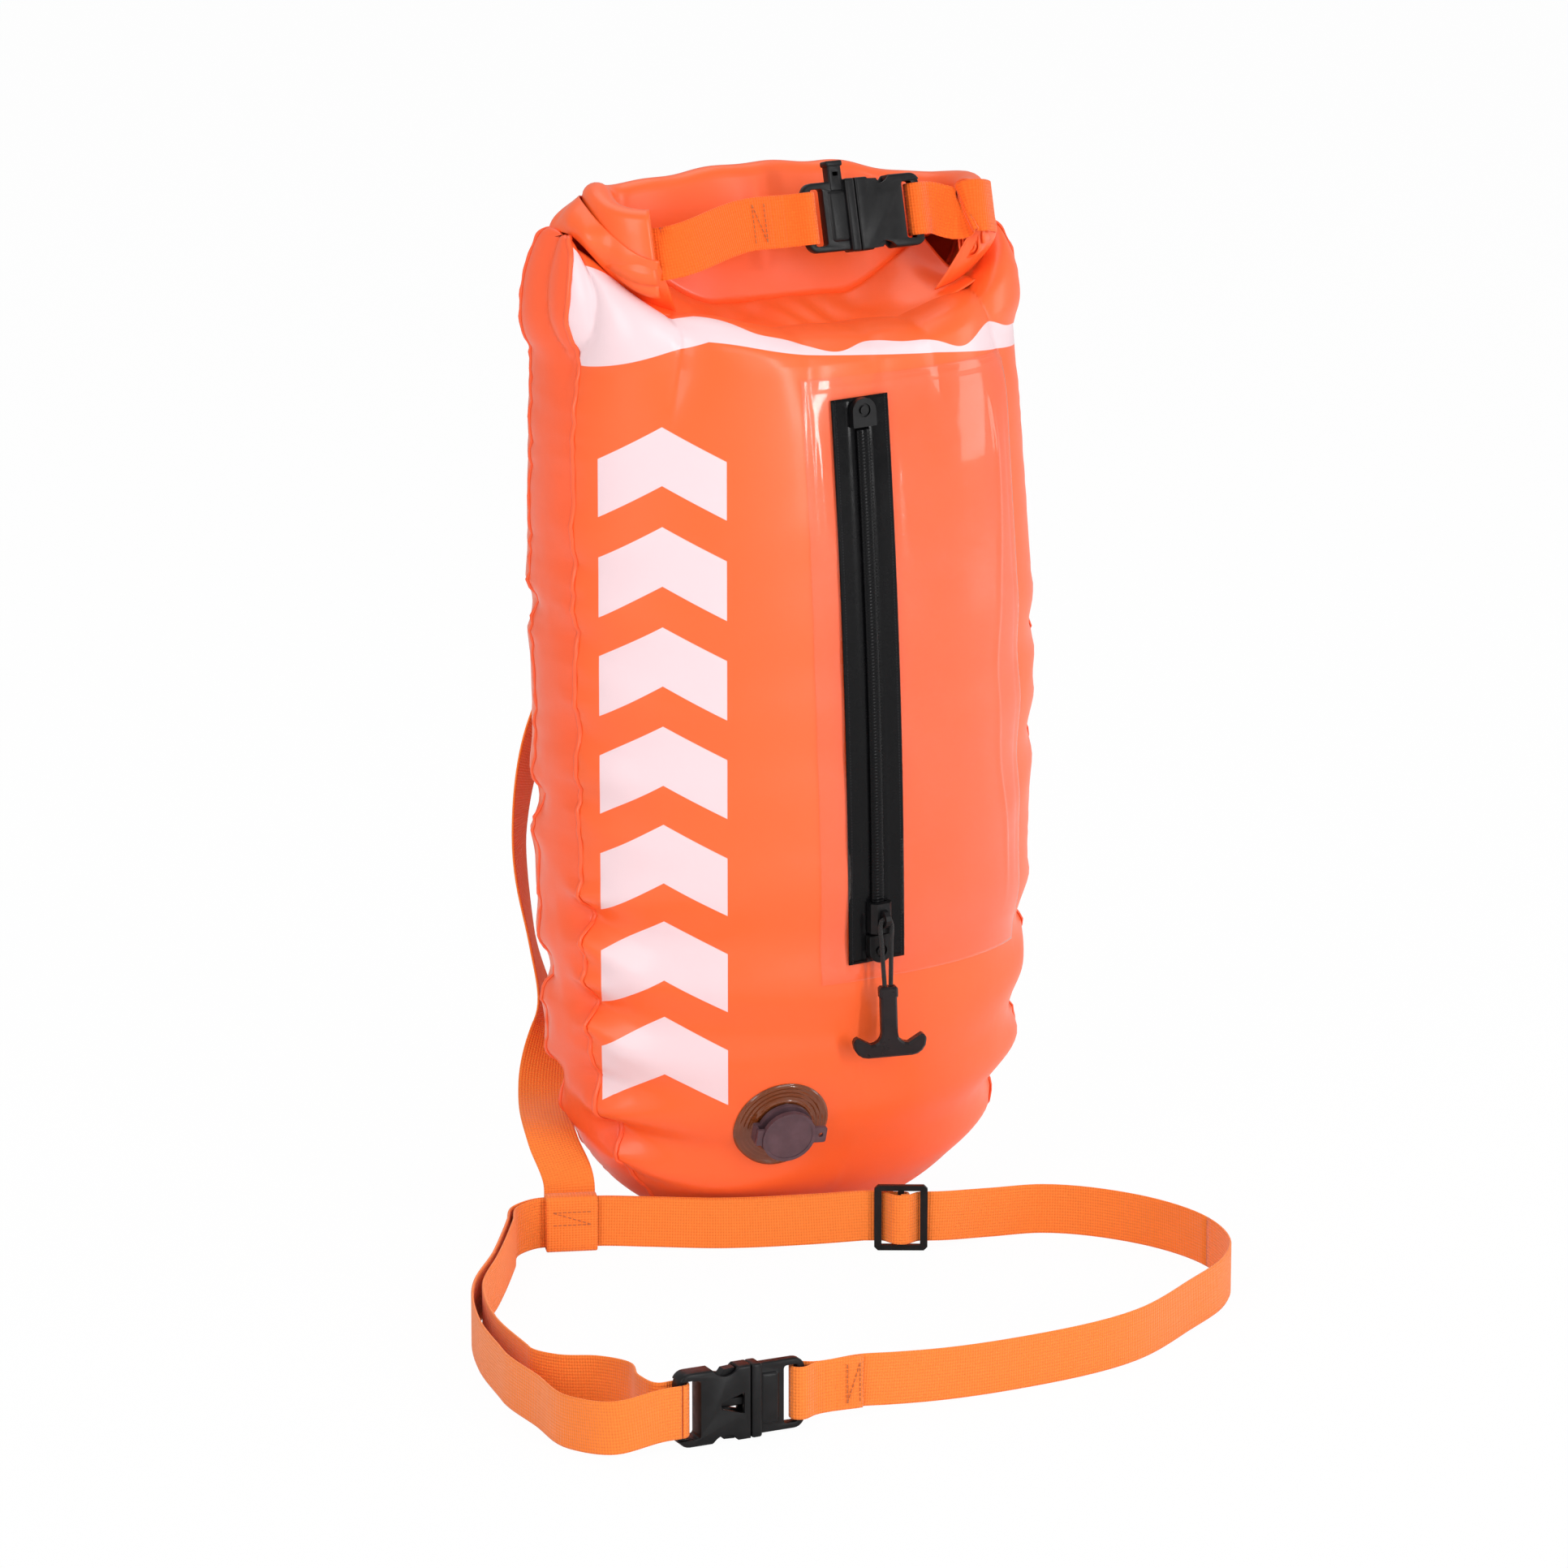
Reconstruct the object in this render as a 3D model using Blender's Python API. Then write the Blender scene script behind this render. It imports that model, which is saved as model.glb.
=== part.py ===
"""Open water swim buoy with a roll top dry bag, phone pocket, tow leash and waist belt.

Metres, +Z up. The bag stands on its flattened base at z = 0, its front faces -Y.
"""
import math

import bmesh
import bpy
from mathutils import Matrix, Vector

CLEARANCE = 0.0003
SEAM_GAP = 0.0006
CUT_OVERRUN = 0.002
MERGE_DISTANCE = 0.00001
NORMAL_STEP = 0.000215
SMOOTH_ANGLE = math.radians(35)
ROUNDED_ANGLE = math.radians(60)

# Bag body: three welded panels round a dry compartment
BAG_HALF_WIDTH = 0.1300
BAG_HALF_DEPTH = 0.0860
SECTION_POWER = 2.2
BULGE_RADIUS = 2.4
BULGE_HEIGHT = 0.275
SIDE_CORNER_RISE = 0.105
FRONT_CORNER_RISE = 0.135
CORNER_POWER = 2.5
BASE_CUT = 0.004
SHOULDER_START = 0.440
LIP_HEIGHT = 0.463
SIDE_RISE = 0.035
RISE_POWER = 5
RISE_LEAN_SHARE = 0.18
GUSSET_HALF_WIDTH = 0.022
GUSSET_FULL_DEPTH_SHARE = 0.72
GUSSET_COLUMN_SHARES = (-1.0, -0.5, 0.0, 0.5, 1.0)
BASE_ROW_SHARES = (0.25, 0.5, 0.75)
SKIN_EDGE_SHARE = 0.999
PANEL_THICKNESS = 0.0006
PANEL_COLUMNS = 16
BODY_ROWS = 13
ROW_CROWDING = 1.6
LINER_DEPTH_SHARE = 0.42
LINER_COLUMNS = 20
LINER_ROW_SHARES = (0.97, 0.85, 0.65, 0.45, 0.28, 0.15, 0.07, 0.0)
LINER_BASE = 0.012
LINER_SETTLE = 0.004
SWAY = 0.007
SWAY_START = 0.240

# Rows over the lip down into the neck: shares of half width, half depth, lip height
# and side rise, then the section's own power
LIP_ROW_SHARES = (
    (0.990, 0.878, 0.976, 0.16, 2.3),
    (0.978, 0.780, 0.993, 0.42, 2.5),
    (0.950, 0.640, 1.000, 0.72, 2.8),
    (0.920, 0.480, 0.998, 0.96, 3.2),
    (0.866, 0.330, 0.990, 1.00, 4.0),
    (0.806, 0.205, 0.981, 0.62, 5.0),
)
NECK_HALF_WIDTH = 0.0970
NECK_POWER = 7.0

# Rolled mouth: a flattened spiral bent into a ring, with a stiffener in its core
ROLL_CENTRE_Y = 0.0066
ROLL_CENTRE_Z = 0.4885
ROLL_TILT = math.radians(14)
ROLL_RADIUS = 0.0066
ROLL_PITCH = 0.0022
ROLL_SHEET = 0.0011
ROLL_STRAIGHT_HALF = 0.0740
ROLL_BEND_RADIUS = 0.0250
ROLL_BEND_ANGLE = math.radians(150)
ROLL_HALF_TURNS = 5
ROLL_STATIONS_STRAIGHT = 5
ROLL_STATIONS_BEND = 8
ROLL_ARC_STEPS = 4
ROLL_LOW_MIDDLE = -0.0340
ROLL_TOP_MIDDLE = 0.0340
ROLL_LEFT_BEND = (-0.0030, 0.0300)
ROLL_LEFT_END = (-0.0280, 0.0140)
ROLL_RIGHT_BEND = (-0.0080, 0.0210)
ROLL_RIGHT_END = (-0.0235, 0.0165)
BAND_FLAT_SHARE = 0.45
BAND_BEND_SHARE = 0.9
STIFFENER_WIDTH = 0.0140
STIFFENER_THICKNESS = 0.0016
CORE_ENTRY = 0.0065
CORE_STEPS = 3
STRAP_LEAD = 0.0040
CORE_GAP = 0.0010
STRAP_CORE_DEPTH = -0.0003

# Webbing
WEBBING_WIDTH = 0.0250
WEBBING_THICKNESS = 0.0013
FOLD_GAP = 0.0005
WRAP_STEPS = 6
STRAP_STEPS = 3

# Side release buckles: length runs along +x from male to female in their own frame
BUCKLE_WIDTH = 0.0350
BUCKLE_THICKNESS = 0.0095
BUCKLE_ROUNDING = 0.0008
BUCKLE_CORNER = 0.0030
BUCKLE_SIDE_WALL = 0.0032
FEMALE_LENGTH = 0.0360
FEMALE_CAVITY = 0.0215
FEMALE_WINDOW_START = 0.0065
FEMALE_WINDOW_END = 0.0190
FEMALE_WAIST = 0.0030
FEMALE_BAR_PLATE = 0.0050
FACE_WINDOW_START = 0.0035
FACE_WINDOW_END = 0.0130
FACE_WINDOW_WIDTH = 0.0100
FACE_WINDOW_TIP = 0.0030
MALE_LENGTH = 0.0280
MALE_FLANGE = 0.0055
SLOT_LENGTH = 0.0070
SLOT_WIDTH = 0.0275
BAR_WIDTH = 0.0038
WRAP_RADIUS = 0.0042
FOLD_REACH = 0.0075
LONG_TAIL = 0.0240
SHORT_TAIL = 0.0030
ARM_LENGTH = 0.0185
ARM_ROOT = 0.0085
ARM_PIVOT = 0.0015
ARM_THICKNESS = 0.0030
ARM_HEIGHT = 0.0046
ARM_CLEARANCE = 0.0004
HOOK_START = 0.0072
HOOK_SHOULDER = 0.0158
HOOK_REACH = 0.0168
HOOK_BACK = 0.0128
HOOK_TIP = 0.0085
ARM_TIP_INNER = 0.0060
ARM_MIDDLE_INNER = 0.0080
ARM_WAIST_INNER = 0.0076
TONGUE_LENGTH = 0.0140
TONGUE_WIDTH = 0.0040
TONGUE_HEIGHT = 0.0030
WHISTLE_WIDTH = 0.0095
WHISTLE_DEPTH = 0.0070
WHISTLE_HEIGHT = 0.0090
WHISTLE_WALL = 0.0016
WHISTLE_SOUND_DEPTH = 0.0075
WHISTLE_NOTCH = 0.0022
WHISTLE_PLACE = -0.0095

# Where the closure buckle sits in the ring's own plane
CLOSURE_MOUTH_X = 0.0245
CLOSURE_REACH = 0.0455
CLOSURE_HEIGHT = 0.0030

# Zip and pocket
ZIP_TOP = 0.4240
ZIP_BOTTOM = 0.1460
ZIP_TOP_X = -0.0065
ZIP_BOTTOM_X = 0.0035
ZIP_TAPE_WIDTH = 0.0310
ZIP_TAPE_THICKNESS = 0.0009
ZIP_CHAIN_WIDTH = 0.0070
ZIP_CHAIN_HEIGHT = 0.0022
ZIP_STATIONS = 15
CHAIN_PROFILE_SHARES = ((-1, 0), (1, 0), (0.75, 0.7), (0.25, 1), (-0.25, 1), (-0.75, 0.7))
GARAGE_LENGTH = 0.0140
GARAGE_WIDTH = 0.0130
GARAGE_HEIGHT = 0.0036
GARAGE_LEVEL_SHARES = ((0, 1.0), (0.6, 1.0), (1.0, 0.72))
SLIDER_LENGTH = 0.0150
SLIDER_WIDTH = 0.0115
SLIDER_HEIGHT = 0.0062
SLIDER_WALL = 0.0014
SLIDER_SHOULDER_SHARE = 0.6
BAIL_WIDTH = 0.0028
BAIL_HEIGHT = 0.0050
BAIL_LENGTH = 0.0090
BAIL_BORE = 0.0030
ZIP_LIFT = 0.0006
GARAGE_STEPS = 6
SLIDER_HEIGHT_AT_REST = 0.1690
PULL_CORD_DIAMETER = 0.0022
PULL_CORD_LENGTH = 0.0330
PULL_CORD_SPREAD = 0.0028
CORD_SIDES = 8
CORD_BEND = ((0.0023, -0.0005), (0.0015, 0.0))
CORD_SIDE_SHARES = ((0.62, 1.0), (0.80, 0.66), (0.97, 0.33), (1.0, 0.05))
CORD_STEPS = 2
HANDLE_LENGTH = 0.0352
HANDLE_STEM_WIDTH = 0.0080
HANDLE_HEAD_WIDTH = 0.0092
HANDLE_HEAD_LENGTH = 0.0050
HANDLE_THICKNESS = 0.0060
HANDLE_BAR_WIDTH = 0.0360
HANDLE_WAIST_HEIGHT = 0.0066
HANDLE_TIP_HEIGHT = 0.0105
HANDLE_TIP_WIDTH = 0.0022
HANDLE_NECK = 0.0052
HANDLE_CORNER = 0.0072
HANDLE_ROUNDING = 0.0010
HANDLE_TURN = math.radians(-19)
HANDLE_STEPS = 4
POCKET_TOP = 0.4340
POCKET_BOTTOM = 0.1370
POCKET_LEFT_REACH = 0.0300
POCKET_SEAM_GAP = 0.0340
POCKET_RIGHT_REACH = BAG_HALF_WIDTH - POCKET_SEAM_GAP
POCKET_THICKNESS = 0.0007
POCKET_ROWS = 12
WINDOW_GAP = 0.0004
WINDOW_END_GAP = 0.0009
POCKET_COLUMN_SHARES = (0.0, 0.25, 0.50, 0.75, 1.0)

# Inflation valve
VALVE_X = -0.0403
VALVE_Z = 0.0653
FLANGE_RADIUS = 0.0240
FLANGE_THICKNESS = 0.0010
VALVE_HOLE_RADIUS = 0.0078
NECK_OUTER_RADIUS = 0.0100
NECK_BORE_RADIUS = 0.0080
NECK_HEIGHT = 0.0085
NECK_SEAT_HEIGHT = 0.0034
NECK_SEAT_THICKNESS = 0.0009
NECK_SEAT_BORE = 0.0055
COLLAR_RADIUS = 0.0140
COLLAR_BASE = 0.0030
COLLAR_HEIGHT = 0.0026
CAP_RADIUS = 0.0135
CAP_THICKNESS = 0.0026
CAP_CHAMFER = 0.0006
CAP_STRAP_THICKNESS = 0.0017
FLANGE_RING_SHARES = (0.0, 0.5, 1.0)
PLUG_RADIUS = 0.0073
PLUG_LENGTH = 0.0036
CAP_HINGE_REACH = 0.0165
CAP_TAB_WIDTH = 0.0085
CAP_TAB_REACH = 0.0195
CAP_TAB_HOLE = 0.0013
COLLAR_HINGE_TOP = 0.0082
STRAP_POST = 0.0012
DIAPHRAGM_RADIUS = 0.0071
DIAPHRAGM_THICKNESS = 0.0008
ROUND_STEPS = 28

# Leash: a webbing from a patch on the back to a loop round the belt
PATCH_WIDTH = 0.0560
PATCH_LENGTH = 0.0440
PATCH_THICKNESS = 0.0010
PATCH_X = -0.0520
PATCH_Z = 0.3300
PATCH_STEPS = 4
LEASH_INSET = 0.0060
LEASH_LEAVE = 0.0015
LEASH_LAP = 0.0170
LEASH_STEPS = 4
LEASH_NORMAL_SHARE = 0.85
LEASH_TWIST_TOP = 0.1200
LEASH_TWIST_FOOT = 0.0500
LEASH_LOOP_HALF = 0.0038
LOOP_ROOM = 0.0004
LOOP_STEPS = 3
LOOP_ROUND_SHARE = 0.35
LOOP_HEIGHT = 0.0146
LOOP_SPAN = ((-0.1140, -0.0175, 0), (-0.1400, -0.0071, 0))
LEASH_ROUTE = (
    (-0.0620, 0.0850, 0.2900),
    (-0.0800, 0.0810, 0.2620),
    (-0.0990, 0.0770, 0.2300),
    (-0.1080, 0.0740, 0.1900),
    (-0.1030, 0.0760, 0.1350),
    (-0.0980, 0.0740, 0.0900),
    (-0.1180, 0.0500, 0.0640),
    (-0.1275, 0.0085, 0.0500),
)

# Belt: stands on its edge on the floor; the route is its centre line
TRI_GLIDE_LENGTH = 0.0260
TRI_GLIDE_WIDTH = 0.0330
TRI_GLIDE_THICKNESS = 0.0026
TRI_GLIDE_BAR = 0.0036
TRI_GLIDE_MIDDLE_BAR = 0.0030
DIAGONAL_SHARE = 0.7071
BELT_BUCKLE_MOUTH = (-0.1880, -0.2925)
BELT_BUCKLE_TURN = math.radians(176)
BELT_MAIN_ROUTE = (
    (-0.1150, -0.2972, 0.0162),
    (-0.0900, -0.2986, 0.0143),
    (-0.0510, -0.3000, 0.0132),
    (0.0200, -0.2925, 0.0130),
    (0.0660, -0.2675, 0.0130),
    (0.1000, -0.2450, 0.0130),
    (0.1160, -0.2260, 0.0130),
    (0.1270, -0.1900, 0.0130),
    (0.1180, -0.1430, 0.0130),
    (0.0860, -0.1040, 0.0130),
    (0.0580, -0.0990, 0.0140),
)
BELT_PAIR_ROUTE = (
    (-0.0012, -0.0797, 0.0165, 0.0018),
    (-0.0235, -0.0682, 0.0150, 0.0024),
    (-0.0625, -0.0470, 0.0134, 0.0026),
    (-0.0930, -0.0290, 0.0140, 0.0022),
    (-0.1140, -0.0175, 0.0146, 0.0020),
    (-0.1270, -0.0123, 0.0146, 0.0020),
    (-0.1430, -0.0059, 0.0146, 0.0018),
    (-0.1560, -0.0093, 0.0138, 0.0024),
    (-0.1660, -0.0235, 0.0130, 0.0030),
    (-0.1965, -0.0665, 0.0130, 0.0030),
    (-0.2260, -0.1045, 0.0130, 0.0045),
    (-0.2463, -0.1520, 0.0130, 0.0080),
    (-0.2560, -0.2000, 0.0130, 0.0130),
)
BELT_INNER_ROUTE = (
    (-0.2430, -0.2160, 0.0130),
    (-0.2300, -0.2290, 0.0140),
    (-0.2240, -0.2480, 0.0155),
    (-0.2310, -0.2700, 0.0168),
)
BELT_OUTER_ROUTE = (
    (-0.2650, -0.2350, 0.0130),
    (-0.2670, -0.2700, 0.0132),
    (-0.2560, -0.2915, 0.0150),
)
BELT_STEPS = 4
TRI_GLIDE_PLACE = (0.0130, -0.0915)
TRI_GLIDE_TURN = math.radians(-30.5)

ORANGE_SHELL = (1.0, 0.16, 0.045, 1.0)
ORANGE_GUSSET = (1.0, 0.13, 0.04, 1.0)
ORANGE_WEBBING = (1.0, 0.22, 0.05, 1.0)
LINER_ORANGE = (0.9, 0.2, 0.1, 1.0)
BLACK_PLASTIC = (0.012, 0.012, 0.013, 1.0)
BLACK_TAPE = (0.02, 0.02, 0.02, 1.0)
CLEAR_FILM = (1.0, 0.45, 0.3, 1.0)
BROWN_VALVE = (0.10, 0.04, 0.03, 1.0)
FLANGE_BROWN = (0.35, 0.12, 0.05, 1.0)
SILICONE = (0.7, 0.7, 0.68, 1.0)
STIFFENER_WHITE = (0.8, 0.8, 0.78, 1.0)

materials = {}


def clear_scene():
    """Remove every object of the open file."""
    for obj in list(bpy.data.objects):
        bpy.data.objects.remove(obj, do_unlink=True)


def material(name, colour, roughness, metallic=0.0):
    """Return the named Principled material, making it once."""
    if name not in materials:
        made = bpy.data.materials.new(name)
        made.use_nodes = True
        made.diffuse_color = colour
        shader = made.node_tree.nodes["Principled BSDF"]
        shader.inputs["Base Color"].default_value = colour
        shader.inputs["Roughness"].default_value = roughness
        shader.inputs["Metallic"].default_value = metallic
        materials[name] = made
    return materials[name]


def place_mesh(name, bm, finish, origin=None, parent=None):
    """Turn a bmesh in world space into an object whose origin is at its joint or at zero."""
    bmesh.ops.recalc_face_normals(bm, faces=bm.faces)
    pivot = Vector(origin) if origin is not None else Vector()
    bmesh.ops.translate(bm, verts=bm.verts, vec=-pivot)
    mesh = bpy.data.meshes.new(name)
    bm.to_mesh(mesh)
    bm.free()
    mesh.shade_smooth()
    mesh.set_sharp_from_angle(angle=SMOOTH_ANGLE)
    obj = bpy.data.objects.new(name, mesh)
    obj.data.materials.append(finish)
    bpy.context.scene.collection.objects.link(obj)
    if parent is not None:
        obj.parent = parent
        obj.location = pivot - parent.matrix_world.translation
    else:
        obj.location = pivot
    return obj


def pivot_empty(name, place, parent=None):
    """An empty on a joint's axis, which carries the pieces that move with it."""
    empty = bpy.data.objects.new(name, None)
    bpy.context.scene.collection.objects.link(empty)
    empty.parent = parent
    offset = parent.matrix_world.translation if parent is not None else Vector()
    empty.location = Vector(place) - offset
    bpy.context.view_layer.update()
    return empty


def hide_tool(obj):
    """Mark an object as a cutter or as the second half of a union."""
    obj.hide_render = True
    obj.display_type = "WIRE"


def combine(obj, other, operation):
    """Add an exact Boolean of the given kind with a hidden second object."""
    hide_tool(other)
    step = obj.modifiers.new(operation.title(), "BOOLEAN")
    step.operation = operation
    step.solver = "EXACT"
    step.object = other
    return step


def sheet_mesh(top, bottom, around=False, cap_end=False):
    """A closed sheet between two grids of points; the columns may run round."""
    bm = bmesh.new()
    upper = [[bm.verts.new(point) for point in row] for row in top]
    lower = [[bm.verts.new(point) for point in row] for row in bottom]
    rows = len(upper)
    columns = len(upper[0])
    spans = columns if around else columns - 1
    for i in range(rows - 1):
        for j in range(spans):
            k = (j + 1) % columns
            bm.faces.new((upper[i][j], upper[i][k], upper[i + 1][k], upper[i + 1][j]))
            bm.faces.new((lower[i][j], lower[i + 1][j], lower[i + 1][k], lower[i][k]))
    for j in range(spans):
        k = (j + 1) % columns
        bm.faces.new((upper[0][k], upper[0][j], lower[0][j], lower[0][k]))
        if not cap_end:
            bm.faces.new((upper[-1][j], upper[-1][k], lower[-1][k], lower[-1][j]))
    if cap_end:
        bm.faces.new(upper[-1])
        bm.faces.new(list(reversed(lower[-1])))
    if not around:
        for i in range(rows - 1):
            bm.faces.new((upper[i][0], upper[i + 1][0], lower[i + 1][0], lower[i][0]))
            bm.faces.new((upper[i + 1][-1], upper[i][-1], lower[i][-1], lower[i + 1][-1]))
    return bm


def ring_mesh(rings):
    """A solid through a list of equal rings of points, closed by a face at each end."""
    bm = bmesh.new()
    made = [[bm.verts.new(point) for point in ring] for ring in rings]
    count = len(made[0])
    for first, second in zip(made, made[1:]):
        for j in range(count):
            k = (j + 1) % count
            bm.faces.new((first[j], first[k], second[k], second[j]))
    bm.faces.new(list(reversed(made[0])))
    bm.faces.new(made[-1])
    return bm


def lathe_mesh(profile, frame):
    """Turn a profile of (radius, height) pairs about the frame's own z."""
    bm = bmesh.new()
    rings = []
    for radius, height in profile:
        if radius == 0:
            rings.append([bm.verts.new(frame @ Vector((0, 0, height)))])
            continue
        ring = []
        for step in range(ROUND_STEPS):
            angle = 2 * math.pi * step / ROUND_STEPS
            point = Vector((radius * math.cos(angle), radius * math.sin(angle), height))
            ring.append(bm.verts.new(frame @ point))
        rings.append(ring)
    closed = profile[0][0] != 0
    pairs = list(zip(rings, rings[1:]))
    if closed:
        pairs.append((rings[-1], rings[0]))
    for first, second in pairs:
        for j in range(ROUND_STEPS):
            k = (j + 1) % ROUND_STEPS
            corners = [first[j % len(first)], first[k % len(first)]]
            corners += [second[k % len(second)], second[j % len(second)]]
            unique = list(dict.fromkeys(corners))
            bm.faces.new(unique)
    return bm


def prism_mesh(outline, low, high, frame):
    """Extrude an outline of (x, z) pairs along the frame's y, from low to high."""
    rings = [[frame @ Vector((x, level, z)) for x, z in outline] for level in (low, high)]
    return ring_mesh(rings)


def box_mesh(low, high, frame):
    """A box between two corners of a frame."""
    outline = ((low[0], low[2]), (high[0], low[2]), (high[0], high[2]), (low[0], high[2]))
    return prism_mesh(outline, low[1], high[1], frame)


def smooth_route(points, steps):
    """A smooth curve through unevenly spaced points, with the given steps for each stretch."""
    points = [Vector(point) for point in points]
    ways = [after - before for before, after in zip(points, points[1:])]
    spans = [way.length for way in ways]
    slopes = [ways[0] / spans[0]]
    for i in range(1, len(ways)):
        before, after = spans[i - 1], spans[i]
        slope = ways[i - 1] * (after / before) + ways[i] * (before / after)
        slopes.append(slope / (before + after))
    slopes.append(ways[-1] / spans[-1])
    route = []
    for i, span in enumerate(spans):
        for step in range(steps):
            t = step / steps
            rise, start, end = t * t * (3 - 2 * t), t * (1 - t) ** 2, t * t * (1 - t)
            bend = (slopes[i] * start - slopes[i + 1] * end) * span
            route.append(points[i].lerp(points[i + 1], rise) + bend)
    route.append(points[-1])
    return route


def tube_mesh(route, side, radius):
    """A round cord along a flat route; side is the way out of the route's plane."""
    rings = []
    for i, point in enumerate(route):
        along = (route[min(i + 1, len(route) - 1)] - route[max(i - 1, 0)]).normalized()
        across = along.cross(side).normalized()
        ring = []
        for step in range(CORD_SIDES):
            angle = 2 * math.pi * step / CORD_SIDES
            ring.append(point + (across * math.cos(angle) + side * math.sin(angle)) * radius)
        rings.append(ring)
    return ring_mesh(rings)


def strap_mesh(route, width_ways, width, thickness):
    """A flat strap along a route; each point has the way that its width runs."""
    top, bottom = [], []
    for i, point in enumerate(route):
        ahead = route[min(i + 1, len(route) - 1)]
        behind = route[max(i - 1, 0)]
        along = (ahead - behind).normalized()
        way = width_ways[i] - along * width_ways[i].dot(along)
        way.normalize()
        normal = along.cross(way)
        edges = [point - way * (width / 2), point + way * (width / 2)]
        top.append([edge + normal * (thickness / 2) for edge in edges])
        bottom.append([edge - normal * (thickness / 2) for edge in edges])
    return sheet_mesh(top, bottom)


def corner_share(height, rise, power):
    """How much of its full size the bag has at a height over its flattened base."""
    if height >= rise:
        return 1.0
    rest = 1 - (height + BASE_CUT) / (rise + BASE_CUT)
    return (1 - rest ** power) ** (1 / power)


def bulge(full, height):
    """A half size that swells along an arc of the bulge radius."""
    offset = height - BULGE_HEIGHT
    return full - (BULGE_RADIUS - math.sqrt(BULGE_RADIUS ** 2 - offset ** 2))


def half_width(height):
    return bulge(BAG_HALF_WIDTH, height) * corner_share(height, SIDE_CORNER_RISE, CORNER_POWER)


def half_depth(height):
    return bulge(BAG_HALF_DEPTH, height) * corner_share(height, FRONT_CORNER_RISE, CORNER_POWER)


def sway(height):
    """The top of the bag leans a little to its left."""
    span = ROLL_CENTRE_Z - SWAY_START
    share = min(max((height - SWAY_START) / span, 0), 1)
    return -SWAY * share * share * (3 - 2 * share)


def front_point(x, height, lift=0.0, side=-1):
    """A point of the bag's front (or back, side 1) skin, raised along its normal."""
    def raw(a, h):
        share = min(abs((a - sway(h)) / half_width(h)), SKIN_EDGE_SHARE)
        depth = half_depth(h) * (1 - share ** SECTION_POWER) ** (1 / SECTION_POWER)
        return Vector((a, side * depth, h))

    step = NORMAL_STEP
    across = raw(x + step, height) - raw(x - step, height)
    up = raw(x, height + step) - raw(x, height - step)
    normal = across.cross(up) if side < 0 else up.cross(across)
    return raw(x, height) + normal.normalized() * lift


def body_rows():
    """Sections from the base to the neck: half width, half depth, height, rise, power."""
    rows = []
    for step in range(BODY_ROWS + 1):
        height = SHOULDER_START * (step / BODY_ROWS) ** ROW_CROWDING
        rows.append((half_width(height), half_depth(height), height, 0.0, SECTION_POWER))
    for wide, deep, high, rise, power in LIP_ROW_SHARES:
        size = (BAG_HALF_WIDTH * wide, BAG_HALF_DEPTH * deep, LIP_HEIGHT * high)
        rows.append((*size, SIDE_RISE * rise, power))
    return rows


def neck_row():
    """The open neck, which the rolled mouth is seated in."""
    depth = ROLL_RADIUS + ROLL_SHEET / 2 + CLEARANCE + PANEL_THICKNESS
    height = ROLL_CENTRE_Z + (ROLL_LOW_MIDDLE + ROLL_RADIUS) * math.cos(ROLL_TILT)
    return NECK_HALF_WIDTH, depth, height, 0.0, NECK_POWER


def side_rise(rise, share):
    """How much higher a section stands towards its sides; the left stands highest."""
    lean = 1 - math.copysign(RISE_LEAN_SHARE, share)
    return rise * lean * abs(share) ** RISE_POWER


def section_point(row, angle):
    """A point of a section at an angle; the sides stand higher by the row's rise."""
    wide, deep, high, rise, power = row
    c, s = math.cos(angle), math.sin(angle)
    x = wide * math.copysign(abs(c) ** (2 / power), c)
    y = deep * math.copysign(abs(s) ** (2 / power), s)
    z = high + side_rise(rise, x / wide)
    return Vector((x + sway(z), y, z))


def gusset_half(row):
    """Half the gusset's width at a section, drawn in where the bag is shallow."""
    full_at = BAG_HALF_DEPTH * GUSSET_FULL_DEPTH_SHARE
    return GUSSET_HALF_WIDTH * min(1, row[1] / full_at)


def seam_angle(row, half):
    """The section's angle where it is the given distance from the middle plane."""
    return math.asin(min(1, (half / row[1]) ** (row[4] / 2)))


def skin_object(name, grid, finish):
    """A skin through a grid of points, given the panel's thickness inwards."""
    bm = bmesh.new()
    verts = [[bm.verts.new(point) for point in row] for row in grid]
    for first, second in zip(verts, verts[1:]):
        for j in range(len(first) - 1):
            bm.faces.new((first[j], first[j + 1], second[j + 1], second[j]))
    bmesh.ops.remove_doubles(bm, verts=bm.verts, dist=MERGE_DISTANCE)
    middle = Vector((0, 0, BULGE_HEIGHT))
    bm.normal_update()
    outward = sum(face.normal.dot(face.calc_center_median() - middle) for face in bm.faces)
    if outward < 0:
        bmesh.ops.reverse_faces(bm, faces=bm.faces)
    mesh = bpy.data.meshes.new(name)
    bm.to_mesh(mesh)
    bm.free()
    mesh.shade_smooth()
    obj = bpy.data.objects.new(name, mesh)
    obj.data.materials.append(finish)
    bpy.context.scene.collection.objects.link(obj)
    wall = obj.modifiers.new("Wall", "SOLIDIFY")
    wall.thickness = PANEL_THICKNESS
    wall.offset = -1
    wall.use_even_offset = True
    return obj


def panel_grid(side):
    """Rows of points of the front (side -1) or back panel, from base to neck."""
    rows = body_rows() + [neck_row()]
    grid = []
    for index, row in enumerate(rows):
        half = gusset_half(row) + SEAM_GAP / 2
        start = seam_angle(row, half)
        points = []
        for column in range(PANEL_COLUMNS + 1):
            angle = start + (math.pi - 2 * start) * column / PANEL_COLUMNS
            point = section_point(row, angle)
            points.append(Vector((point.x, side * abs(point.y), point.z)))
        if index == 0:
            grid.append([Vector((point.x, side * half, point.z)) for point in points])
        grid.append(points)
    return grid


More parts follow.
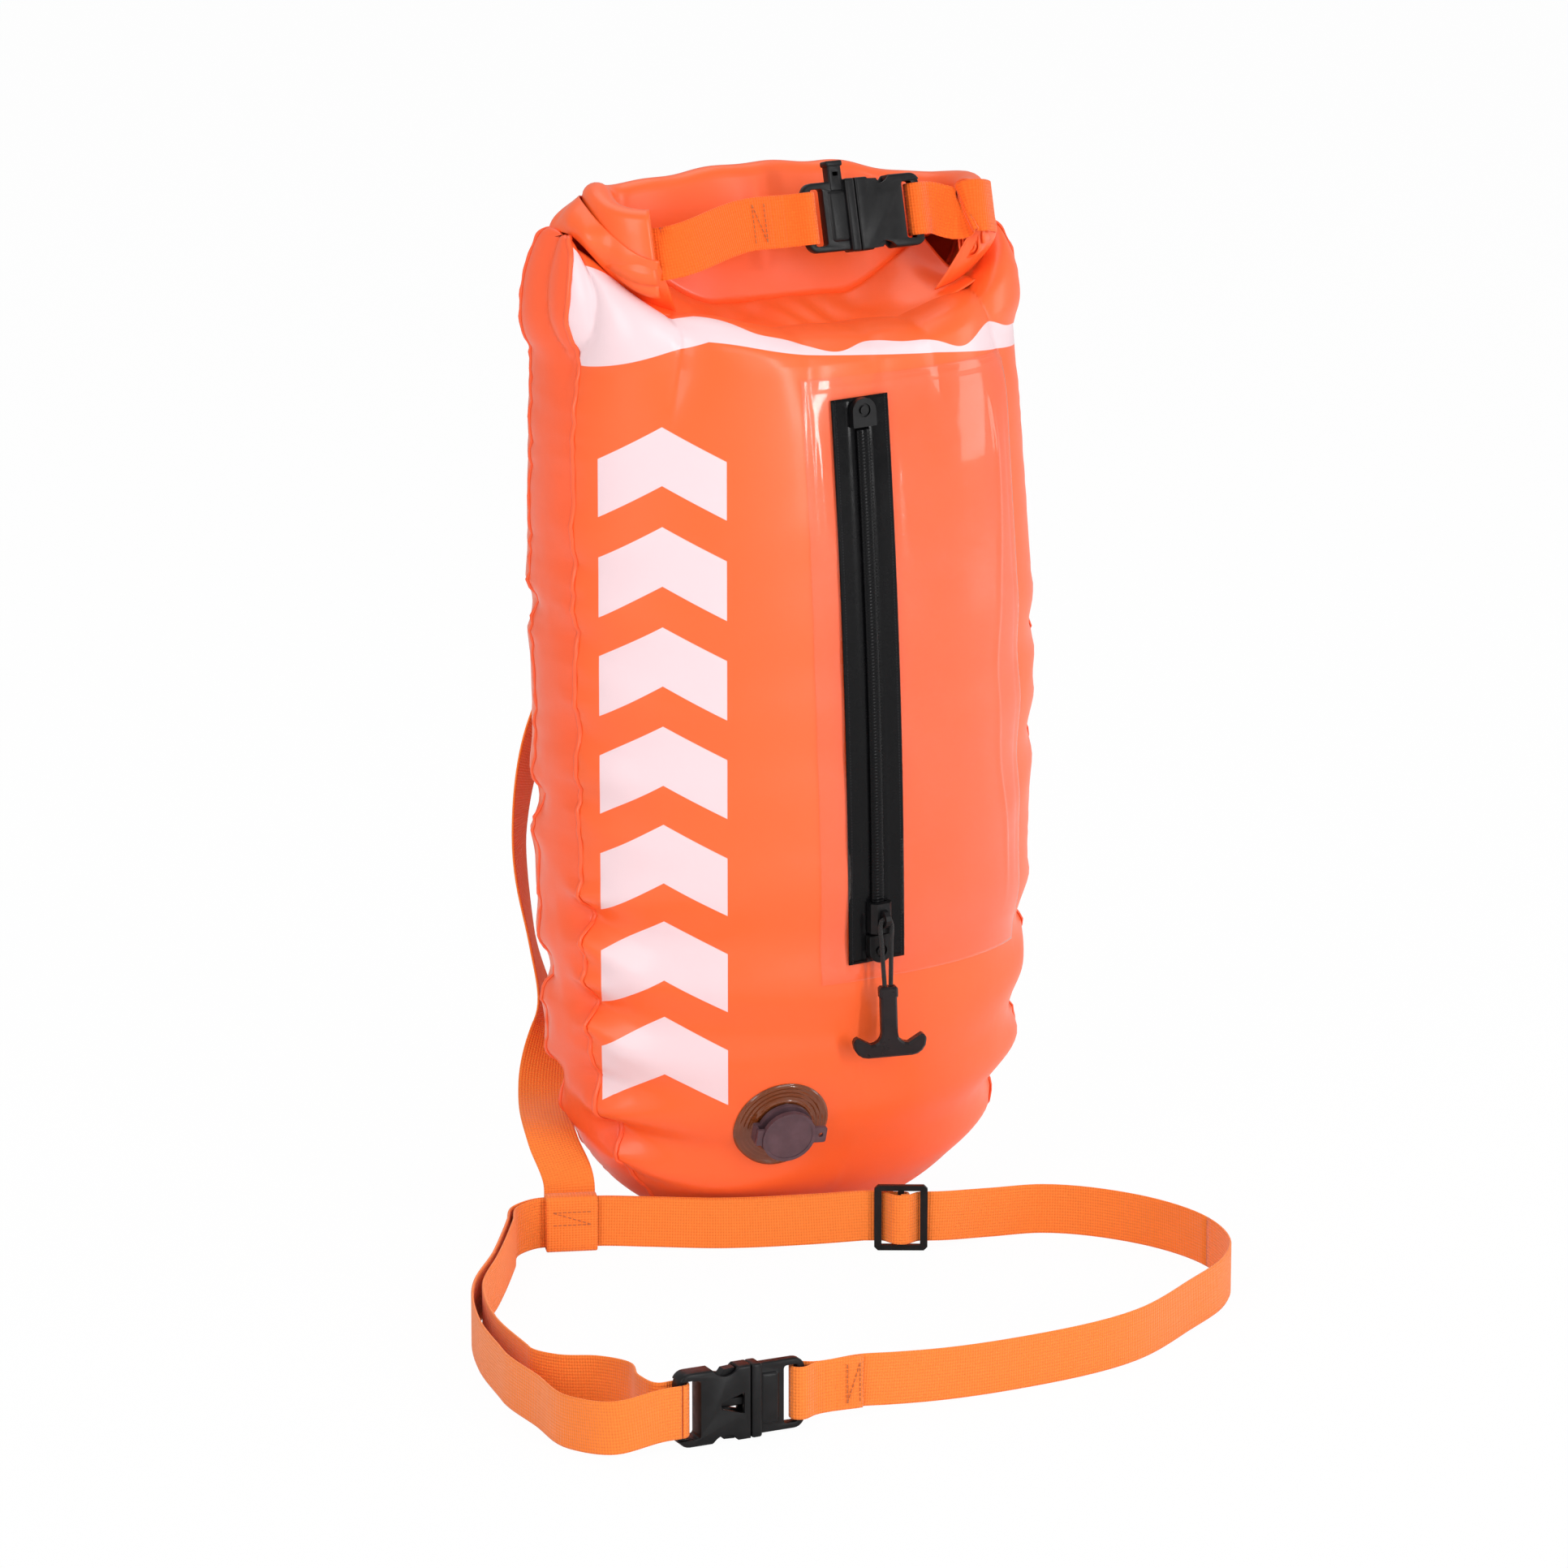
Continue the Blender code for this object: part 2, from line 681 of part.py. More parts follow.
def gusset_grid():
    """Rows across the gusset, down the left side, under the base and up the right."""
    rows = body_rows() + [neck_row()]

    def across(row, side):
        points = []
        for share in GUSSET_COLUMN_SHARES:
            y = share * (gusset_half(row) - SEAM_GAP / 2)
            x = side * row[0] * (1 - abs(y / row[1]) ** row[4]) ** (1 / row[4])
            z = row[2] + side_rise(row[3], x / row[0])
            points.append(Vector((x + sway(z), y, z)))
        return points

    left = [across(row, -1) for row in reversed(rows)]
    right = [across(row, 1) for row in rows]
    under = []
    for share in BASE_ROW_SHARES:
        under.append([low.lerp(high, share) for low, high in zip(left[-1], right[0])])
    return left + under + right


def make_bag():
    """The front and back panels, the gusset between them and the dry compartment."""
    shell = material("shell_fabric", ORANGE_SHELL, 0.45)
    front = skin_object("front_panel", panel_grid(-1), shell)
    skin_object("back_panel", panel_grid(1), shell)
    skin_object("side_gusset", gusset_grid(), material("gusset_fabric", ORANGE_GUSSET, 0.5))
    frame = valve_frame()
    profile = [(0, -CAP_RADIUS), (VALVE_HOLE_RADIUS, -CAP_RADIUS)]
    profile += [(VALVE_HOLE_RADIUS, CUT_OVERRUN), (0, CUT_OVERRUN)]
    hole = place_mesh("valve_hole_cutter", lathe_mesh(profile, frame), shell)
    combine(front, hole, "DIFFERENCE")
    make_liner()


def liner_rings(inset):
    """Rings of the dry compartment from its mouth down to its foot."""
    wall = PANEL_THICKNESS + 2 * CLEARANCE + inset
    rings = []
    for share in LINER_ROW_SHARES:
        height = LINER_BASE + (SHOULDER_START - LINER_BASE) * share + inset
        wide = half_width(height - LINER_SETTLE) - wall
        deep = half_depth(height) * LINER_DEPTH_SHARE - inset
        row = (wide, deep, height, 0.0, SECTION_POWER)
        ring = []
        for step in range(LINER_COLUMNS):
            ring.append(section_point(row, 2 * math.pi * step / LINER_COLUMNS))
        rings.append(ring)
    return rings


def make_liner():
    """The dry compartment: an open-topped inner bag held between the side gussets."""
    outer = liner_rings(0.0)
    inner = liner_rings(PANEL_THICKNESS)
    bm = sheet_mesh(outer, inner, around=True, cap_end=True)
    place_mesh("inner_dry_bag", bm, material("liner_film", LINER_ORANGE, 0.4))


def ring_frame():
    """The plane that the rolled mouth is bent in: its reach runs forward and up."""
    reach = Vector((0, -math.cos(ROLL_TILT), math.sin(ROLL_TILT)))
    height = Vector((0, math.sin(ROLL_TILT), math.cos(ROLL_TILT)))
    origin = Vector((sway(ROLL_CENTRE_Z), ROLL_CENTRE_Y, ROLL_CENTRE_Z))
    return origin, reach, height


def ring_station(distance):
    """Place and inward way in the ring's plane, at a distance along from its middle."""
    side = math.copysign(1, distance)
    past = abs(distance) - ROLL_STRAIGHT_HALF
    if past <= 0:
        return (distance, 0.0), (0.0, 1.0)
    angle = past / ROLL_BEND_RADIUS
    x = side * (ROLL_STRAIGHT_HALF + ROLL_BEND_RADIUS * math.sin(angle))
    reach = ROLL_BEND_RADIUS * (1 - math.cos(angle))
    return (x, reach), (-side * math.sin(angle), math.cos(angle))


def ring_half_length():
    return ROLL_STRAIGHT_HALF + ROLL_BEND_RADIUS * ROLL_BEND_ANGLE


def ring_point(distance, depth, height):
    """World point of the ring: along it, in from its middle line, and up its band."""
    origin, reach, up = ring_frame()
    (x, e), (inward_x, inward_e) = ring_station(distance)
    flat = Vector((x + inward_x * depth, 0, 0)) + reach * (e + inward_e * depth)
    return origin + flat + up * height


def ring_distances():
    """Stations along the ring, close together in its bends."""
    half = ring_half_length()
    straight, bend = ROLL_STRAIGHT_HALF, half - ROLL_STRAIGHT_HALF
    positive = [straight * i / ROLL_STATIONS_STRAIGHT for i in range(ROLL_STATIONS_STRAIGHT)]
    positive += [straight + bend * i / ROLL_STATIONS_BEND for i in range(ROLL_STATIONS_BEND + 1)]
    return [-d for d in reversed(positive[1:])] + positive


def band_edges(distance):
    """Lower and upper edge of the rolled band at a distance from its middle."""
    middle = ROLL_STRAIGHT_HALF * BAND_FLAT_SHARE
    bend = ROLL_STRAIGHT_HALF + ROLL_BEND_RADIUS * BAND_BEND_SHARE
    end = ring_half_length()
    away = abs(distance)
    at_bend, at_end = (ROLL_LEFT_BEND, ROLL_LEFT_END)
    if distance > 0:
        at_bend, at_end = (ROLL_RIGHT_BEND, ROLL_RIGHT_END)
    if away < bend:
        share = max(0, (away - middle) / (bend - middle))
        first, second = (ROLL_LOW_MIDDLE, ROLL_TOP_MIDDLE), at_bend
    else:
        share = (away - bend) / (end - bend)
        first, second = at_bend, at_end
    share = share * share * (3 - 2 * share)
    return [a + (b - a) * share for a, b in zip(first, second)]


def spiral_section(low, high):
    """Centre line and normals of the flattened spiral, as (depth, height) pairs."""
    line = []
    back = -ROLL_RADIUS
    for turn in range(ROLL_HALF_TURNS):
        over = turn % 2 == 0
        reach = abs(back) if over else abs(back) - ROLL_PITCH / 2
        centre = back + reach if back < 0 else back - reach
        limit = high - ROLL_RADIUS if over else low + ROLL_RADIUS
        start = low + ROLL_RADIUS if over else high - ROLL_RADIUS
        if turn == 0:
            line.append((back, start))
        way = 1 if over else -1
        for step in range(ROLL_ARC_STEPS + 1):
            angle = math.pi * step / ROLL_ARC_STEPS
            depth = centre + (back - centre) * math.cos(angle)
            height = limit + way * reach * math.sin(angle)
            line.append((depth, height))
        back = 2 * centre - back
    tail_limit = (low + high) / 2
    line.append((back, tail_limit))
    return line


def offset_line(line, distance):
    """The line moved sideways by a distance."""
    moved = []
    for i, (a, b) in enumerate(line):
        before = line[max(i - 1, 0)]
        after = line[min(i + 1, len(line) - 1)]
        way = Vector((after[0] - before[0], after[1] - before[1])).normalized()
        moved.append((a - way.y * distance, b + way.x * distance))
    return moved


def least_turn_gap():
    """The least gap of the rolled sheet to itself, on the points of its section."""
    line = [Vector(point) for point in spiral_section(*band_edges(0))]
    least = 2 * ROLL_RADIUS
    for i, (a, b) in enumerate(zip(line, line[1:])):
        for c, d in zip(line[i + 2:], line[i + 3:]):
            for point, start, end in ((a, c, d), (b, c, d), (c, a, b), (d, a, b)):
                way = end - start
                share = min(max((point - start).dot(way) / way.length_squared, 0), 1)
                least = min(least, (start + way * share - point).length)
    return least - ROLL_SHEET


def make_rolled_mouth():
    """The mouth of the bag, rolled down and bent round into a ring."""
    top, bottom = [], []
    for distance in ring_distances():
        line = spiral_section(*band_edges(distance))
        outer = offset_line(line, ROLL_SHEET / 2)
        inner = offset_line(line, -ROLL_SHEET / 2)
        top.append([ring_point(distance, a, b) for a, b in outer])
        bottom.append([ring_point(distance, a, b) for a, b in inner])
    bm = sheet_mesh(top, bottom)
    place_mesh("rolled_mouth", bm, material("shell_fabric", ORANGE_SHELL, 0.45))
    print("rolled mouth: least gap between its turns, m:", round(least_turn_gap(), 5))


def core_depth(thickness):
    """Depth at which a strip lies against the innermost turn of the rolled mouth."""
    core = ROLL_RADIUS - ROLL_PITCH * (ROLL_HALF_TURNS // 2)
    return -core + ROLL_SHEET / 2 + CLEARANCE + thickness / 2


def band_middle(distance):
    low, high = band_edges(distance)
    return (low + high) / 2


def make_stiffener():
    """The plastic strip that the mouth is rolled round."""
    limit = ring_half_length() - CORE_ENTRY - CORE_GAP
    distances = [d for d in ring_distances() if abs(d) < limit]
    depth = core_depth(STIFFENER_THICKNESS)
    top, bottom = [], []
    for distance in distances:
        middle = band_middle(distance)
        edges = (middle - STIFFENER_WIDTH / 2, middle + STIFFENER_WIDTH / 2)
        outer = depth + STIFFENER_THICKNESS / 2
        inner = depth - STIFFENER_THICKNESS / 2
        top.append([ring_point(distance, outer, height) for height in edges])
        bottom.append([ring_point(distance, inner, height) for height in edges])
    bm = sheet_mesh(top, bottom)
    place_mesh("mouth_stiffener", bm, material("stiffener", STIFFENER_WHITE, 0.5))


def closure_frame():
    """The closure buckle's frame: x along the ring's front, z up its band."""
    origin, reach, up = ring_frame()
    across = Vector((1, 0, 0))
    place = origin + across * CLOSURE_MOUTH_X + reach * CLOSURE_REACH + up * CLOSURE_HEIGHT
    back = up.cross(across)
    turn = Matrix((across, back, up)).transposed().to_4x4()
    return Matrix.Translation(place) @ turn


def belt_frame():
    """The belt buckle's frame, standing on its lower edge on the floor."""
    x, y = BELT_BUCKLE_MOUTH
    place = Matrix.Translation((x, y, BUCKLE_WIDTH / 2))
    return place @ Matrix.Rotation(BELT_BUCKLE_TURN, 4, "Z")


def bar_wrap(frame, bar_x, slot_side):
    """Half a turn of webbing round a bar, from its -y face through the slot to +y."""
    points = []
    for step in range(WRAP_STEPS + 1):
        angle = math.pi * step / WRAP_STEPS
        x = bar_x + slot_side * WRAP_RADIUS * math.sin(angle)
        y = -WRAP_RADIUS * math.cos(angle)
        points.append(frame @ Vector((x, y, 0)))
    return points


def male_bar():
    return -MALE_LENGTH + BAR_WIDTH / 2


def female_bar():
    return FEMALE_LENGTH - BAR_WIDTH / 2


def mirrored(outline):
    """An outline's half with z above zero, completed by its mirror image."""
    return [(x, -z) for x, z in outline] + [(x, z) for x, z in reversed(outline)]


def round_edges(obj, width):
    """Round the outer edges of a moulded piece."""
    step = obj.modifiers.new("Rounding", "BEVEL")
    step.width = width
    step.segments = 1
    step.limit_method = "ANGLE"
    step.angle_limit = ROUNDED_ANGLE


def make_female(name, frame):
    """The socket half: cavity, side windows, face window and webbing slot."""
    plastic = material("black_plastic", BLACK_PLASTIC, 0.35)
    half = BUCKLE_WIDTH / 2
    waist = half - FEMALE_WAIST
    outline = mirrored((
        (0, half - BUCKLE_ROUNDING),
        (BUCKLE_ROUNDING, half),
        (FEMALE_WINDOW_START - BUCKLE_ROUNDING, half),
        (FEMALE_WINDOW_START + BUCKLE_CORNER, waist),
        (FEMALE_WINDOW_END - BUCKLE_CORNER, waist),
        (FEMALE_WINDOW_END + BUCKLE_CORNER, half),
        (FEMALE_LENGTH - BUCKLE_CORNER, half),
        (FEMALE_LENGTH, half - BUCKLE_CORNER),
    ))
    thick = BUCKLE_THICKNESS / 2
    female = place_mesh(name, prism_mesh(outline, -thick, thick, frame), plastic)
    round_edges(female, BUCKLE_ROUNDING)
    cavity_half = ARM_HEIGHT / 2 + ARM_CLEARANCE
    inner = half - BUCKLE_SIDE_WALL
    tools = {
        "cavity": ((-CUT_OVERRUN, -cavity_half, -inner), (FEMALE_CAVITY, cavity_half, inner)),
        "windows": ((FEMALE_WINDOW_START, -cavity_half - CLEARANCE, -half - CUT_OVERRUN),
                    (FEMALE_WINDOW_END, cavity_half + CLEARANCE, half + CUT_OVERRUN)),
        "slot": ((FEMALE_LENGTH - BAR_WIDTH - SLOT_LENGTH, -half, -SLOT_WIDTH / 2),
                 (FEMALE_LENGTH - BAR_WIDTH, half, SLOT_WIDTH / 2)),
    }
    for part, (low, high) in tools.items():
        cutter = place_mesh(f"{name}_{part}_cutter", box_mesh(low, high, frame), plastic)
        combine(female, cutter, "DIFFERENCE")
    bar_start = FEMALE_LENGTH - BAR_WIDTH - SLOT_LENGTH / 2
    wide = SLOT_WIDTH / 2 + CLEARANCE
    for side in (-1, 1):
        near, far = side * FEMALE_BAR_PLATE / 2, side * (thick + CUT_OVERRUN)
        low = (bar_start, min(near, far), -wide)
        high = (FEMALE_LENGTH + CUT_OVERRUN, max(near, far), wide)
        cutter = place_mesh(f"{name}_bar_cutter", box_mesh(low, high, frame), plastic)
        combine(female, cutter, "DIFFERENCE")
    window = (
        (FACE_WINDOW_START, -FACE_WINDOW_WIDTH / 2), (FACE_WINDOW_END, -FACE_WINDOW_TIP / 2),
        (FACE_WINDOW_END, FACE_WINDOW_TIP / 2), (FACE_WINDOW_START, FACE_WINDOW_WIDTH / 2),
    )
    cutter = place_mesh(f"{name}_face_cutter", prism_mesh(window, -half, half, frame), plastic)
    combine(female, cutter, "DIFFERENCE")
    return female


def make_male(name, frame, parent, whistle):
    """The plug half: a slotted base with a centre tongue, and a whistle if asked for."""
    plastic = material("black_plastic", BLACK_PLASTIC, 0.35)
    half = BUCKLE_WIDTH / 2
    inset = half - BUCKLE_ROUNDING
    outline = mirrored((
        (-MALE_LENGTH, inset - BUCKLE_CORNER),
        (-MALE_LENGTH + BUCKLE_CORNER, inset),
        (-BUCKLE_CORNER, inset),
    ))
    thick = FEMALE_BAR_PLATE / 2
    origin = frame.translation
    male = place_mesh(name, prism_mesh(outline, -thick, thick, frame), plastic, origin, parent)
    round_edges(male, BUCKLE_ROUNDING)

    def tool(part, bm, operation):
        piece = place_mesh(f"{name}_{part}", bm, plastic, origin, parent)
        combine(male, piece, operation)

    deep = BUCKLE_THICKNESS / 2
    flange = mirrored((
        (-MALE_FLANGE, inset + CLEARANCE),
        (-MALE_FLANGE + BUCKLE_ROUNDING, half),
        (-CLEARANCE, half),
    ))
    tool("flange", prism_mesh(flange, -deep, deep, frame), "UNION")
    low = (-BUCKLE_CORNER, -TONGUE_HEIGHT / 2, -TONGUE_WIDTH / 2)
    high = (TONGUE_LENGTH, TONGUE_HEIGHT / 2, TONGUE_WIDTH / 2)
    tool("tongue", box_mesh(low, high, frame), "UNION")
    if whistle:
        wide, tall = WHISTLE_WIDTH / 2, WHISTLE_DEPTH / 2
        low = (WHISTLE_PLACE - wide, -tall, half - BUCKLE_SIDE_WALL)
        high = (WHISTLE_PLACE + wide, tall, half + WHISTLE_HEIGHT)
        tool("mouthpiece", box_mesh(low, high, frame), "UNION")
    low = (-MALE_LENGTH + BAR_WIDTH, -half, -SLOT_WIDTH / 2)
    high = (-MALE_LENGTH + BAR_WIDTH + SLOT_LENGTH, half, SLOT_WIDTH / 2)
    tool("slot_cutter", box_mesh(low, high, frame), "DIFFERENCE")
    if whistle:
        bore_wide, bore_tall = wide - WHISTLE_WALL, tall - WHISTLE_WALL
        top = half + WHISTLE_HEIGHT
        low = (WHISTLE_PLACE - bore_wide, -bore_tall, top - WHISTLE_SOUND_DEPTH)
        high = (WHISTLE_PLACE + bore_wide, bore_tall, top + CUT_OVERRUN)
        tool("bore_cutter", box_mesh(low, high, frame), "DIFFERENCE")
        floor = top - WHISTLE_SOUND_DEPTH
        notch_wide = bore_wide - CLEARANCE
        low = (WHISTLE_PLACE - notch_wide, -tall - CUT_OVERRUN, floor + CLEARANCE)
        high = (WHISTLE_PLACE + notch_wide, 0, floor + WHISTLE_NOTCH)
        tool("notch_cutter", box_mesh(low, high, frame), "DIFFERENCE")
    return male


def make_arm(name, frame, parent, side):
    """One sprung arm with its hook, on a pivot at its root."""
    outline = (
        (CLEARANCE, ARM_ROOT - ARM_THICKNESS / 2),
        (HOOK_START, ARM_WAIST_INNER),
        (HOOK_BACK, ARM_MIDDLE_INNER),
        (ARM_LENGTH, ARM_TIP_INNER),
        (ARM_LENGTH, HOOK_TIP),
        (HOOK_BACK + ARM_THICKNESS, HOOK_BACK),
        (HOOK_BACK, HOOK_REACH - CLEARANCE),
        (HOOK_START + CLEARANCE, HOOK_REACH),
        (HOOK_START, HOOK_SHOULDER),
        (HOOK_START, ARM_ROOT + ARM_THICKNESS),
        (CLEARANCE, ARM_ROOT + ARM_THICKNESS / 2),
    )
    outline = [(x, side * z) for x, z in outline]
    pivot = frame @ Vector((ARM_PIVOT, 0, side * ARM_ROOT))
    empty = pivot_empty(f"{name}_pivot", pivot, parent)
    bm = prism_mesh(outline, -ARM_HEIGHT / 2, ARM_HEIGHT / 2, frame)
    place_mesh(name, bm, material("black_plastic", BLACK_PLASTIC, 0.35), pivot, empty)


def make_buckle(name, frame, whistle):
    """A side release buckle: socket, plug and the plug's two arms."""
    make_female(f"{name}_female", frame)
    empty = pivot_empty(f"{name}_release", frame.translation)
    make_male(f"{name}_male", frame, empty, whistle)
    make_arm(f"{name}_arm_upper", frame, empty, 1)
    make_arm(f"{name}_arm_lower", frame, empty, -1)


def folded_end(frame, bar_x, slot_side, tail):
    """A sewn webbing end: its tail, the wrap round the bar and the start of the strap."""
    outward = -slot_side
    near = (WEBBING_THICKNESS + FOLD_GAP) / 2
    joined = bar_x + outward * FOLD_REACH
    tail_end = [frame @ Vector((x, near, 0)) for x in (joined + outward * tail, joined)]
    wrap = bar_wrap(frame, bar_x, slot_side)
    wrap.reverse()
    return tail_end + wrap + [frame @ Vector((joined, -near, 0))]


def make_closure_straps():
    """Webbing from each end of the rolled mouth to its half of the closure buckle."""
    frame = closure_frame()
    webbing = material("webbing", ORANGE_WEBBING, 0.7)
    up = ring_frame()[2]
    end = ring_half_length()
    near = (WEBBING_THICKNESS + FOLD_GAP) / 2
    halves = (("left", -1, male_bar(), LONG_TAIL), ("right", 1, female_bar(), SHORT_TAIL))
    for name, side, bar_x, tail in halves:
        fold = folded_end(frame, bar_x, -side, tail)
        if tail == LONG_TAIL:
            beyond = bar_x + side * (FOLD_REACH + tail)
            fold.append(frame @ Vector((beyond, -near, 0)))
        core = []
        for step in range(CORE_STEPS + 1):
            distance = side * (end - CORE_ENTRY * step / CORE_STEPS)
            core.append(ring_point(distance, STRAP_CORE_DEPTH, band_middle(side * end)))
        lead = core[0] + (core[0] - core[1]).normalized() * STRAP_LEAD
        route = smooth_route(fold + [lead] + core, STRAP_STEPS)
        bm = strap_mesh(route, [up] * len(route), WEBBING_WIDTH, WEBBING_THICKNESS)
        place_mesh(f"closure_strap_{name}", bm, webbing)


def zip_frame(height, lift=0.0):
    """Matrix on the zip's arc: x across, y up along the zip, z out of the bag."""
    low = Vector((ZIP_BOTTOM_X, 0, ZIP_BOTTOM))
    up = (Vector((ZIP_TOP_X, 0, ZIP_TOP)) - low).normalized()
    share = (BULGE_HEIGHT - ZIP_BOTTOM) / (ZIP_TOP - ZIP_BOTTOM)
    x = ZIP_BOTTOM_X + (ZIP_TOP_X - ZIP_BOTTOM_X) * share
    centre = Vector((x, BULGE_RADIUS - BAG_HALF_DEPTH, BULGE_HEIGHT))
    forward = Vector((0, -1, 0))
    angle = (height - BULGE_HEIGHT) / BULGE_RADIUS
    normal = forward * math.cos(angle) + up * math.sin(angle)
    tangent = up * math.cos(angle) - forward * math.sin(angle)
    across = tangent.cross(normal)
    turn = Matrix((across, tangent, normal)).transposed().to_4x4()
    return Matrix.Translation(centre + normal * (BULGE_RADIUS + lift)) @ turn


def zip_sweep(profile, low, high, stations):
    """A profile of (across, out) pairs along the zip's arc between two heights."""
    rings = []
    for step in range(stations + 1):
        frame = zip_frame(low + (high - low) * step / stations)
        rings.append([frame @ Vector((a, 0, out)) for a, out in profile])
    return ring_mesh(rings)


def make_zip():
    """The coated zip: tape, chain, the two end garages and the travelling slider."""
    tape = material("zip_tape", BLACK_TAPE, 0.3)
    base = ZIP_LIFT
    top = base + ZIP_TAPE_THICKNESS
    half = ZIP_TAPE_WIDTH / 2
    profile = ((-half, base), (half, base), (half, top), (-half, top))
    place_mesh("zip_tape", zip_sweep(profile, ZIP_BOTTOM, ZIP_TOP, ZIP_STATIONS), tape)
    seat = top + CLEARANCE
    wide, tall = ZIP_CHAIN_WIDTH / 2, ZIP_CHAIN_HEIGHT
    profile = [(wide * a, seat + tall * b) for a, b in CHAIN_PROFILE_SHARES]
    stop = GARAGE_LENGTH + 2 * CLEARANCE
    chain = zip_sweep(profile, ZIP_BOTTOM + stop, ZIP_TOP - stop, ZIP_STATIONS)
    place_mesh("zip_chain", chain, tape)
    make_garage("bottom", ZIP_BOTTOM + GARAGE_LENGTH / 2, seat, -1)
    make_garage("top", ZIP_TOP - GARAGE_LENGTH / 2, seat, 1)
    make_slider(seat)


def make_garage(name, middle, seat, round_side):
    """The moulded stop at one end of the zip's chain."""
    frame = zip_frame(middle, seat)
    outline = garage_outline(round_side)
    rings = []
    for rise, share in GARAGE_LEVEL_SHARES:
        level = GARAGE_HEIGHT * rise
        rings.append([frame @ Vector((x * share, y * share, level)) for x, y in outline])
    plastic = material("black_plastic", BLACK_PLASTIC, 0.35)
    garage = place_mesh(f"zip_{name}_garage", ring_mesh(rings), plastic)
    garage.data.shade_flat()


def garage_outline(round_side):
    """A garage seen from the front: square towards the chain, round at its far end."""
    half, reach = GARAGE_WIDTH / 2, GARAGE_LENGTH / 2
    points = [(-half, -reach * round_side), (half, -reach * round_side)]
    for step in range(GARAGE_STEPS + 1):
        angle = math.pi * step / GARAGE_STEPS
        y = (reach - half) + half * math.sin(angle)
        points.append((half * math.cos(angle), y * round_side))
    return points


def slider_profile(foot):
    """The slider seen along the zip: a roof over the chain with chamfered shoulders."""
    wide, tall = SLIDER_WIDTH / 2, SLIDER_HEIGHT
    channel = ZIP_CHAIN_WIDTH / 2 + 2 * CLEARANCE
    roof = foot + ZIP_CHAIN_HEIGHT + 2 * CLEARANCE
    shoulder, crown = foot + tall * SLIDER_SHOULDER_SHARE, foot + tall
    top = wide * SLIDER_SHOULDER_SHARE
    return (
        (-wide, foot), (-channel, foot), (-channel, roof), (channel, roof), (channel, foot),
        (wide, foot), (wide, shoulder), (top, crown), (-top, crown), (-wide, shoulder),
    )


def bail_arch(crown):
    """The bail seen from the side, with its feet sunk in the slider's roof."""
    half = BAIL_LENGTH / 2
    arch = [(-half, crown - SLIDER_WALL)]
    for step in range(GARAGE_STEPS + 1):
        angle = math.pi - math.pi * step / GARAGE_STEPS
        arch.append((half * math.cos(angle), crown + BAIL_HEIGHT * math.sin(angle)))
    arch.append((half, crown - SLIDER_WALL))
    return arch


def bore_outline(middle):
    """The round hole through the bail."""
    ring = []
    for step in range(GARAGE_STEPS * 2):
        angle = math.pi * step / GARAGE_STEPS
        y, out = math.cos(angle) * BAIL_BORE / 2, math.sin(angle) * BAIL_BORE / 2
        ring.append((y, middle + out))
    return ring


def make_slider(seat):
    """The slider that runs over the chain, with its bail, pull cord and handle."""
    plastic = material("black_plastic", BLACK_PLASTIC, 0.35)
    frame = zip_frame(SLIDER_HEIGHT_AT_REST)
    travel = pivot_empty("zip_travel", frame @ Vector((0, 0, -BULGE_RADIUS)))
    rings = []
    for y in (-SLIDER_LENGTH / 2, SLIDER_LENGTH / 2):
        rings.append([frame @ Vector((a, y, out)) for a, out in slider_profile(seat)])
    slider = place_mesh("zip_slider", ring_mesh(rings), plastic, travel.location, travel)
    crown = seat + SLIDER_HEIGHT
    bore_out = crown + BAIL_BORE / 2 + CLEARANCE
    steps = (("bail", bail_arch(crown), BAIL_WIDTH / 2, "UNION"),
             ("bore_cutter", bore_outline(bore_out), BAIL_WIDTH, "DIFFERENCE"))
    for name, outline, reach, operation in steps:
        rings = []
        for a in (-reach, reach):
            rings.append([frame @ Vector((a, y, out)) for y, out in outline])
        tool = place_mesh(f"zip_slider_{name}", ring_mesh(rings), plastic, travel.location, travel)
        combine(slider, tool, operation)
    across = frame.to_3x3() @ Vector((1, 0, 0))
    up = (Vector((0, 0, 1)) - across * across.z).normalized()
    turn = Matrix((across, up, across.cross(up))).transposed().to_4x4()
    make_pull(Matrix.Translation(frame @ Vector((0, 0, bore_out))) @ turn, travel)


def make_pull(frame, travel):
    """The cord loop through the bail and the anchor-shaped handle that hangs on it."""
    pivot = frame.translation
    swing = pivot_empty("pull_swing", pivot, travel)
    drop = PULL_CORD_LENGTH
    right = [Vector((PULL_CORD_SPREAD * a, -drop * b, 0)) for a, b in CORD_SIDE_SHARES]
    right += [Vector((x, y, 0)) for x, y in CORD_BEND]
    left = [Vector((-point.x, point.y, 0)) for point in reversed(right)]
    route = smooth_route([frame @ point for point in right + left], CORD_STEPS)
    out = frame.to_3x3() @ Vector((0, 0, 1))
    bm = tube_mesh(route, out, PULL_CORD_DIAMETER / 2)
    place_mesh("pull_cord", bm, material("pull_cord", BLACK_TAPE, 0.8), pivot, swing)
    hang = frame @ Matrix.Translation((0, -drop - CLEARANCE, 0))
    hang = hang @ Matrix.Rotation(HANDLE_TURN, 4, "Y")
    rings = []
    for out in (-HANDLE_THICKNESS / 2, HANDLE_THICKNESS / 2):
        rings.append([hang @ Vector((x, y, out)) for x, y in handle_outline()])
    finish = material("handle_rubber", BROWN_VALVE, 0.5)
    handle = place_mesh("pull_handle", ring_mesh(rings), finish, pivot, swing)
    round_edges(handle, HANDLE_ROUNDING)


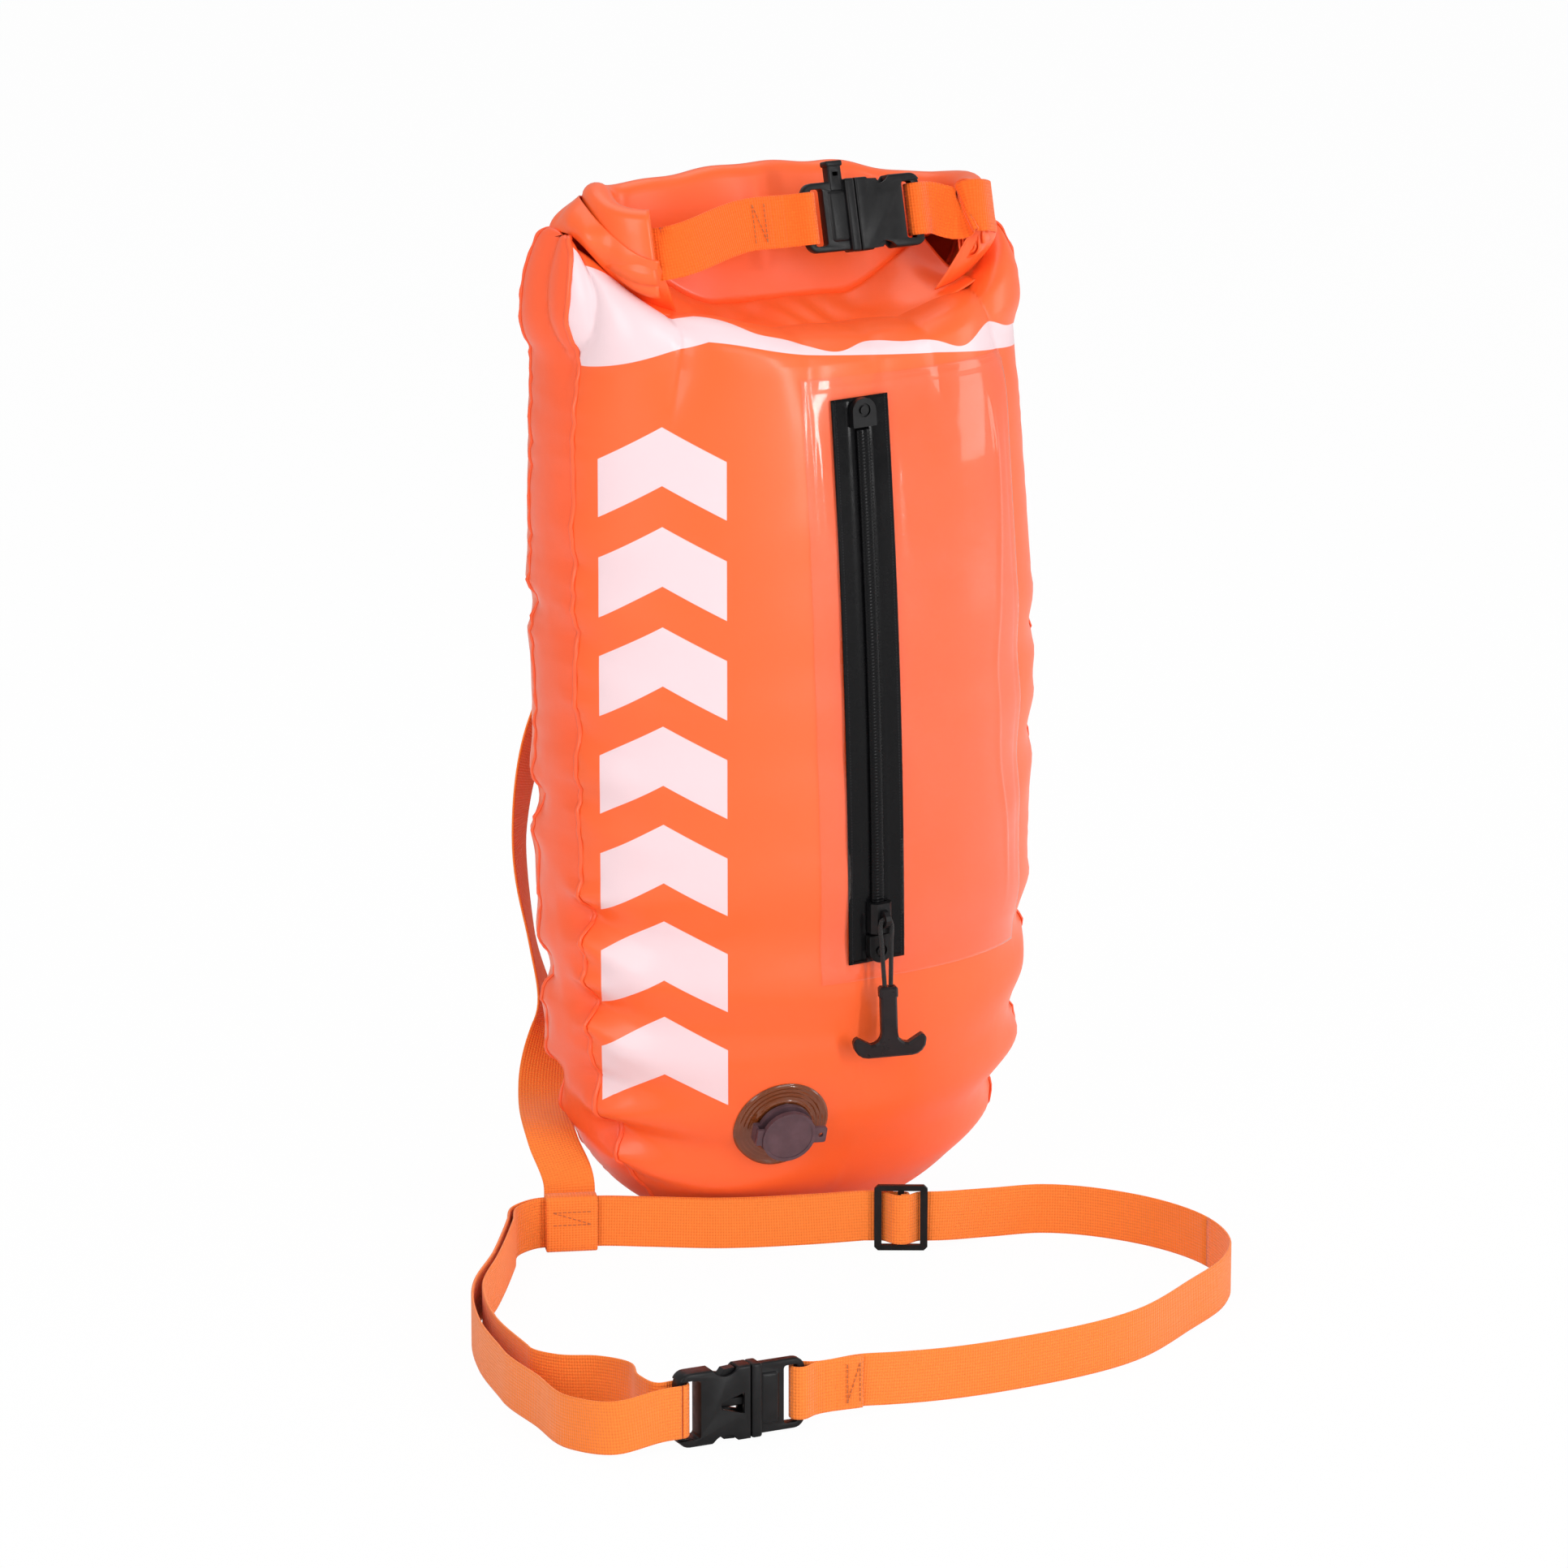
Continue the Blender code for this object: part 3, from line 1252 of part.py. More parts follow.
def handle_outline():
    """The handle from the front: a stem with a wider head over a bar with raised tips."""
    stem, head = HANDLE_STEM_WIDTH / 2, HANDLE_HEAD_WIDTH / 2
    tip = HANDLE_BAR_WIDTH / 2
    root = HANDLE_WAIST_HEIGHT - HANDLE_LENGTH
    half = [(head, 0), (head, -HANDLE_HEAD_LENGTH)]
    half.append((stem, -HANDLE_HEAD_LENGTH - (head - stem)))
    for step in range(HANDLE_STEPS + 1):
        angle = math.pi / 2 * step / HANDLE_STEPS
        x = stem + HANDLE_NECK * (1 - math.cos(angle))
        half.append((x, root + HANDLE_NECK * (1 - math.sin(angle))))
    half.append((tip - HANDLE_TIP_WIDTH, HANDLE_TIP_HEIGHT - HANDLE_LENGTH))
    half.append((tip, HANDLE_TIP_HEIGHT - HANDLE_LENGTH - HANDLE_TIP_WIDTH / 2))
    for step in range(HANDLE_STEPS + 1):
        angle = math.pi / 2 * step / HANDLE_STEPS
        x = tip - HANDLE_CORNER * (1 - math.cos(angle))
        half.append((x, HANDLE_CORNER * (1 - math.sin(angle)) - HANDLE_LENGTH))
    return half + [(-x, y) for x, y in reversed(half)]


def pocket_x(height):
    """The zip's middle line at a height."""
    share = (height - ZIP_BOTTOM) / (ZIP_TOP - ZIP_BOTTOM)
    return ZIP_BOTTOM_X + (ZIP_TOP_X - ZIP_BOTTOM_X) * share


def pocket_grid():
    """Columns across and heights up the pocket, with its zip opening in the second column."""
    half = ZIP_TAPE_WIDTH / 2 + WINDOW_GAP
    columns = [-POCKET_LEFT_REACH, -half]
    columns += [half + (POCKET_RIGHT_REACH - half) * share for share in POCKET_COLUMN_SHARES]
    low, high = ZIP_BOTTOM - WINDOW_END_GAP, ZIP_TOP + WINDOW_END_GAP
    heights = [POCKET_BOTTOM]
    heights += [low + (high - low) * step / POCKET_ROWS for step in range(POCKET_ROWS + 1)]
    heights.append(POCKET_TOP)
    return columns, heights


def make_pocket():
    """The clear pocket window, welded round the zip and out to the right-hand seam."""
    columns, heights = pocket_grid()
    rows, count = len(heights), len(columns)
    bm = bmesh.new()

    def layer(lift):
        made = []
        for h in heights:
            row = [front_point(pocket_x(h) + c, h, lift) for c in columns]
            made.append([bm.verts.new(point) for point in row])
        return made

    def solid(i, j):
        inside = 0 <= i < rows - 1 and 0 <= j < count - 1
        return inside and not (j == 1 and 0 < i < rows - 2)

    low, high = layer(CLEARANCE * 2), layer(CLEARANCE * 2 + POCKET_THICKNESS)
    for i, j in ((i, j) for i in range(rows - 1) for j in range(count - 1) if solid(i, j)):
        corners = ((i, j), (i, j + 1), (i + 1, j + 1), (i + 1, j))
        bm.faces.new([high[a][b] for a, b in corners])
        bm.faces.new([low[a][b] for a, b in reversed(corners)])
        for side, (di, dj) in enumerate(((-1, 0), (0, 1), (1, 0), (0, -1))):
            if not solid(i + di, j + dj):
                (a, b), (c, d) = corners[side], corners[(side + 1) % len(corners)]
                bm.faces.new((high[c][d], high[a][b], low[a][b], low[c][d]))
    place_mesh("pocket_window", bm, material("clear_film", CLEAR_FILM, 0.1))


def valve_frame():
    """The valve's frame: x to the right, y up the skin, z out of the bag."""
    place = front_point(VALVE_X, VALVE_Z)
    normal = (front_point(VALVE_X, VALVE_Z, FLANGE_THICKNESS) - place).normalized()
    right = Vector((1, 0, 0))
    right = (right - normal * right.dot(normal)).normalized()
    up = normal.cross(right)
    turn = Matrix((right, up, normal)).transposed().to_4x4()
    return Matrix.Translation(place) @ turn


def skin_disc(inner, outer, lift):
    """Rings of points that lie on the bag's skin round the valve."""
    frame = valve_frame()
    rings = []
    for share in FLANGE_RING_SHARES:
        radius = inner + (outer - inner) * share
        ring = []
        for step in range(ROUND_STEPS):
            angle = 2 * math.pi * step / ROUND_STEPS
            flat = frame @ Vector((radius * math.cos(angle), radius * math.sin(angle), 0))
            ring.append(front_point(flat.x, flat.z, lift))
        rings.append(ring)
    return rings


def make_valve():
    """The one-way valve: flange, neck, diaphragm, collar and hinged cap."""
    frame = valve_frame()
    brown = material("valve_plastic", BROWN_VALVE, 0.3)
    inner = NECK_OUTER_RADIUS + CLEARANCE
    low = skin_disc(inner, FLANGE_RADIUS, CLEARANCE)
    high = skin_disc(inner, FLANGE_RADIUS, CLEARANCE + FLANGE_THICKNESS)
    flange = material("valve_flange", FLANGE_BROWN, 0.2)
    place_mesh("valve_flange", sheet_mesh(high, low, around=True), flange)
    make_neck(frame, brown)
    make_collar(frame, brown)
    make_cap(frame, brown)


def make_neck(frame, brown):
    """The valve's neck with the seat that its diaphragm closes on."""
    seat_top = NECK_SEAT_HEIGHT + NECK_SEAT_THICKNESS
    neck = (
        (NECK_BORE_RADIUS, 2 * CLEARANCE), (NECK_OUTER_RADIUS, 2 * CLEARANCE),
        (NECK_OUTER_RADIUS, NECK_HEIGHT), (NECK_BORE_RADIUS, NECK_HEIGHT),
        (NECK_BORE_RADIUS, seat_top), (NECK_SEAT_BORE, seat_top),
        (NECK_SEAT_BORE, NECK_SEAT_HEIGHT), (NECK_BORE_RADIUS, NECK_SEAT_HEIGHT),
    )
    place_mesh("valve_neck", lathe_mesh(neck, frame), brown)
    top = NECK_SEAT_HEIGHT - CLEARANCE
    low = top - DIAPHRAGM_THICKNESS
    disc = ((0, low), (DIAPHRAGM_RADIUS, low), (DIAPHRAGM_RADIUS, top), (0, top))
    silicone = material("silicone", SILICONE, 0.4)
    place_mesh("valve_diaphragm", lathe_mesh(disc, frame), silicone, frame.translation)


def make_collar(frame, brown):
    """The collar round the neck, whose post carries the cap's strap."""
    bore = NECK_OUTER_RADIUS + CLEARANCE
    top = COLLAR_BASE + COLLAR_HEIGHT
    ring = ((bore, COLLAR_BASE), (COLLAR_RADIUS, COLLAR_BASE), (COLLAR_RADIUS, top), (bore, top))
    collar = place_mesh("valve_collar", lathe_mesh(ring, frame), brown)
    half, far = CAP_TAB_WIDTH / 2, -CAP_HINGE_REACH
    near = -(bore + COLLAR_RADIUS) / 2
    stub = box_mesh((far, -half, COLLAR_BASE), (near, half, top), frame)
    combine(collar, place_mesh("valve_collar_strap", stub, brown), "UNION")
    low, high = (far, -half, COLLAR_BASE + CLEARANCE), (far + STRAP_POST, half, COLLAR_HINGE_TOP)
    combine(collar, place_mesh("valve_collar_post", box_mesh(low, high, frame), brown), "UNION")


def make_cap(frame, brown):
    """The cap: its plug, rim, strap over the hinge and lifting tab with a hole."""
    low = NECK_HEIGHT + CLEARANCE
    high = low + CAP_THICKNESS
    flat = low + CAP_STRAP_THICKNESS
    half, far = CAP_TAB_WIDTH / 2, -CAP_HINGE_REACH
    hinge = frame @ Vector((far, 0, (COLLAR_HINGE_TOP + low) / 2))
    swing = pivot_empty("valve_cap_hinge", hinge)
    plug = low - PLUG_LENGTH
    profile = (
        (0, plug), (PLUG_RADIUS - CLEARANCE, plug), (PLUG_RADIUS, low), (CAP_RADIUS, low),
        (CAP_RADIUS, high - CAP_CHAMFER), (CAP_RADIUS - CAP_CHAMFER, high), (0, high),
    )
    cap = place_mesh("valve_cap", lathe_mesh(profile, frame), brown, hinge, swing)
    hole_x = (CAP_RADIUS + CAP_TAB_REACH) / 2
    below, above = low - CUT_OVERRUN, high + CUT_OVERRUN
    hole = ((0, below), (CAP_TAB_HOLE, below), (CAP_TAB_HOLE, above), (0, above))
    centre = frame @ Matrix.Translation((hole_x, 0, 0))
    tools = (
        ("strap", box_mesh((far, -half, low), (-CAP_RADIUS / 2, half, flat), frame), "UNION"),
        ("tab", box_mesh((CAP_RADIUS / 2, -half, low), (CAP_TAB_REACH, half, flat), frame), "UNION"),
        ("hole_cutter", lathe_mesh(hole, centre), "DIFFERENCE"),
    )
    for name, bm, operation in tools:
        combine(cap, place_mesh(f"valve_cap_{name}", bm, brown, hinge, swing), operation)


def make_leash():
    """The tow leash: a patch on the back, its webbing and the loop round the belt."""
    webbing = material("webbing", ORANGE_WEBBING, 0.7)
    make_leash_patch()
    low_z, high_z = PATCH_Z - PATCH_LENGTH / 2, PATCH_Z + PATCH_LENGTH / 2
    lift = CLEARANCE * 2 + PATCH_THICKNESS + WEBBING_THICKNESS / 2
    anchor = [front_point(PATCH_X, z, lift, 1) for z in (high_z - LEASH_INSET, PATCH_Z)]
    anchor.append(front_point(PATCH_X, low_z, lift + LEASH_LEAVE, 1))
    frame = leash_loop_frame()
    behind = -(LEASH_LOOP_HALF + WEBBING_THICKNESS + CLEARANCE + WEBBING_THICKNESS / 2)
    loop_top = WEBBING_WIDTH / 2 + LOOP_ROOM + WEBBING_THICKNESS
    lap = LEASH_LAP / 2
    sewn = [frame @ Vector((0, behind, z)) for z in (lap, 0, -lap)]
    before = frame @ Vector((0, behind - LEASH_LEAVE, loop_top + LEASH_INSET / 2))
    points = anchor + [Vector(point) for point in LEASH_ROUTE] + [before] + sewn
    route = smooth_route(points, LEASH_STEPS)
    ways = leash_ways(route, frame.to_3x3() @ Vector((1, 0, 0)))
    place_mesh("leash_strap", strap_mesh(route, ways, WEBBING_WIDTH, WEBBING_THICKNESS), webbing)
    make_leash_loop(frame, webbing)


def make_leash_patch():
    """The patch welded to the back, which the leash is sewn to."""
    low_z, high_z = PATCH_Z - PATCH_LENGTH / 2, PATCH_Z + PATCH_LENGTH / 2
    left = PATCH_X - PATCH_WIDTH / 2
    top, bottom = [], []
    for row in range(PATCH_STEPS + 1):
        z = low_z + (high_z - low_z) * row / PATCH_STEPS
        places = [left + PATCH_WIDTH * c / PATCH_STEPS for c in range(PATCH_STEPS + 1)]
        bottom.append([front_point(x, z, CLEARANCE, 1) for x in places])
        top.append([front_point(x, z, CLEARANCE + PATCH_THICKNESS, 1) for x in places])
    finish = material("shell_fabric", ORANGE_SHELL, 0.45)
    place_mesh("leash_patch", sheet_mesh(top, bottom), finish)


def leash_ways(route, lower_way):
    """The way of the leash's width: flat to the bag above, along the belt below."""
    ways = []
    for i, point in enumerate(route):
        along = (route[min(i + 1, len(route) - 1)] - route[max(i - 1, 0)]).normalized()
        reach = half_width(point.z) * LEASH_NORMAL_SHARE
        x = min(max(point.x, sway(point.z) - reach), sway(point.z) + reach)
        outward = front_point(x, point.z, PATCH_THICKNESS, 1) - front_point(x, point.z, 0, 1)
        upper_way = outward.cross(along).normalized()
        if upper_way.dot(lower_way) < 0:
            upper_way = -upper_way
        share = (LEASH_TWIST_TOP - point.z) / (LEASH_TWIST_TOP - LEASH_TWIST_FOOT)
        share = min(max(share, 0), 1)
        ways.append(upper_way.lerp(lower_way, share * share * (3 - 2 * share)))
    return ways


def leash_loop_frame():
    """The loop's frame on the belt: x along the belt, z up."""
    first, second = (Vector(point) for point in LOOP_SPAN)
    along = (second - first)
    along.z = 0
    along.normalize()
    across = Vector((0, 0, 1)).cross(along)
    turn = Matrix((along, across, Vector((0, 0, 1)))).transposed().to_4x4()
    middle = (first + second) / 2
    middle.z = LOOP_HEIGHT
    return Matrix.Translation(middle) @ turn


def make_leash_loop(frame, webbing):
    """The sewn end of the leash, a flat ring of webbing round both layers of the belt."""
    rings = []
    for inner in (True, False):
        grow = 0 if inner else WEBBING_THICKNESS
        half_y = LEASH_LOOP_HALF + grow
        half_z = WEBBING_WIDTH / 2 + LOOP_ROOM + grow
        outline = []
        flat = math.sin(math.pi / 2 * (LOOP_STEPS - 0.5) / LOOP_STEPS) ** LOOP_ROUND_SHARE
        for step in range(LOOP_STEPS * 4):
            angle = math.pi / 2 * (step + 0.5) / LOOP_STEPS
            c, s = math.cos(angle), math.sin(angle)
            y = half_y * math.copysign(abs(c) ** LOOP_ROUND_SHARE, c) / flat
            z = half_z * math.copysign(abs(s) ** LOOP_ROUND_SHARE, s) / flat
            outline.append((y, z))
        rings.append(outline)
    top, bottom = [], []
    for x in (-WEBBING_WIDTH / 2, WEBBING_WIDTH / 2):
        bottom.append([frame @ Vector((x, y, z)) for y, z in rings[0]])
        top.append([frame @ Vector((x, y, z)) for y, z in rings[1]])
    place_mesh("leash_loop", sheet_mesh(top, bottom, around=True), webbing)


def tri_glide_frame():
    x, y = TRI_GLIDE_PLACE
    place = Matrix.Translation((x, y, TRI_GLIDE_WIDTH / 2))
    return place @ Matrix.Rotation(TRI_GLIDE_TURN, 4, "Z")


def make_tri_glide():
    """The strap adjuster: a flat frame with two slots and a bar between them."""
    frame = tri_glide_frame()
    plastic = material("black_plastic", BLACK_PLASTIC, 0.35)
    half, tall = TRI_GLIDE_LENGTH / 2, TRI_GLIDE_WIDTH / 2
    corner = TRI_GLIDE_BAR / 2
    corners = ((-half, tall - corner), (-half + corner, tall))
    outline = mirrored(corners + tuple((-x, z) for x, z in reversed(corners)))
    thick = TRI_GLIDE_THICKNESS / 2
    empty = pivot_empty("tri_glide_slide", frame.translation)
    plate = prism_mesh(outline, -thick, thick, frame)
    glide = place_mesh("tri_glide", plate, plastic, frame.translation, empty)
    inner, middle = half - TRI_GLIDE_BAR, TRI_GLIDE_MIDDLE_BAR / 2
    for side in (-1, 1):
        low, high = sorted((side * middle, side * inner))
        bm = box_mesh((low, -tall, -SLOT_WIDTH / 2), (high, tall, SLOT_WIDTH / 2), frame)
        cutter = place_mesh("tri_glide_slot_cutter", bm, plastic, frame.translation, empty)
        combine(glide, cutter, "DIFFERENCE")


def pair_layers():
    """The two layers of the doubled belt, to each side of their common centre line."""
    centre = smooth_route([point[:3] for point in BELT_PAIR_ROUTE], BELT_STEPS)
    outer, inner = [], []
    for i, point in enumerate(centre):
        along = centre[min(i + 1, len(centre) - 1)] - centre[max(i - 1, 0)]
        side = Vector((along.y, -along.x, 0)).normalized()
        first, second = BELT_PAIR_ROUTE[i // BELT_STEPS], BELT_PAIR_ROUTE[-1]
        if i // BELT_STEPS + 1 < len(BELT_PAIR_ROUTE):
            second = BELT_PAIR_ROUTE[i // BELT_STEPS + 1]
        share = (i % BELT_STEPS) / BELT_STEPS
        half = (first[3] + (second[3] - first[3]) * share) / 2
        outer.append(point + side * half)
        inner.append(point - side * half)
    return outer, inner


def adjuster_levels():
    """How far the belt's two layers lie behind and before the adjuster's plate."""
    behind = TRI_GLIDE_THICKNESS / 2 + CLEARANCE + WEBBING_THICKNESS / 2
    return behind, behind + WEBBING_THICKNESS + FOLD_GAP


def adjuster_weave():
    """The belt through both slots of the adjuster, over its middle bar."""
    behind, before = adjuster_levels()
    slot_edge, ledge = TRI_GLIDE_LENGTH / 2 - TRI_GLIDE_BAR, TRI_GLIDE_LENGTH / 2
    turn = TRI_GLIDE_MIDDLE_BAR / 2 + WEBBING_THICKNESS
    half = [(ledge, behind), (slot_edge, behind), (turn, -before + FOLD_GAP), (turn / 2, -before)]
    weave = half + [(-x, y) for x, y in reversed(half)]
    return [tri_glide_frame() @ Vector((x, y, 0)) for x, y in weave]


def adjuster_hook():
    """The end of the belt's return, sewn round the adjuster's middle bar."""
    behind, before = adjuster_levels()
    slot_edge, ledge = TRI_GLIDE_LENGTH / 2 - TRI_GLIDE_BAR, TRI_GLIDE_LENGTH / 2
    turn = TRI_GLIDE_MIDDLE_BAR / 2 + WEBBING_THICKNESS
    corner = TRI_GLIDE_MIDDLE_BAR / 2
    near, far = corner + behind * DIAGONAL_SHARE, behind * DIAGONAL_SHARE
    hook = [(-ledge, before), (-slot_edge, before), (-turn, behind), (corner, behind)]
    hook += [(near, far), (near, -far), (corner, -behind), (0, -behind)]
    return [tri_glide_frame() @ Vector((x, y, 0)) for x, y in hook]


def place_belt(name, route):
    """A belt webbing on its edge along a route."""
    ways = [Vector((0, 0, 1))] * len(route)
    bm = strap_mesh(route, ways, WEBBING_WIDTH, WEBBING_THICKNESS)
    place_mesh(name, bm, material("webbing", ORANGE_WEBBING, 0.7))


def make_belt():
    """The waist belt: from the male half through the adjuster to the socket, and back."""
    frame = belt_frame()
    near = (WEBBING_THICKNESS + FOLD_GAP) / 2
    fold = folded_end(frame, male_bar(), 1, LONG_TAIL)
    fold.append(frame @ Vector((male_bar() - FOLD_REACH - LONG_TAIL, -near, 0)))
    outer, inner = pair_layers()
    weave = adjuster_weave()
    wrap = bar_wrap(frame, female_bar(), -1)
    reach = female_bar() + FOLD_REACH
    arrive, leave = [frame @ Vector((reach, y, 0)) for y in (-WRAP_RADIUS, WRAP_RADIUS)]
    first = fold + [Vector(point) for point in BELT_MAIN_ROUTE] + weave[:2]
    inward = [Vector(point) for point in BELT_INNER_ROUTE]
    last = smooth_route(inner[-2:] + inward + [arrive] + wrap, BELT_STEPS)
    place_belt("belt_webbing", smooth_route(first, BELT_STEPS)[:-1] + weave[1:] + inner[:-2] + last)
    start = wrap[-1] + (wrap[-1] - wrap[-2]).normalized() * SEAM_GAP
    outward = [Vector(point) for point in reversed(BELT_OUTER_ROUTE)]
    back = list(reversed(outer))
    first = smooth_route([start, leave] + outward + back[:2], BELT_STEPS)
    place_belt("belt_return", first[:-1] + back[1:] + adjuster_hook())


def main():
    clear_scene()
    make_bag()
    make_rolled_mouth()
    make_stiffener()
    make_closure_straps()
    make_buckle("closure_buckle", closure_frame(), whistle=True)
    make_pocket()
    make_zip()
    make_valve()
    make_leash()
    make_tri_glide()
    make_buckle("belt_buckle", belt_frame(), whistle=False)
    make_belt()


main()
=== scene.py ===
"""Open water swim buoy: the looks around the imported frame, laid out as a Blender add-on.

Metres, +Z up. The bag stands on its base at z = 0 and its pocket faces -Y.
"""
import math

import bmesh
import bpy
import numpy as np
from bpy.props import FloatProperty, FloatVectorProperty, PointerProperty
from mathutils import Matrix, Vector


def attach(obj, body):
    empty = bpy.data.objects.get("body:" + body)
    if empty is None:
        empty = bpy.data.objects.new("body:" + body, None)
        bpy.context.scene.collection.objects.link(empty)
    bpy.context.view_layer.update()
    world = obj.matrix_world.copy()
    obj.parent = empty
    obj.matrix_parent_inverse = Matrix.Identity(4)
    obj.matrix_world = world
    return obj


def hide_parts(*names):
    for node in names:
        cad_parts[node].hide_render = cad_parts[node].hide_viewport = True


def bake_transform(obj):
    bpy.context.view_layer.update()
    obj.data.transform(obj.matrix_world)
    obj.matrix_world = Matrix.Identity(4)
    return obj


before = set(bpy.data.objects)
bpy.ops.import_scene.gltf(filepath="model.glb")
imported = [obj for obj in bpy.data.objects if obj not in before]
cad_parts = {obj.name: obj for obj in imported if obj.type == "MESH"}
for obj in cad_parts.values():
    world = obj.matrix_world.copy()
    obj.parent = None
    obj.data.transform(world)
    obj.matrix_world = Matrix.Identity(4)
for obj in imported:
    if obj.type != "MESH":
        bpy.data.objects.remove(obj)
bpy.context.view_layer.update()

bl_info = {
    "name": "Swim Buoy",
    "version": (1, 0, 0),
    "blender": (4, 5, 0),
    "location": "3D View > Sidebar > Swim Buoy",
    "description": "Builds an inflated swim buoy with its pocket, valve, buckles and belt",
    "category": "Add Mesh",
}

# ---- The bag's form, as in the solids ----
BAG_HALF_WIDTH = 0.13
BAG_HALF_DEPTH = 0.086
SECTION_POWER = 2.2
BULGE_RADIUS = 2.4
BULGE_HEIGHT = 0.275
SIDE_CORNER_RISE = 0.105
FRONT_CORNER_RISE = 0.135
CORNER_POWER = 2.5
BASE_CUT = 0.004
SHOULDER_START = 0.44
LIP_HEIGHT = 0.463
SIDE_RISE = 0.035
RISE_POWER = 5
RISE_LEAN = 0.18
GUSSET_HALF_WIDTH = 0.022
GUSSET_FULL_DEPTH = BAG_HALF_DEPTH * 0.72
FABRIC_THICKNESS = 0.0006
SWAY = 0.007
SWAY_START = 0.24
LIP_ROWS = (
    (0.99, 0.878, 0.976, 0.16, 2.3),
    (0.978, 0.78, 0.993, 0.42, 2.5),
    (0.95, 0.64, 1.0, 0.72, 2.8),
    (0.92, 0.48, 0.998, 0.96, 3.2),
    (0.866, 0.33, 0.99, 1.0, 4.0),
    (0.806, 0.205, 0.981, 0.62, 5.0),
)
NECK_HALF_WIDTH = 0.097
NECK_POWER = 7.0
GAP = 0.0003

# The rolled mouth
ROLL_CENTRE_Y = 0.0066
ROLL_CENTRE_Z = 0.4885
ROLL_TILT = math.radians(14)
ROLL_RADIUS = 0.0066
ROLL_PITCH = 0.0022
ROLL_SHEET = 0.0011
ROLL_STRAIGHT_HALF = 0.074
ROLL_BEND_RADIUS = 0.025
ROLL_BEND_ANGLE = math.radians(150)
ROLL_HALF_TURNS = 5
ROLL_MIDDLE_BAND = (-0.034, 0.034)
ROLL_LEFT_BEND, ROLL_LEFT_END = (-0.003, 0.03), (-0.028, 0.014)
ROLL_RIGHT_BEND, ROLL_RIGHT_END = (-0.008, 0.021), (-0.0235, 0.0165)

# Webbing and buckles
WEBBING_WIDTH = 0.025
WEBBING_THICKNESS = 0.0013
FOLD_GAP = 0.0005
WRAP_RADIUS = 0.0042
FOLD_REACH = 0.0075
LONG_TAIL = 0.024
SHORT_TAIL = 0.003
LAYER_OFFSET = (WEBBING_THICKNESS + FOLD_GAP) / 2
# The length of webbing in a long sewn end, which moves as one with its buckle
SEWN_LENGTH = 2 * (FOLD_REACH + LONG_TAIL) + 0.016
SOCKET_SIZE = (0.036, 0.0175, 0.00475)
PLUG_SIZE = (0.028, 0.0167, 0.0025)
# The webbing bar's thickness, the slot's far edge and half its length
BUCKLE_BAR, SLOT_END, SLOT_HALF = 0.0038, 0.0108, 0.01375
MALE_BAR = -PLUG_SIZE[0] + BUCKLE_BAR / 2
FEMALE_BAR = SOCKET_SIZE[0] - BUCKLE_BAR / 2
BUCKLE_WIDTH = 0.035
CLOSURE_PLACE = (0.0245, 0.0455, 0.003)
STRAP_CORE = (0.0065, -0.0003, 0.004)
STRAP_WRAP = ((0.005, -0.001, -0.0008), (0.0055, -0.0048, 0.0014), (0.0016, -0.0094, 0.0014),
              (-0.006, -0.0098, 0.0008), (-0.02, -0.0096, -0.0008))
BELT_BUCKLE_MOUTH = (-0.188, -0.2925)
BELT_BUCKLE_TURN = math.radians(176)

# Zip and pocket
ZIP_TOP, ZIP_BOTTOM = 0.424, 0.146
ZIP_TOP_X, ZIP_BOTTOM_X = -0.0065, 0.0035
ZIP_TAPE_WIDTH = 0.031
ZIP_LIFT = 0.0006
TAPE_THICKNESS = 0.0009
CHAIN_LEVEL = ZIP_LIFT + TAPE_THICKNESS + GAP
COIL_HALF, COIL_RISE = 0.0035, 0.0022
GARAGE_LENGTH = 0.014
SLIDER_REST = 0.169
SLIDER_HEIGHT = 0.0062
BAIL_BORE = 0.003
PULL_CORD_DIAMETER = 0.0022
PULL_CORD_LENGTH = 0.033
PULL_CORD_SPREAD = 0.0028
CORD_BEND = ((0.0023, -0.0005), (0.0015, 0.0))
CORD_SIDES = ((0.62, 1.0), (0.8, 0.66), (0.97, 0.33), (1.0, 0.05))
POCKET_TOP, POCKET_BOTTOM = 0.434, 0.137
POCKET_LEFT, POCKET_RIGHT = 0.03, 0.096
POCKET_THICKNESS = 0.0007
POCKET_COLUMNS = (22, 84)

# Valve
VALVE_X, VALVE_Z = -0.0403, 0.0653
FLANGE_BORE, FLANGE_RADIUS = 0.0103, 0.024
HINGE_PLACE, STRAP_HALF = -0.0165, 0.00425
COLLAR_LOW, COLLAR_HIGH = 0.003, 0.0056
CAP_LOW, CAP_HIGH = 0.0088, 0.0114

# Leash
PATCH = (0.056, 0.044, 0.001)
PATCH_X, PATCH_Z = -0.052, 0.33
LEASH_INSET = 0.006
LEASH_LEAVE = 0.0015
LEASH_LAP = 0.017
LEASH_LOOP_HALF = 0.0038
LOOP_ROOM = 0.0004
LOOP_HEIGHT = 0.0146
LOOP_SPAN = ((-0.114, -0.0175), (-0.14, -0.0071))
LEASH_ROUTE = (
    (-0.062, 0.085, 0.29), (-0.08, 0.081, 0.262), (-0.099, 0.077, 0.23),
    (-0.108, 0.074, 0.19), (-0.1005, 0.0765, 0.135), (-0.0925, 0.0745, 0.09),
    (-0.106, 0.055, 0.064), (-0.124, 0.011, 0.049),
)

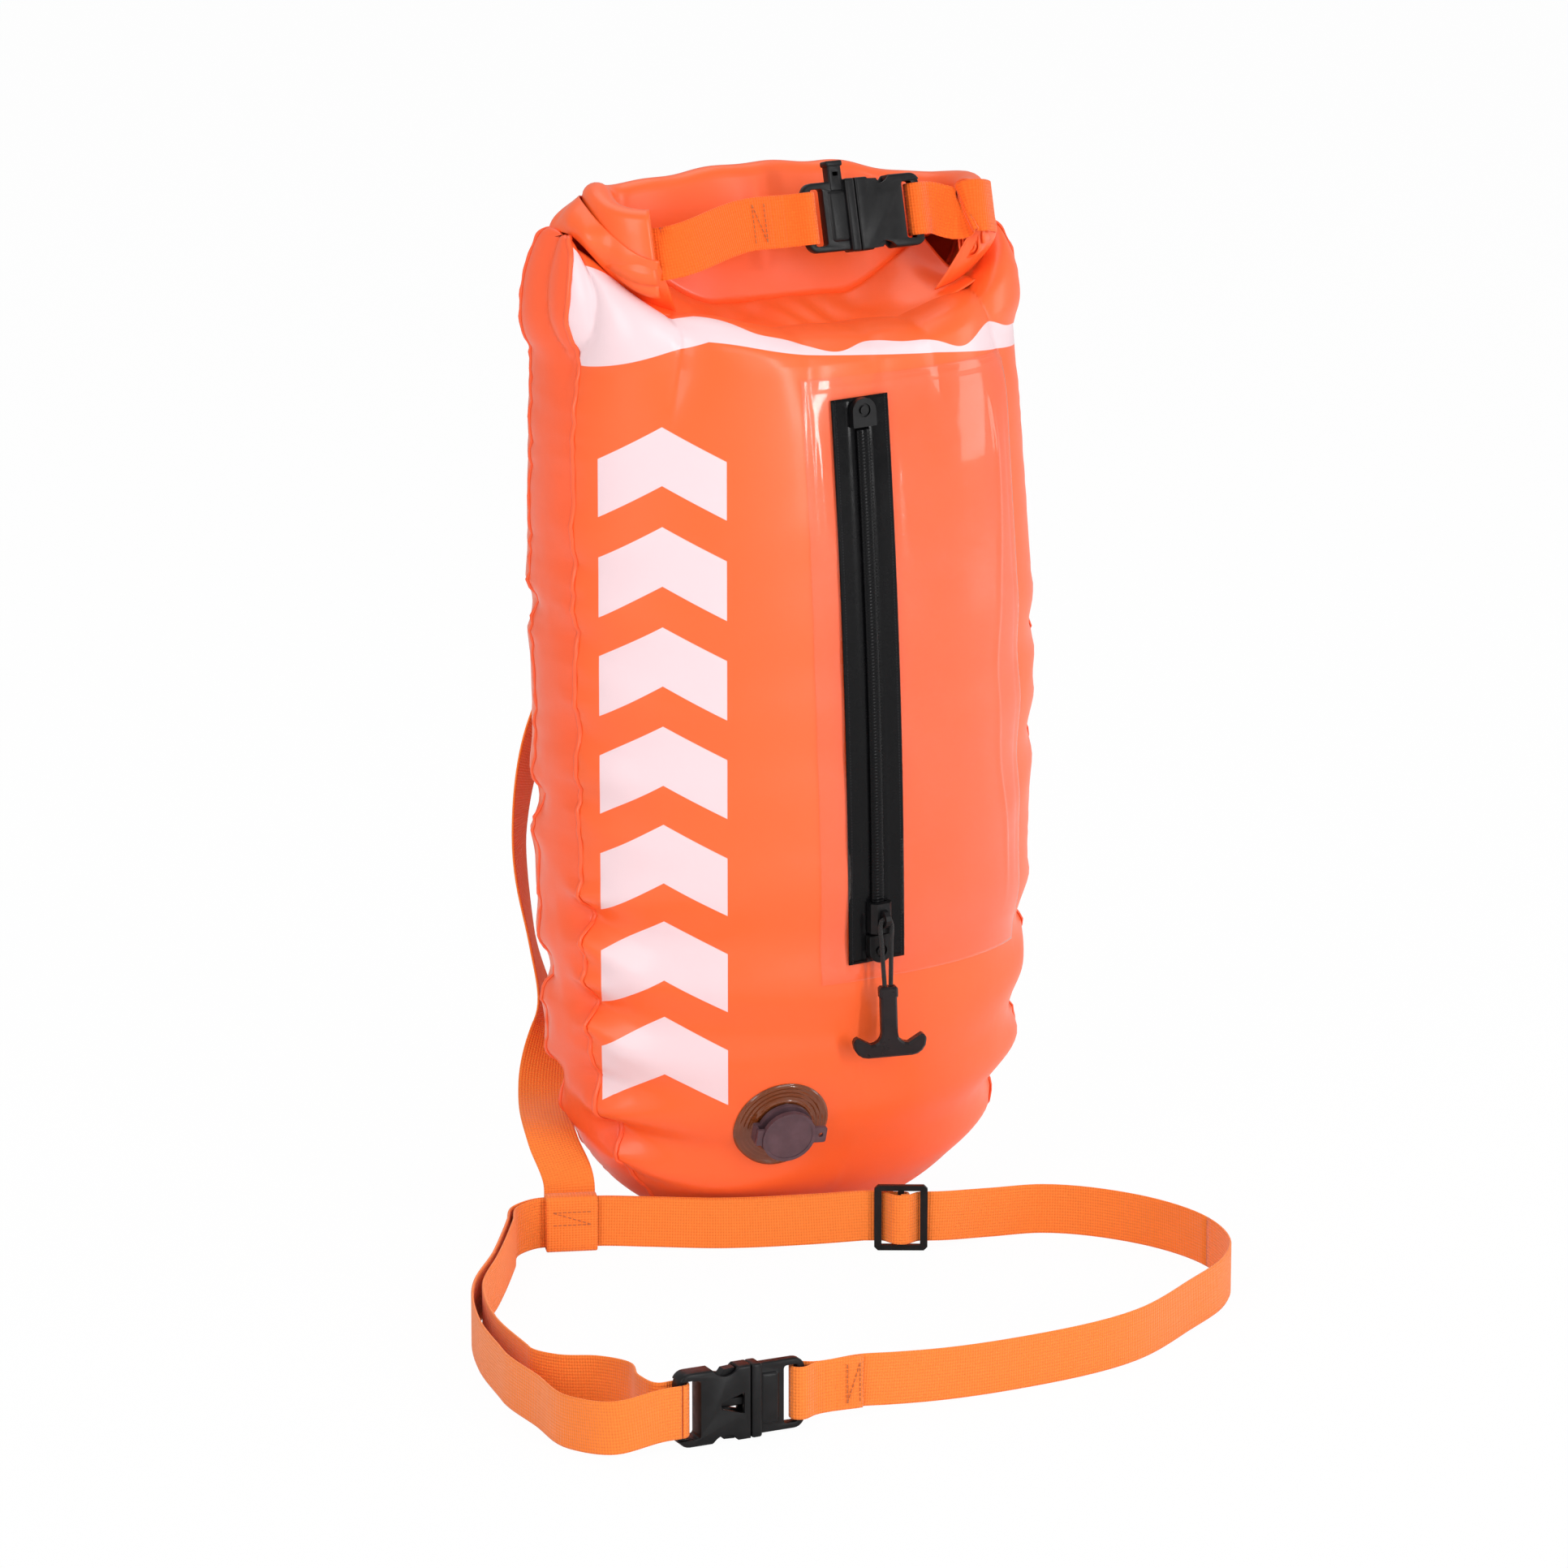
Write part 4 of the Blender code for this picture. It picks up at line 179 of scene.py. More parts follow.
# Belt
GLIDE_PLACE = (0.013, -0.0915)
GLIDE_TURN = math.radians(-30.5)
GLIDE_LENGTH, GLIDE_WIDTH, GLIDE_THICKNESS = 0.026, 0.033, 0.0026
GLIDE_BAR, GLIDE_MIDDLE_BAR = 0.0036, 0.003
GLIDE_LEDGE, GLIDE_SLOT_EDGE = GLIDE_LENGTH / 2, GLIDE_LENGTH / 2 - GLIDE_BAR
GLIDE_WRAP = GLIDE_MIDDLE_BAR / 2 + WEBBING_THICKNESS
# The levels of the webbing's two layers at the adjuster
GLIDE_BEHIND = GLIDE_THICKNESS / 2 + GAP + WEBBING_THICKNESS / 2
GLIDE_BEFORE = GLIDE_BEHIND + WEBBING_THICKNESS + FOLD_GAP
BELT_MAIN_ROUTE = (
    (-0.115, -0.2972, 0.0162), (-0.09, -0.2986, 0.0143), (-0.051, -0.3, 0.0132),
    (0.02, -0.2925, 0.013), (0.066, -0.2675, 0.013), (0.1, -0.245, 0.013),
    (0.116, -0.226, 0.013), (0.127, -0.19, 0.013), (0.118, -0.143, 0.013),
    (0.086, -0.104, 0.013), (0.058, -0.099, 0.014),
)
BELT_CUT = (0.127, -0.19, 0.013)
# How far the weights worked out for the plug reach along the webbing, and between these those for the adjuster
LEAD_REACH = 0.16
GLIDE_HELD, GLIDE_REACH_RIGHT, GLIDE_REACH_LEFT = 0.022, 0.08, 0.125
BELT_PAIR_ROUTE = (
    (-0.0012, -0.0797, 0.0165, 0.0018), (-0.0235, -0.0682, 0.015, 0.0024),
    (-0.0625, -0.047, 0.0134, 0.0026), (-0.093, -0.029, 0.014, 0.0022),
    (-0.114, -0.0175, 0.0146, 0.002), (-0.127, -0.0123, 0.0146, 0.002),
    (-0.143, -0.0059, 0.0146, 0.0018), (-0.156, -0.0093, 0.0138, 0.0024),
    (-0.166, -0.0235, 0.013, 0.003), (-0.1965, -0.0665, 0.013, 0.003),
    (-0.226, -0.1045, 0.013, 0.0045), (-0.2463, -0.152, 0.013, 0.008),
    (-0.256, -0.2, 0.013, 0.013),
)
BELT_INNER_ROUTE = (
    (-0.243, -0.216, 0.013), (-0.23, -0.229, 0.014),
    (-0.224, -0.248, 0.0155), (-0.231, -0.27, 0.0168),
)
BELT_OUTER_ROUTE = (
    (-0.265, -0.235, 0.013), (-0.267, -0.27, 0.0132), (-0.256, -0.2915, 0.015),
)
STIFFENER = (0.014, 0.0016)
INNER_BASE, INNER_SETTLE, INNER_DEPTH = 0.012, 0.004, 0.42
DIAGONAL = 0.7071
LEASH_TWIST = (0.12, 0.05)
# The leash turns its edge to one side at this height, over this reach
LEASH_EDGE = (0.13, 0.042)

# Slack between the dry compartment's sides and the gusset's puckers
INNER_EASE = 0.007

# How far the folded wings reach round the shoulder, in radians of its section
WING_FRONT, WING_BACK = 1.12, 1.0
THROAT_HALF = 0.092

# Where the front lip sags between the ends of the mouth: place, half width, depth
LIP_DIP = (0.006, 0.062, 0.01)

# Puckers along the welded seams: height, depth, reach along the bag, side and face
PUCKERS = (
    (0.309, 0.0022, 0.006, -1, -1), (0.264, 0.0026, 0.006, -1, -1),
    (0.231, 0.0018, 0.005, -1, -1), (0.17, 0.0066, 0.0062, -1, -1),
    (0.127, 0.0062, 0.006, -1, -1), (0.09, 0.0028, 0.006, -1, -1),
    (0.06, 0.0076, 0.0064, -1, -1), (0.345, 0.0016, 0.006, -1, -1),
    (0.296, 0.0026, 0.006, 1, -1), (0.243, 0.003, 0.0065, 1, -1),
    (0.148, 0.0046, 0.0075, 1, -1), (0.101, 0.004, 0.007, 1, -1), (0.062, 0.0055, 0.008, 1, -1),
    (0.318, 0.0026, 0.006, -1, 1), (0.221, 0.004, 0.007, -1, 1),
    (0.136, 0.0046, 0.0075, -1, 1), (0.08, 0.005, 0.008, -1, 1),
    (0.331, 0.0022, 0.006, 1, 1), (0.262, 0.0036, 0.0065, 1, 1),
    (0.181, 0.0044, 0.0075, 1, 1), (0.112, 0.0042, 0.007, 1, 1), (0.066, 0.0055, 0.008, 1, 1),
)
CRINKLE_PITCH = 0.015
CRINKLE_REACH = 0.009
PUCKER_REACH = 0.032
PUCKER_SLOPE = 0.22

# The front print: a pale band round the shoulder and a column of chevrons
BAR_FOOT, BAR_TOP = 0.095, 0.385
BAR_PITCH, BAR_FILL = 0.0485, 0.6
BAR_LEFT, BAR_RIGHT, BAR_MIDDLE = -0.088, -0.027, -0.0575
BAR_SLANT = 0.55

# Stage: the photograph's camera, the light of the room and the soft boxes
CAMERA_LENS = 163.7
CAMERA_AZIMUTH, CAMERA_ELEVATION, CAMERA_DISTANCE, CAMERA_TARGET = -30.0, 14.0, 3.5, 0.2162
WORLD_LEVEL = 0.5
SOFT_BOXES = (
    ("key_softbox", (-2.3, -1.3, 1.5), (1.2, 1.8), 30.0),
    ("front_softbox", (0.2, -3.2, 2.3), (1.6, 1.0), 15.0),
    ("right_softbox", (2.2, -0.9, 1.0), (0.8, 1.8), 14.0),
    ("streak_softbox", (0.85, -3.05, 0.85), (0.24, 1.6), 30.0),
    ("top_softbox", (0.2, 0.7, 2.4), (1.6, 1.6), 12.0),
)


# ---- Geometry shared by the pieces ----

def smooth_route(points, steps):
    """A smooth curve through unevenly spaced points, in any number of dimensions."""
    points = [np.array(point, float) for point in points]
    ways = [after - before for before, after in zip(points, points[1:])]
    spans = [np.linalg.norm(way[:3]) for way in ways]
    slopes = [ways[0] / spans[0]]
    for i in range(1, len(ways)):
        before, after = spans[i - 1], spans[i]
        slope = ways[i - 1] * (after / before) + ways[i] * (before / after)
        slopes.append(slope / (before + after))
    slopes.append(ways[-1] / spans[-1])
    route = []
    for i, span in enumerate(spans):
        for step in range(steps):
            t = step / steps
            rise, start, end = t * t * (3 - 2 * t), t * (1 - t) ** 2, t * t * (1 - t)
            bend = (slopes[i] * start - slopes[i + 1] * end) * span
            route.append(points[i] * (1 - rise) + points[i + 1] * rise + bend)
    route.append(points[-1])
    return route


def ease(value, low, high):
    """Nought below low, one above high and smooth between them."""
    share = min(max((value - low) / (high - low), 0.0), 1.0)
    return share * share * (3 - 2 * share)


def peak(offset, width):
    """A smooth hump, one high, round a place."""
    return math.exp(-(offset / width) ** 2)


def nearest(points, place):
    """The number of the point nearest to a place."""
    return min(range(len(points)), key=lambda i: np.linalg.norm(np.subtract(points[i], place)))


def corner_share(height, rise, power):
    if height >= rise:
        return 1.0
    rest = 1 - (height + BASE_CUT) / (rise + BASE_CUT)
    return (1 - rest ** power) ** (1 / power)


def bulge(full, height):
    offset = height - BULGE_HEIGHT
    return full - (BULGE_RADIUS - math.sqrt(BULGE_RADIUS ** 2 - offset ** 2))


def half_width(height):
    return bulge(BAG_HALF_WIDTH, height) * corner_share(height, SIDE_CORNER_RISE, CORNER_POWER)


def half_depth(height):
    return bulge(BAG_HALF_DEPTH, height) * corner_share(height, FRONT_CORNER_RISE, CORNER_POWER)


def sway(height):
    return -SWAY * ease(height, SWAY_START, ROLL_CENTRE_Z)


def crease(point, seam):
    """How far the air-filled skin stands in or out at a point, metres along its normal."""
    look = bpy.context.scene.swim_buoy
    x, y, z = point
    side, face = (1 if x > 0 else -1), max(-1.0, min(1.0, y / (seam * 0.7)))
    edge = abs(y) - seam
    away = abs(edge)
    low = ease(z, 0.004, 0.05) * (1 - ease(z, 0.44, 0.47))
    phase = 1.7 * math.sin(z * 61 + side) + 0.9 * math.sin(z * 143 + face) + 0.8 * side
    puff = abs(math.sin(math.pi * z / CRINKLE_PITCH + phase)) ** 0.75
    reach = CRINKLE_REACH * (1.5 if edge < 0 else 0.9)
    rise = -look.crinkle_depth * (1 - puff) * math.exp(-away / reach) * low
    for high, depth, wide, which, front in PUCKERS:
        if which != side or front * face < -0.99:
            continue
        far = (1 + front * face) / 2
        spread = wide * (1 + away / 0.04)
        offset = (z - high + PUCKER_SLOPE * max(edge, 0)) / spread
        if abs(offset) > 3:
            continue
        tuck = peak(offset, 1) - 0.45 * math.exp(-(abs(offset) - 1.9) ** 2 * 1.6)
        fade = math.exp(-away / (PUCKER_REACH if edge > 0 else PUCKER_REACH * 0.5))
        rise -= depth * look.pucker_share * tuck * fade * far
    swell = math.sin(x * 23 + z * 17 + 0.6) * math.sin(z * 31 - x * 9 + face)
    rise += 0.0006 * swell * ease(z, 0.03, 0.09)
    return rise + shoulder_fold(x, z, face)


def shoulder_fold(x, z, face):
    """The soft folds that run up to the rolled mouth."""
    high = ease(z, 0.405, 0.452)
    if high == 0:
        return 0.0
    lean = x - sway(z)
    fan = lean * (1 + 2.4 * (z - 0.405)) + 0.01 * math.sin(lean * 41 + face)
    fold = abs(math.sin(fan * math.pi / 0.047 + 0.7 * face)) ** 0.6
    middle = 0.35 + 0.65 * ease(abs(lean), 0.035, 0.095)
    return -0.0055 * (1 - fold) * high * middle


def base_point(x, height, side):
    """A point of the bag's smooth front (side -1) or back skin."""
    share = min(abs((x - sway(height)) / half_width(height)), 0.999)
    depth = half_depth(height) * (1 - share ** SECTION_POWER) ** (1 / SECTION_POWER)
    return np.array((x, side * depth, height))


def skin_point(x, height, lift=0.0, side=-1, creased=True):
    """A point of the skin as it shows, raised along its normal."""
    step = 0.0004
    across = base_point(x + step, height, side) - base_point(x - step, height, side)
    up = base_point(x, height + step, side) - base_point(x, height - step, side)
    normal = np.cross(across, up) if side < 0 else np.cross(up, across)
    normal /= np.linalg.norm(normal)
    point = base_point(x, height, side)
    if creased:
        lift += crease(point, gusset_half(half_depth(height)))
    return point + normal * lift


def gusset_half(deep):
    return GUSSET_HALF_WIDTH * min(1, deep / GUSSET_FULL_DEPTH)


def section_rows():
    """Close sections of the bag: half width, half depth, height, rise of the sides, power."""
    rows = []
    for step in range(150):
        height = SHOULDER_START * (step / 150) ** 1.35
        rows.append((half_width(height), half_depth(height), height, 0.0, SECTION_POWER))
    top = [(half_width(SHOULDER_START), half_depth(SHOULDER_START), SHOULDER_START, 0.0, SECTION_POWER)]
    for wide, deep, high, rise, power in LIP_ROWS:
        size = (BAG_HALF_WIDTH * wide, BAG_HALF_DEPTH * deep, LIP_HEIGHT * high)
        top.append((*size, SIDE_RISE * rise, power))
    depth = ROLL_RADIUS + ROLL_SHEET / 2 + GAP + FABRIC_THICKNESS
    height = ROLL_CENTRE_Z + (ROLL_MIDDLE_BAND[0] + ROLL_RADIUS) * math.cos(ROLL_TILT)
    top.append((NECK_HALF_WIDTH, depth, height, 0.0, NECK_POWER))
    return rows + [tuple(row) for row in smooth_route(top, 7)]


def signed_power(value, power):
    return math.copysign(abs(value) ** power, value)


def section_point(row, angle):
    """A point of a section, by its angle from the right."""
    wide, deep, high, rise, power = row
    c, s = math.cos(angle), math.sin(angle)
    x, y = wide * signed_power(c, 2 / power), deep * signed_power(s, 2 / power)
    z = high + side_rise(rise, x / wide)
    return np.array((x + sway(z), y, z))


def side_rise(rise, share):
    """How much higher a section stands towards its sides; the left stands highest."""
    return rise * (1 - math.copysign(RISE_LEAN, share)) * abs(share) ** RISE_POWER


def grid_normals(grid):
    """Unit normals of a grid of points, by rows and columns."""
    along = np.gradient(grid, axis=0)
    across = np.gradient(grid, axis=1)
    normal = np.cross(across, along)
    length = np.linalg.norm(normal, axis=2, keepdims=True)
    return normal / np.maximum(length, 1e-12)


def ring_frame():
    reach = np.array((0, -math.cos(ROLL_TILT), math.sin(ROLL_TILT)))
    up = np.array((0, math.sin(ROLL_TILT), math.cos(ROLL_TILT)))
    return np.array((sway(ROLL_CENTRE_Z), ROLL_CENTRE_Y, ROLL_CENTRE_Z)), reach, up


def ring_point(distance, depth, height):
    """A point of the mouth's ring: along it, in from its middle line, and up its band."""
    origin, reach, up = ring_frame()
    side = math.copysign(1, distance)
    past = abs(distance) - ROLL_STRAIGHT_HALF
    x, e, inward_x, inward_e = distance, 0.0, 0.0, 1.0
    if past > 0:
        angle = past / ROLL_BEND_RADIUS
        x = side * (ROLL_STRAIGHT_HALF + ROLL_BEND_RADIUS * math.sin(angle))
        e = ROLL_BEND_RADIUS * (1 - math.cos(angle))
        inward_x, inward_e = -side * math.sin(angle), math.cos(angle)
    flat = np.array((x + inward_x * depth, 0, 0)) + reach * (e + inward_e * depth)
    return origin + flat + up * height


def ring_half_length():
    return ROLL_STRAIGHT_HALF + ROLL_BEND_RADIUS * ROLL_BEND_ANGLE


def band_edges(distance):
    """Lower and upper edge of the rolled band at a distance from its middle."""
    middle = ROLL_STRAIGHT_HALF * 0.45
    bend = ROLL_STRAIGHT_HALF + ROLL_BEND_RADIUS * 0.9
    away = abs(distance)
    at_bend, at_end = (ROLL_RIGHT_BEND, ROLL_RIGHT_END) if distance > 0 else (ROLL_LEFT_BEND, ROLL_LEFT_END)
    if away < bend:
        share, first, second = max(0, (away - middle) / (bend - middle)), ROLL_MIDDLE_BAND, at_bend
    else:
        share = (away - bend) / (ring_half_length() - bend)
        first, second = at_bend, at_end
    share = share * share * (3 - 2 * share)
    return [a + (b - a) * share for a, b in zip(first, second)]


def spiral_section(low, high):
    """Centre line of the flattened spiral, as (depth, height) pairs."""
    line = []
    back = -ROLL_RADIUS
    for turn in range(ROLL_HALF_TURNS):
        over = turn % 2 == 0
        reach = abs(back) if over else abs(back) - ROLL_PITCH / 2
        centre = back + reach if back < 0 else back - reach
        limit = high - ROLL_RADIUS if over else low + ROLL_RADIUS
        start = low + ROLL_RADIUS if over else high - ROLL_RADIUS
        way = 1 if over else -1
        for step in range(5):
            line.append((back, start + (limit - start) * step / 5))
        for step in range(13):
            angle = math.pi * step / 12
            line.append((centre + (back - centre) * math.cos(angle), limit + way * reach * math.sin(angle)))
        back = 2 * centre - back
    middle, last = (low + high) / 2, line[-1][1]
    line += [(back, last + (middle - last) * step / 5) for step in range(1, 6)]
    return line


def frame_matrix(place, across, up, out):
    turn = Matrix((Vector(across), Vector(up), Vector(out))).transposed().to_4x4()
    return Matrix.Translation(Vector(place)) @ turn


def closure_frame():
    origin, reach, up = ring_frame()
    across = np.array((1.0, 0.0, 0.0))
    x, e, h = CLOSURE_PLACE
    return frame_matrix(origin + across * x + reach * e + up * h, across, np.cross(up, across), up)


def belt_frame():
    x, y = BELT_BUCKLE_MOUTH
    return Matrix.Translation((x, y, BUCKLE_WIDTH / 2)) @ Matrix.Rotation(BELT_BUCKLE_TURN, 4, "Z")


def zip_frame(height, lift=0.0):
    """Matrix on the zip's arc: x across, y up along the zip, z out of the bag."""
    low = Vector((ZIP_BOTTOM_X, 0, ZIP_BOTTOM))
    up = (Vector((ZIP_TOP_X, 0, ZIP_TOP)) - low).normalized()
    centre = Vector((pocket_x(BULGE_HEIGHT), BULGE_RADIUS - BAG_HALF_DEPTH, BULGE_HEIGHT))
    forward = Vector((0, -1, 0))
    angle = (height - BULGE_HEIGHT) / BULGE_RADIUS
    normal = forward * math.cos(angle) + up * math.sin(angle)
    tangent = up * math.cos(angle) - forward * math.sin(angle)
    return frame_matrix(centre + normal * (BULGE_RADIUS + lift), tangent.cross(normal), tangent, normal)


def pocket_x(height):
    share = (height - ZIP_BOTTOM) / (ZIP_TOP - ZIP_BOTTOM)
    return ZIP_BOTTOM_X + (ZIP_TOP_X - ZIP_BOTTOM_X) * share


def valve_frame():
    """The valve's frame: x to the right, y up the skin, z out of the bag."""
    place = Vector(skin_point(VALVE_X, VALVE_Z, creased=False))
    normal = (Vector(skin_point(VALVE_X, VALVE_Z, 0.001, creased=False)) - place).normalized()
    right = (Vector((1, 0, 0)) - normal * normal.x).normalized()
    return frame_matrix(place, right, normal.cross(right), normal)


def glide_frame():
    x, y = GLIDE_PLACE
    return Matrix.Translation((x, y, GLIDE_WIDTH / 2)) @ Matrix.Rotation(GLIDE_TURN, 4, "Z")


def leash_loop_frame():
    first, second = (Vector(point).to_3d() for point in LOOP_SPAN)
    along = (second - first).normalized()
    middle = (first + second) / 2
    middle.z = LOOP_HEIGHT
    return frame_matrix(middle, along, Vector((0, 0, 1)).cross(along), (0, 0, 1))


# ---- Mesh helpers ----

def link(name, mesh, finish):
    """Put a mesh in the scene with its finish."""
    obj = bpy.data.objects.new(name, mesh)
    mesh.materials.append(finish)
    bpy.context.scene.collection.objects.link(obj)
    return obj


def grid_mesh(name, grid, around=False, uv=None, flip=False, gap=None):
    """A smooth sheet through a grid of points, its UV in metres, open where a gap test says so."""
    grid = np.asarray(grid, float)
    rows, columns = grid.shape[:2]
    faces = []
    for i in range(rows - 1):
        for j in range(columns if around else columns - 1):
            if gap and gap(i, j):
                continue
            k = (j + 1) % columns
            face = (i * columns + j, i * columns + k, (i + 1) * columns + k, (i + 1) * columns + j)
            faces.append(face[::-1] if flip else face)
    mesh = bpy.data.meshes.new(name)
    mesh.from_pydata(grid.reshape(-1, 3).tolist(), [], faces)
    if uv is not None:
        layer = mesh.uv_layers.new(name="Metres")
        flat = np.asarray(uv, float).reshape(-1, 2)
        index = np.array([loop.vertex_index for loop in mesh.loops])
        layer.data.foreach_set("uv", flat[index].ravel())
    mesh.shade_smooth()
    return mesh


def select_only(obj):
    bpy.ops.object.select_all(action="DESELECT")
    bpy.context.view_layer.objects.active = obj
    obj.select_set(True)


def apply_all(obj):
    """Apply every modifier of an object."""
    select_only(obj)
    for step in [step.name for step in obj.modifiers]:
        bpy.ops.object.modifier_apply(modifier=step)


def thicken(obj, thickness):
    """Give a sheet its wall."""
    wall = obj.modifiers.new("Wall", "SOLIDIFY")
    wall.thickness, wall.offset, wall.use_even_offset = thickness, -1, True
    apply_all(obj)


def add_piece(name, mesh, finish, slot, *nodes, wall=0.0, body="bag"):
    """Put a mesh in the scene, with its wall, riding on its body in its nodes' place."""
    obj = link(name, mesh, finish)
    if wall:
        thicken(obj, wall)
    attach(obj, body)
    if nodes:
        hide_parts(*nodes)
    return obj


def heading(route, i):
    """The way a route runs at one of its points."""
    way = route[min(i + 1, len(route) - 1)] - route[max(i - 1, 0)]
    return way / max(np.linalg.norm(way), 1e-9)


def sweep_mesh(name, route, ways, profile):
    """A closed profile of (across, out) pairs along a route; UV is metres along and across."""
    route = [np.asarray(point, float) for point in route]
    rings, uv, along = [], [], 0.0
    for i, point in enumerate(route):
        forward = heading(route, i)
        way = np.asarray(ways[i], float)
        way = way - forward * way.dot(forward)
        way /= np.linalg.norm(way)
        normal = np.cross(forward, way)
        if i:
            along += np.linalg.norm(point - route[i - 1])
        rings.append([point + way * a + normal * b for a, b in profile])
        uv.append([(along, a) for a, b in profile])
    mesh = grid_mesh(name, rings, around=True, uv=uv)
    close_ends(mesh, len(profile), len(rings))
    return mesh


def mend(mesh, caps=(), merge=False, outwards=True, smooth=True):
    """Add faces between numbered points, merge doubles, turn the faces outwards and shade them."""
    bm = bmesh.new()
    bm.from_mesh(mesh)
    bm.verts.ensure_lookup_table()
    for corners in caps:
        bm.faces.new([bm.verts[i] for i in corners])
    if merge:
        bmesh.ops.remove_doubles(bm, verts=bm.verts, dist=1e-6)
    if outwards:
        bmesh.ops.recalc_face_normals(bm, faces=bm.faces)
    bm.to_mesh(mesh)
    bm.free()
    if smooth:
        mesh.shade_smooth()


def close_ends(mesh, count, rings):
    """Close a sweep's two ends, each with one flat face."""
    last = (rings - 1) * count
    mend(mesh, (range(count - 1, -1, -1), range(last, last + count)), smooth=False)


def webbing_profile(width=WEBBING_WIDTH, thickness=WEBBING_THICKNESS):
    """Webbing across its width, with soft rolled edges."""
    half, thick = width / 2, thickness / 2
    upper = []
    for share in (1.0, 0.985, 0.955, 0.9, 0.6, 0.2, -0.2, -0.6, -0.9, -0.955, -0.985, -1.0):
        level = 0.25 if abs(share) == 1 else 0.72 if abs(share) > 0.98 else 1.0
        upper.append((half * share, thick * level))
    return upper + [(-a, -b) for a, b in upper]


def strap_object(name, route, ways, finish=None):
    """A length of webbing along a route."""
    return link(name, sweep_mesh(name, route, ways, webbing_profile()), finish or webbing_finish())


def distances(route):
    """How far along the route each of its points lies."""
    steps = [np.linalg.norm(np.subtract(b, a)) for a, b in zip(route, route[1:])]
    return np.concatenate(([0.0], np.cumsum(steps)))


def declare_cord(obj, route, diameter, far_end, lay, *with_pieces):
    """Work out a cord's line as a list of points and its length, and keep neither."""
    path = [tuple(map(float, point)) for point in route]
    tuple(path[0])
    float(distances(route)[-1])


def go_along(obj):
    """Put a swept run's place into its mesh."""
    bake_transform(obj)


def bar_wrap(place, bar_x, slot_side):
    """Half a turn of webbing round a buckle's bar."""
    points = []
    for step in range(13):
        angle = math.pi * step / 12
        x = bar_x + slot_side * WRAP_RADIUS * math.sin(angle)
        points.append(place @ Vector((x, -WRAP_RADIUS * math.cos(angle), 0)))
    return points


def folded_end(place, bar_x, slot_side, tail):
    """A sewn webbing end: its tail, the wrap round the bar and the start of the strap."""
    outward = -slot_side
    joined = bar_x + outward * FOLD_REACH
    tail_end = [place @ Vector((x, LAYER_OFFSET, 0)) for x in (joined + outward * tail, joined)]
    wrap = bar_wrap(place, bar_x, slot_side)
    return tail_end + wrap[::-1] + [place @ Vector((joined, -LAYER_OFFSET, 0))]


def plug_fold(place):
    """The long sewn end round a plug's bar, up to where the strap leaves its tail."""
    return folded_end(place, MALE_BAR, 1, LONG_TAIL) + [
        place @ Vector((MALE_BAR - FOLD_REACH - LONG_TAIL, -LAYER_OFFSET, 0))]


# ---- Materials ----

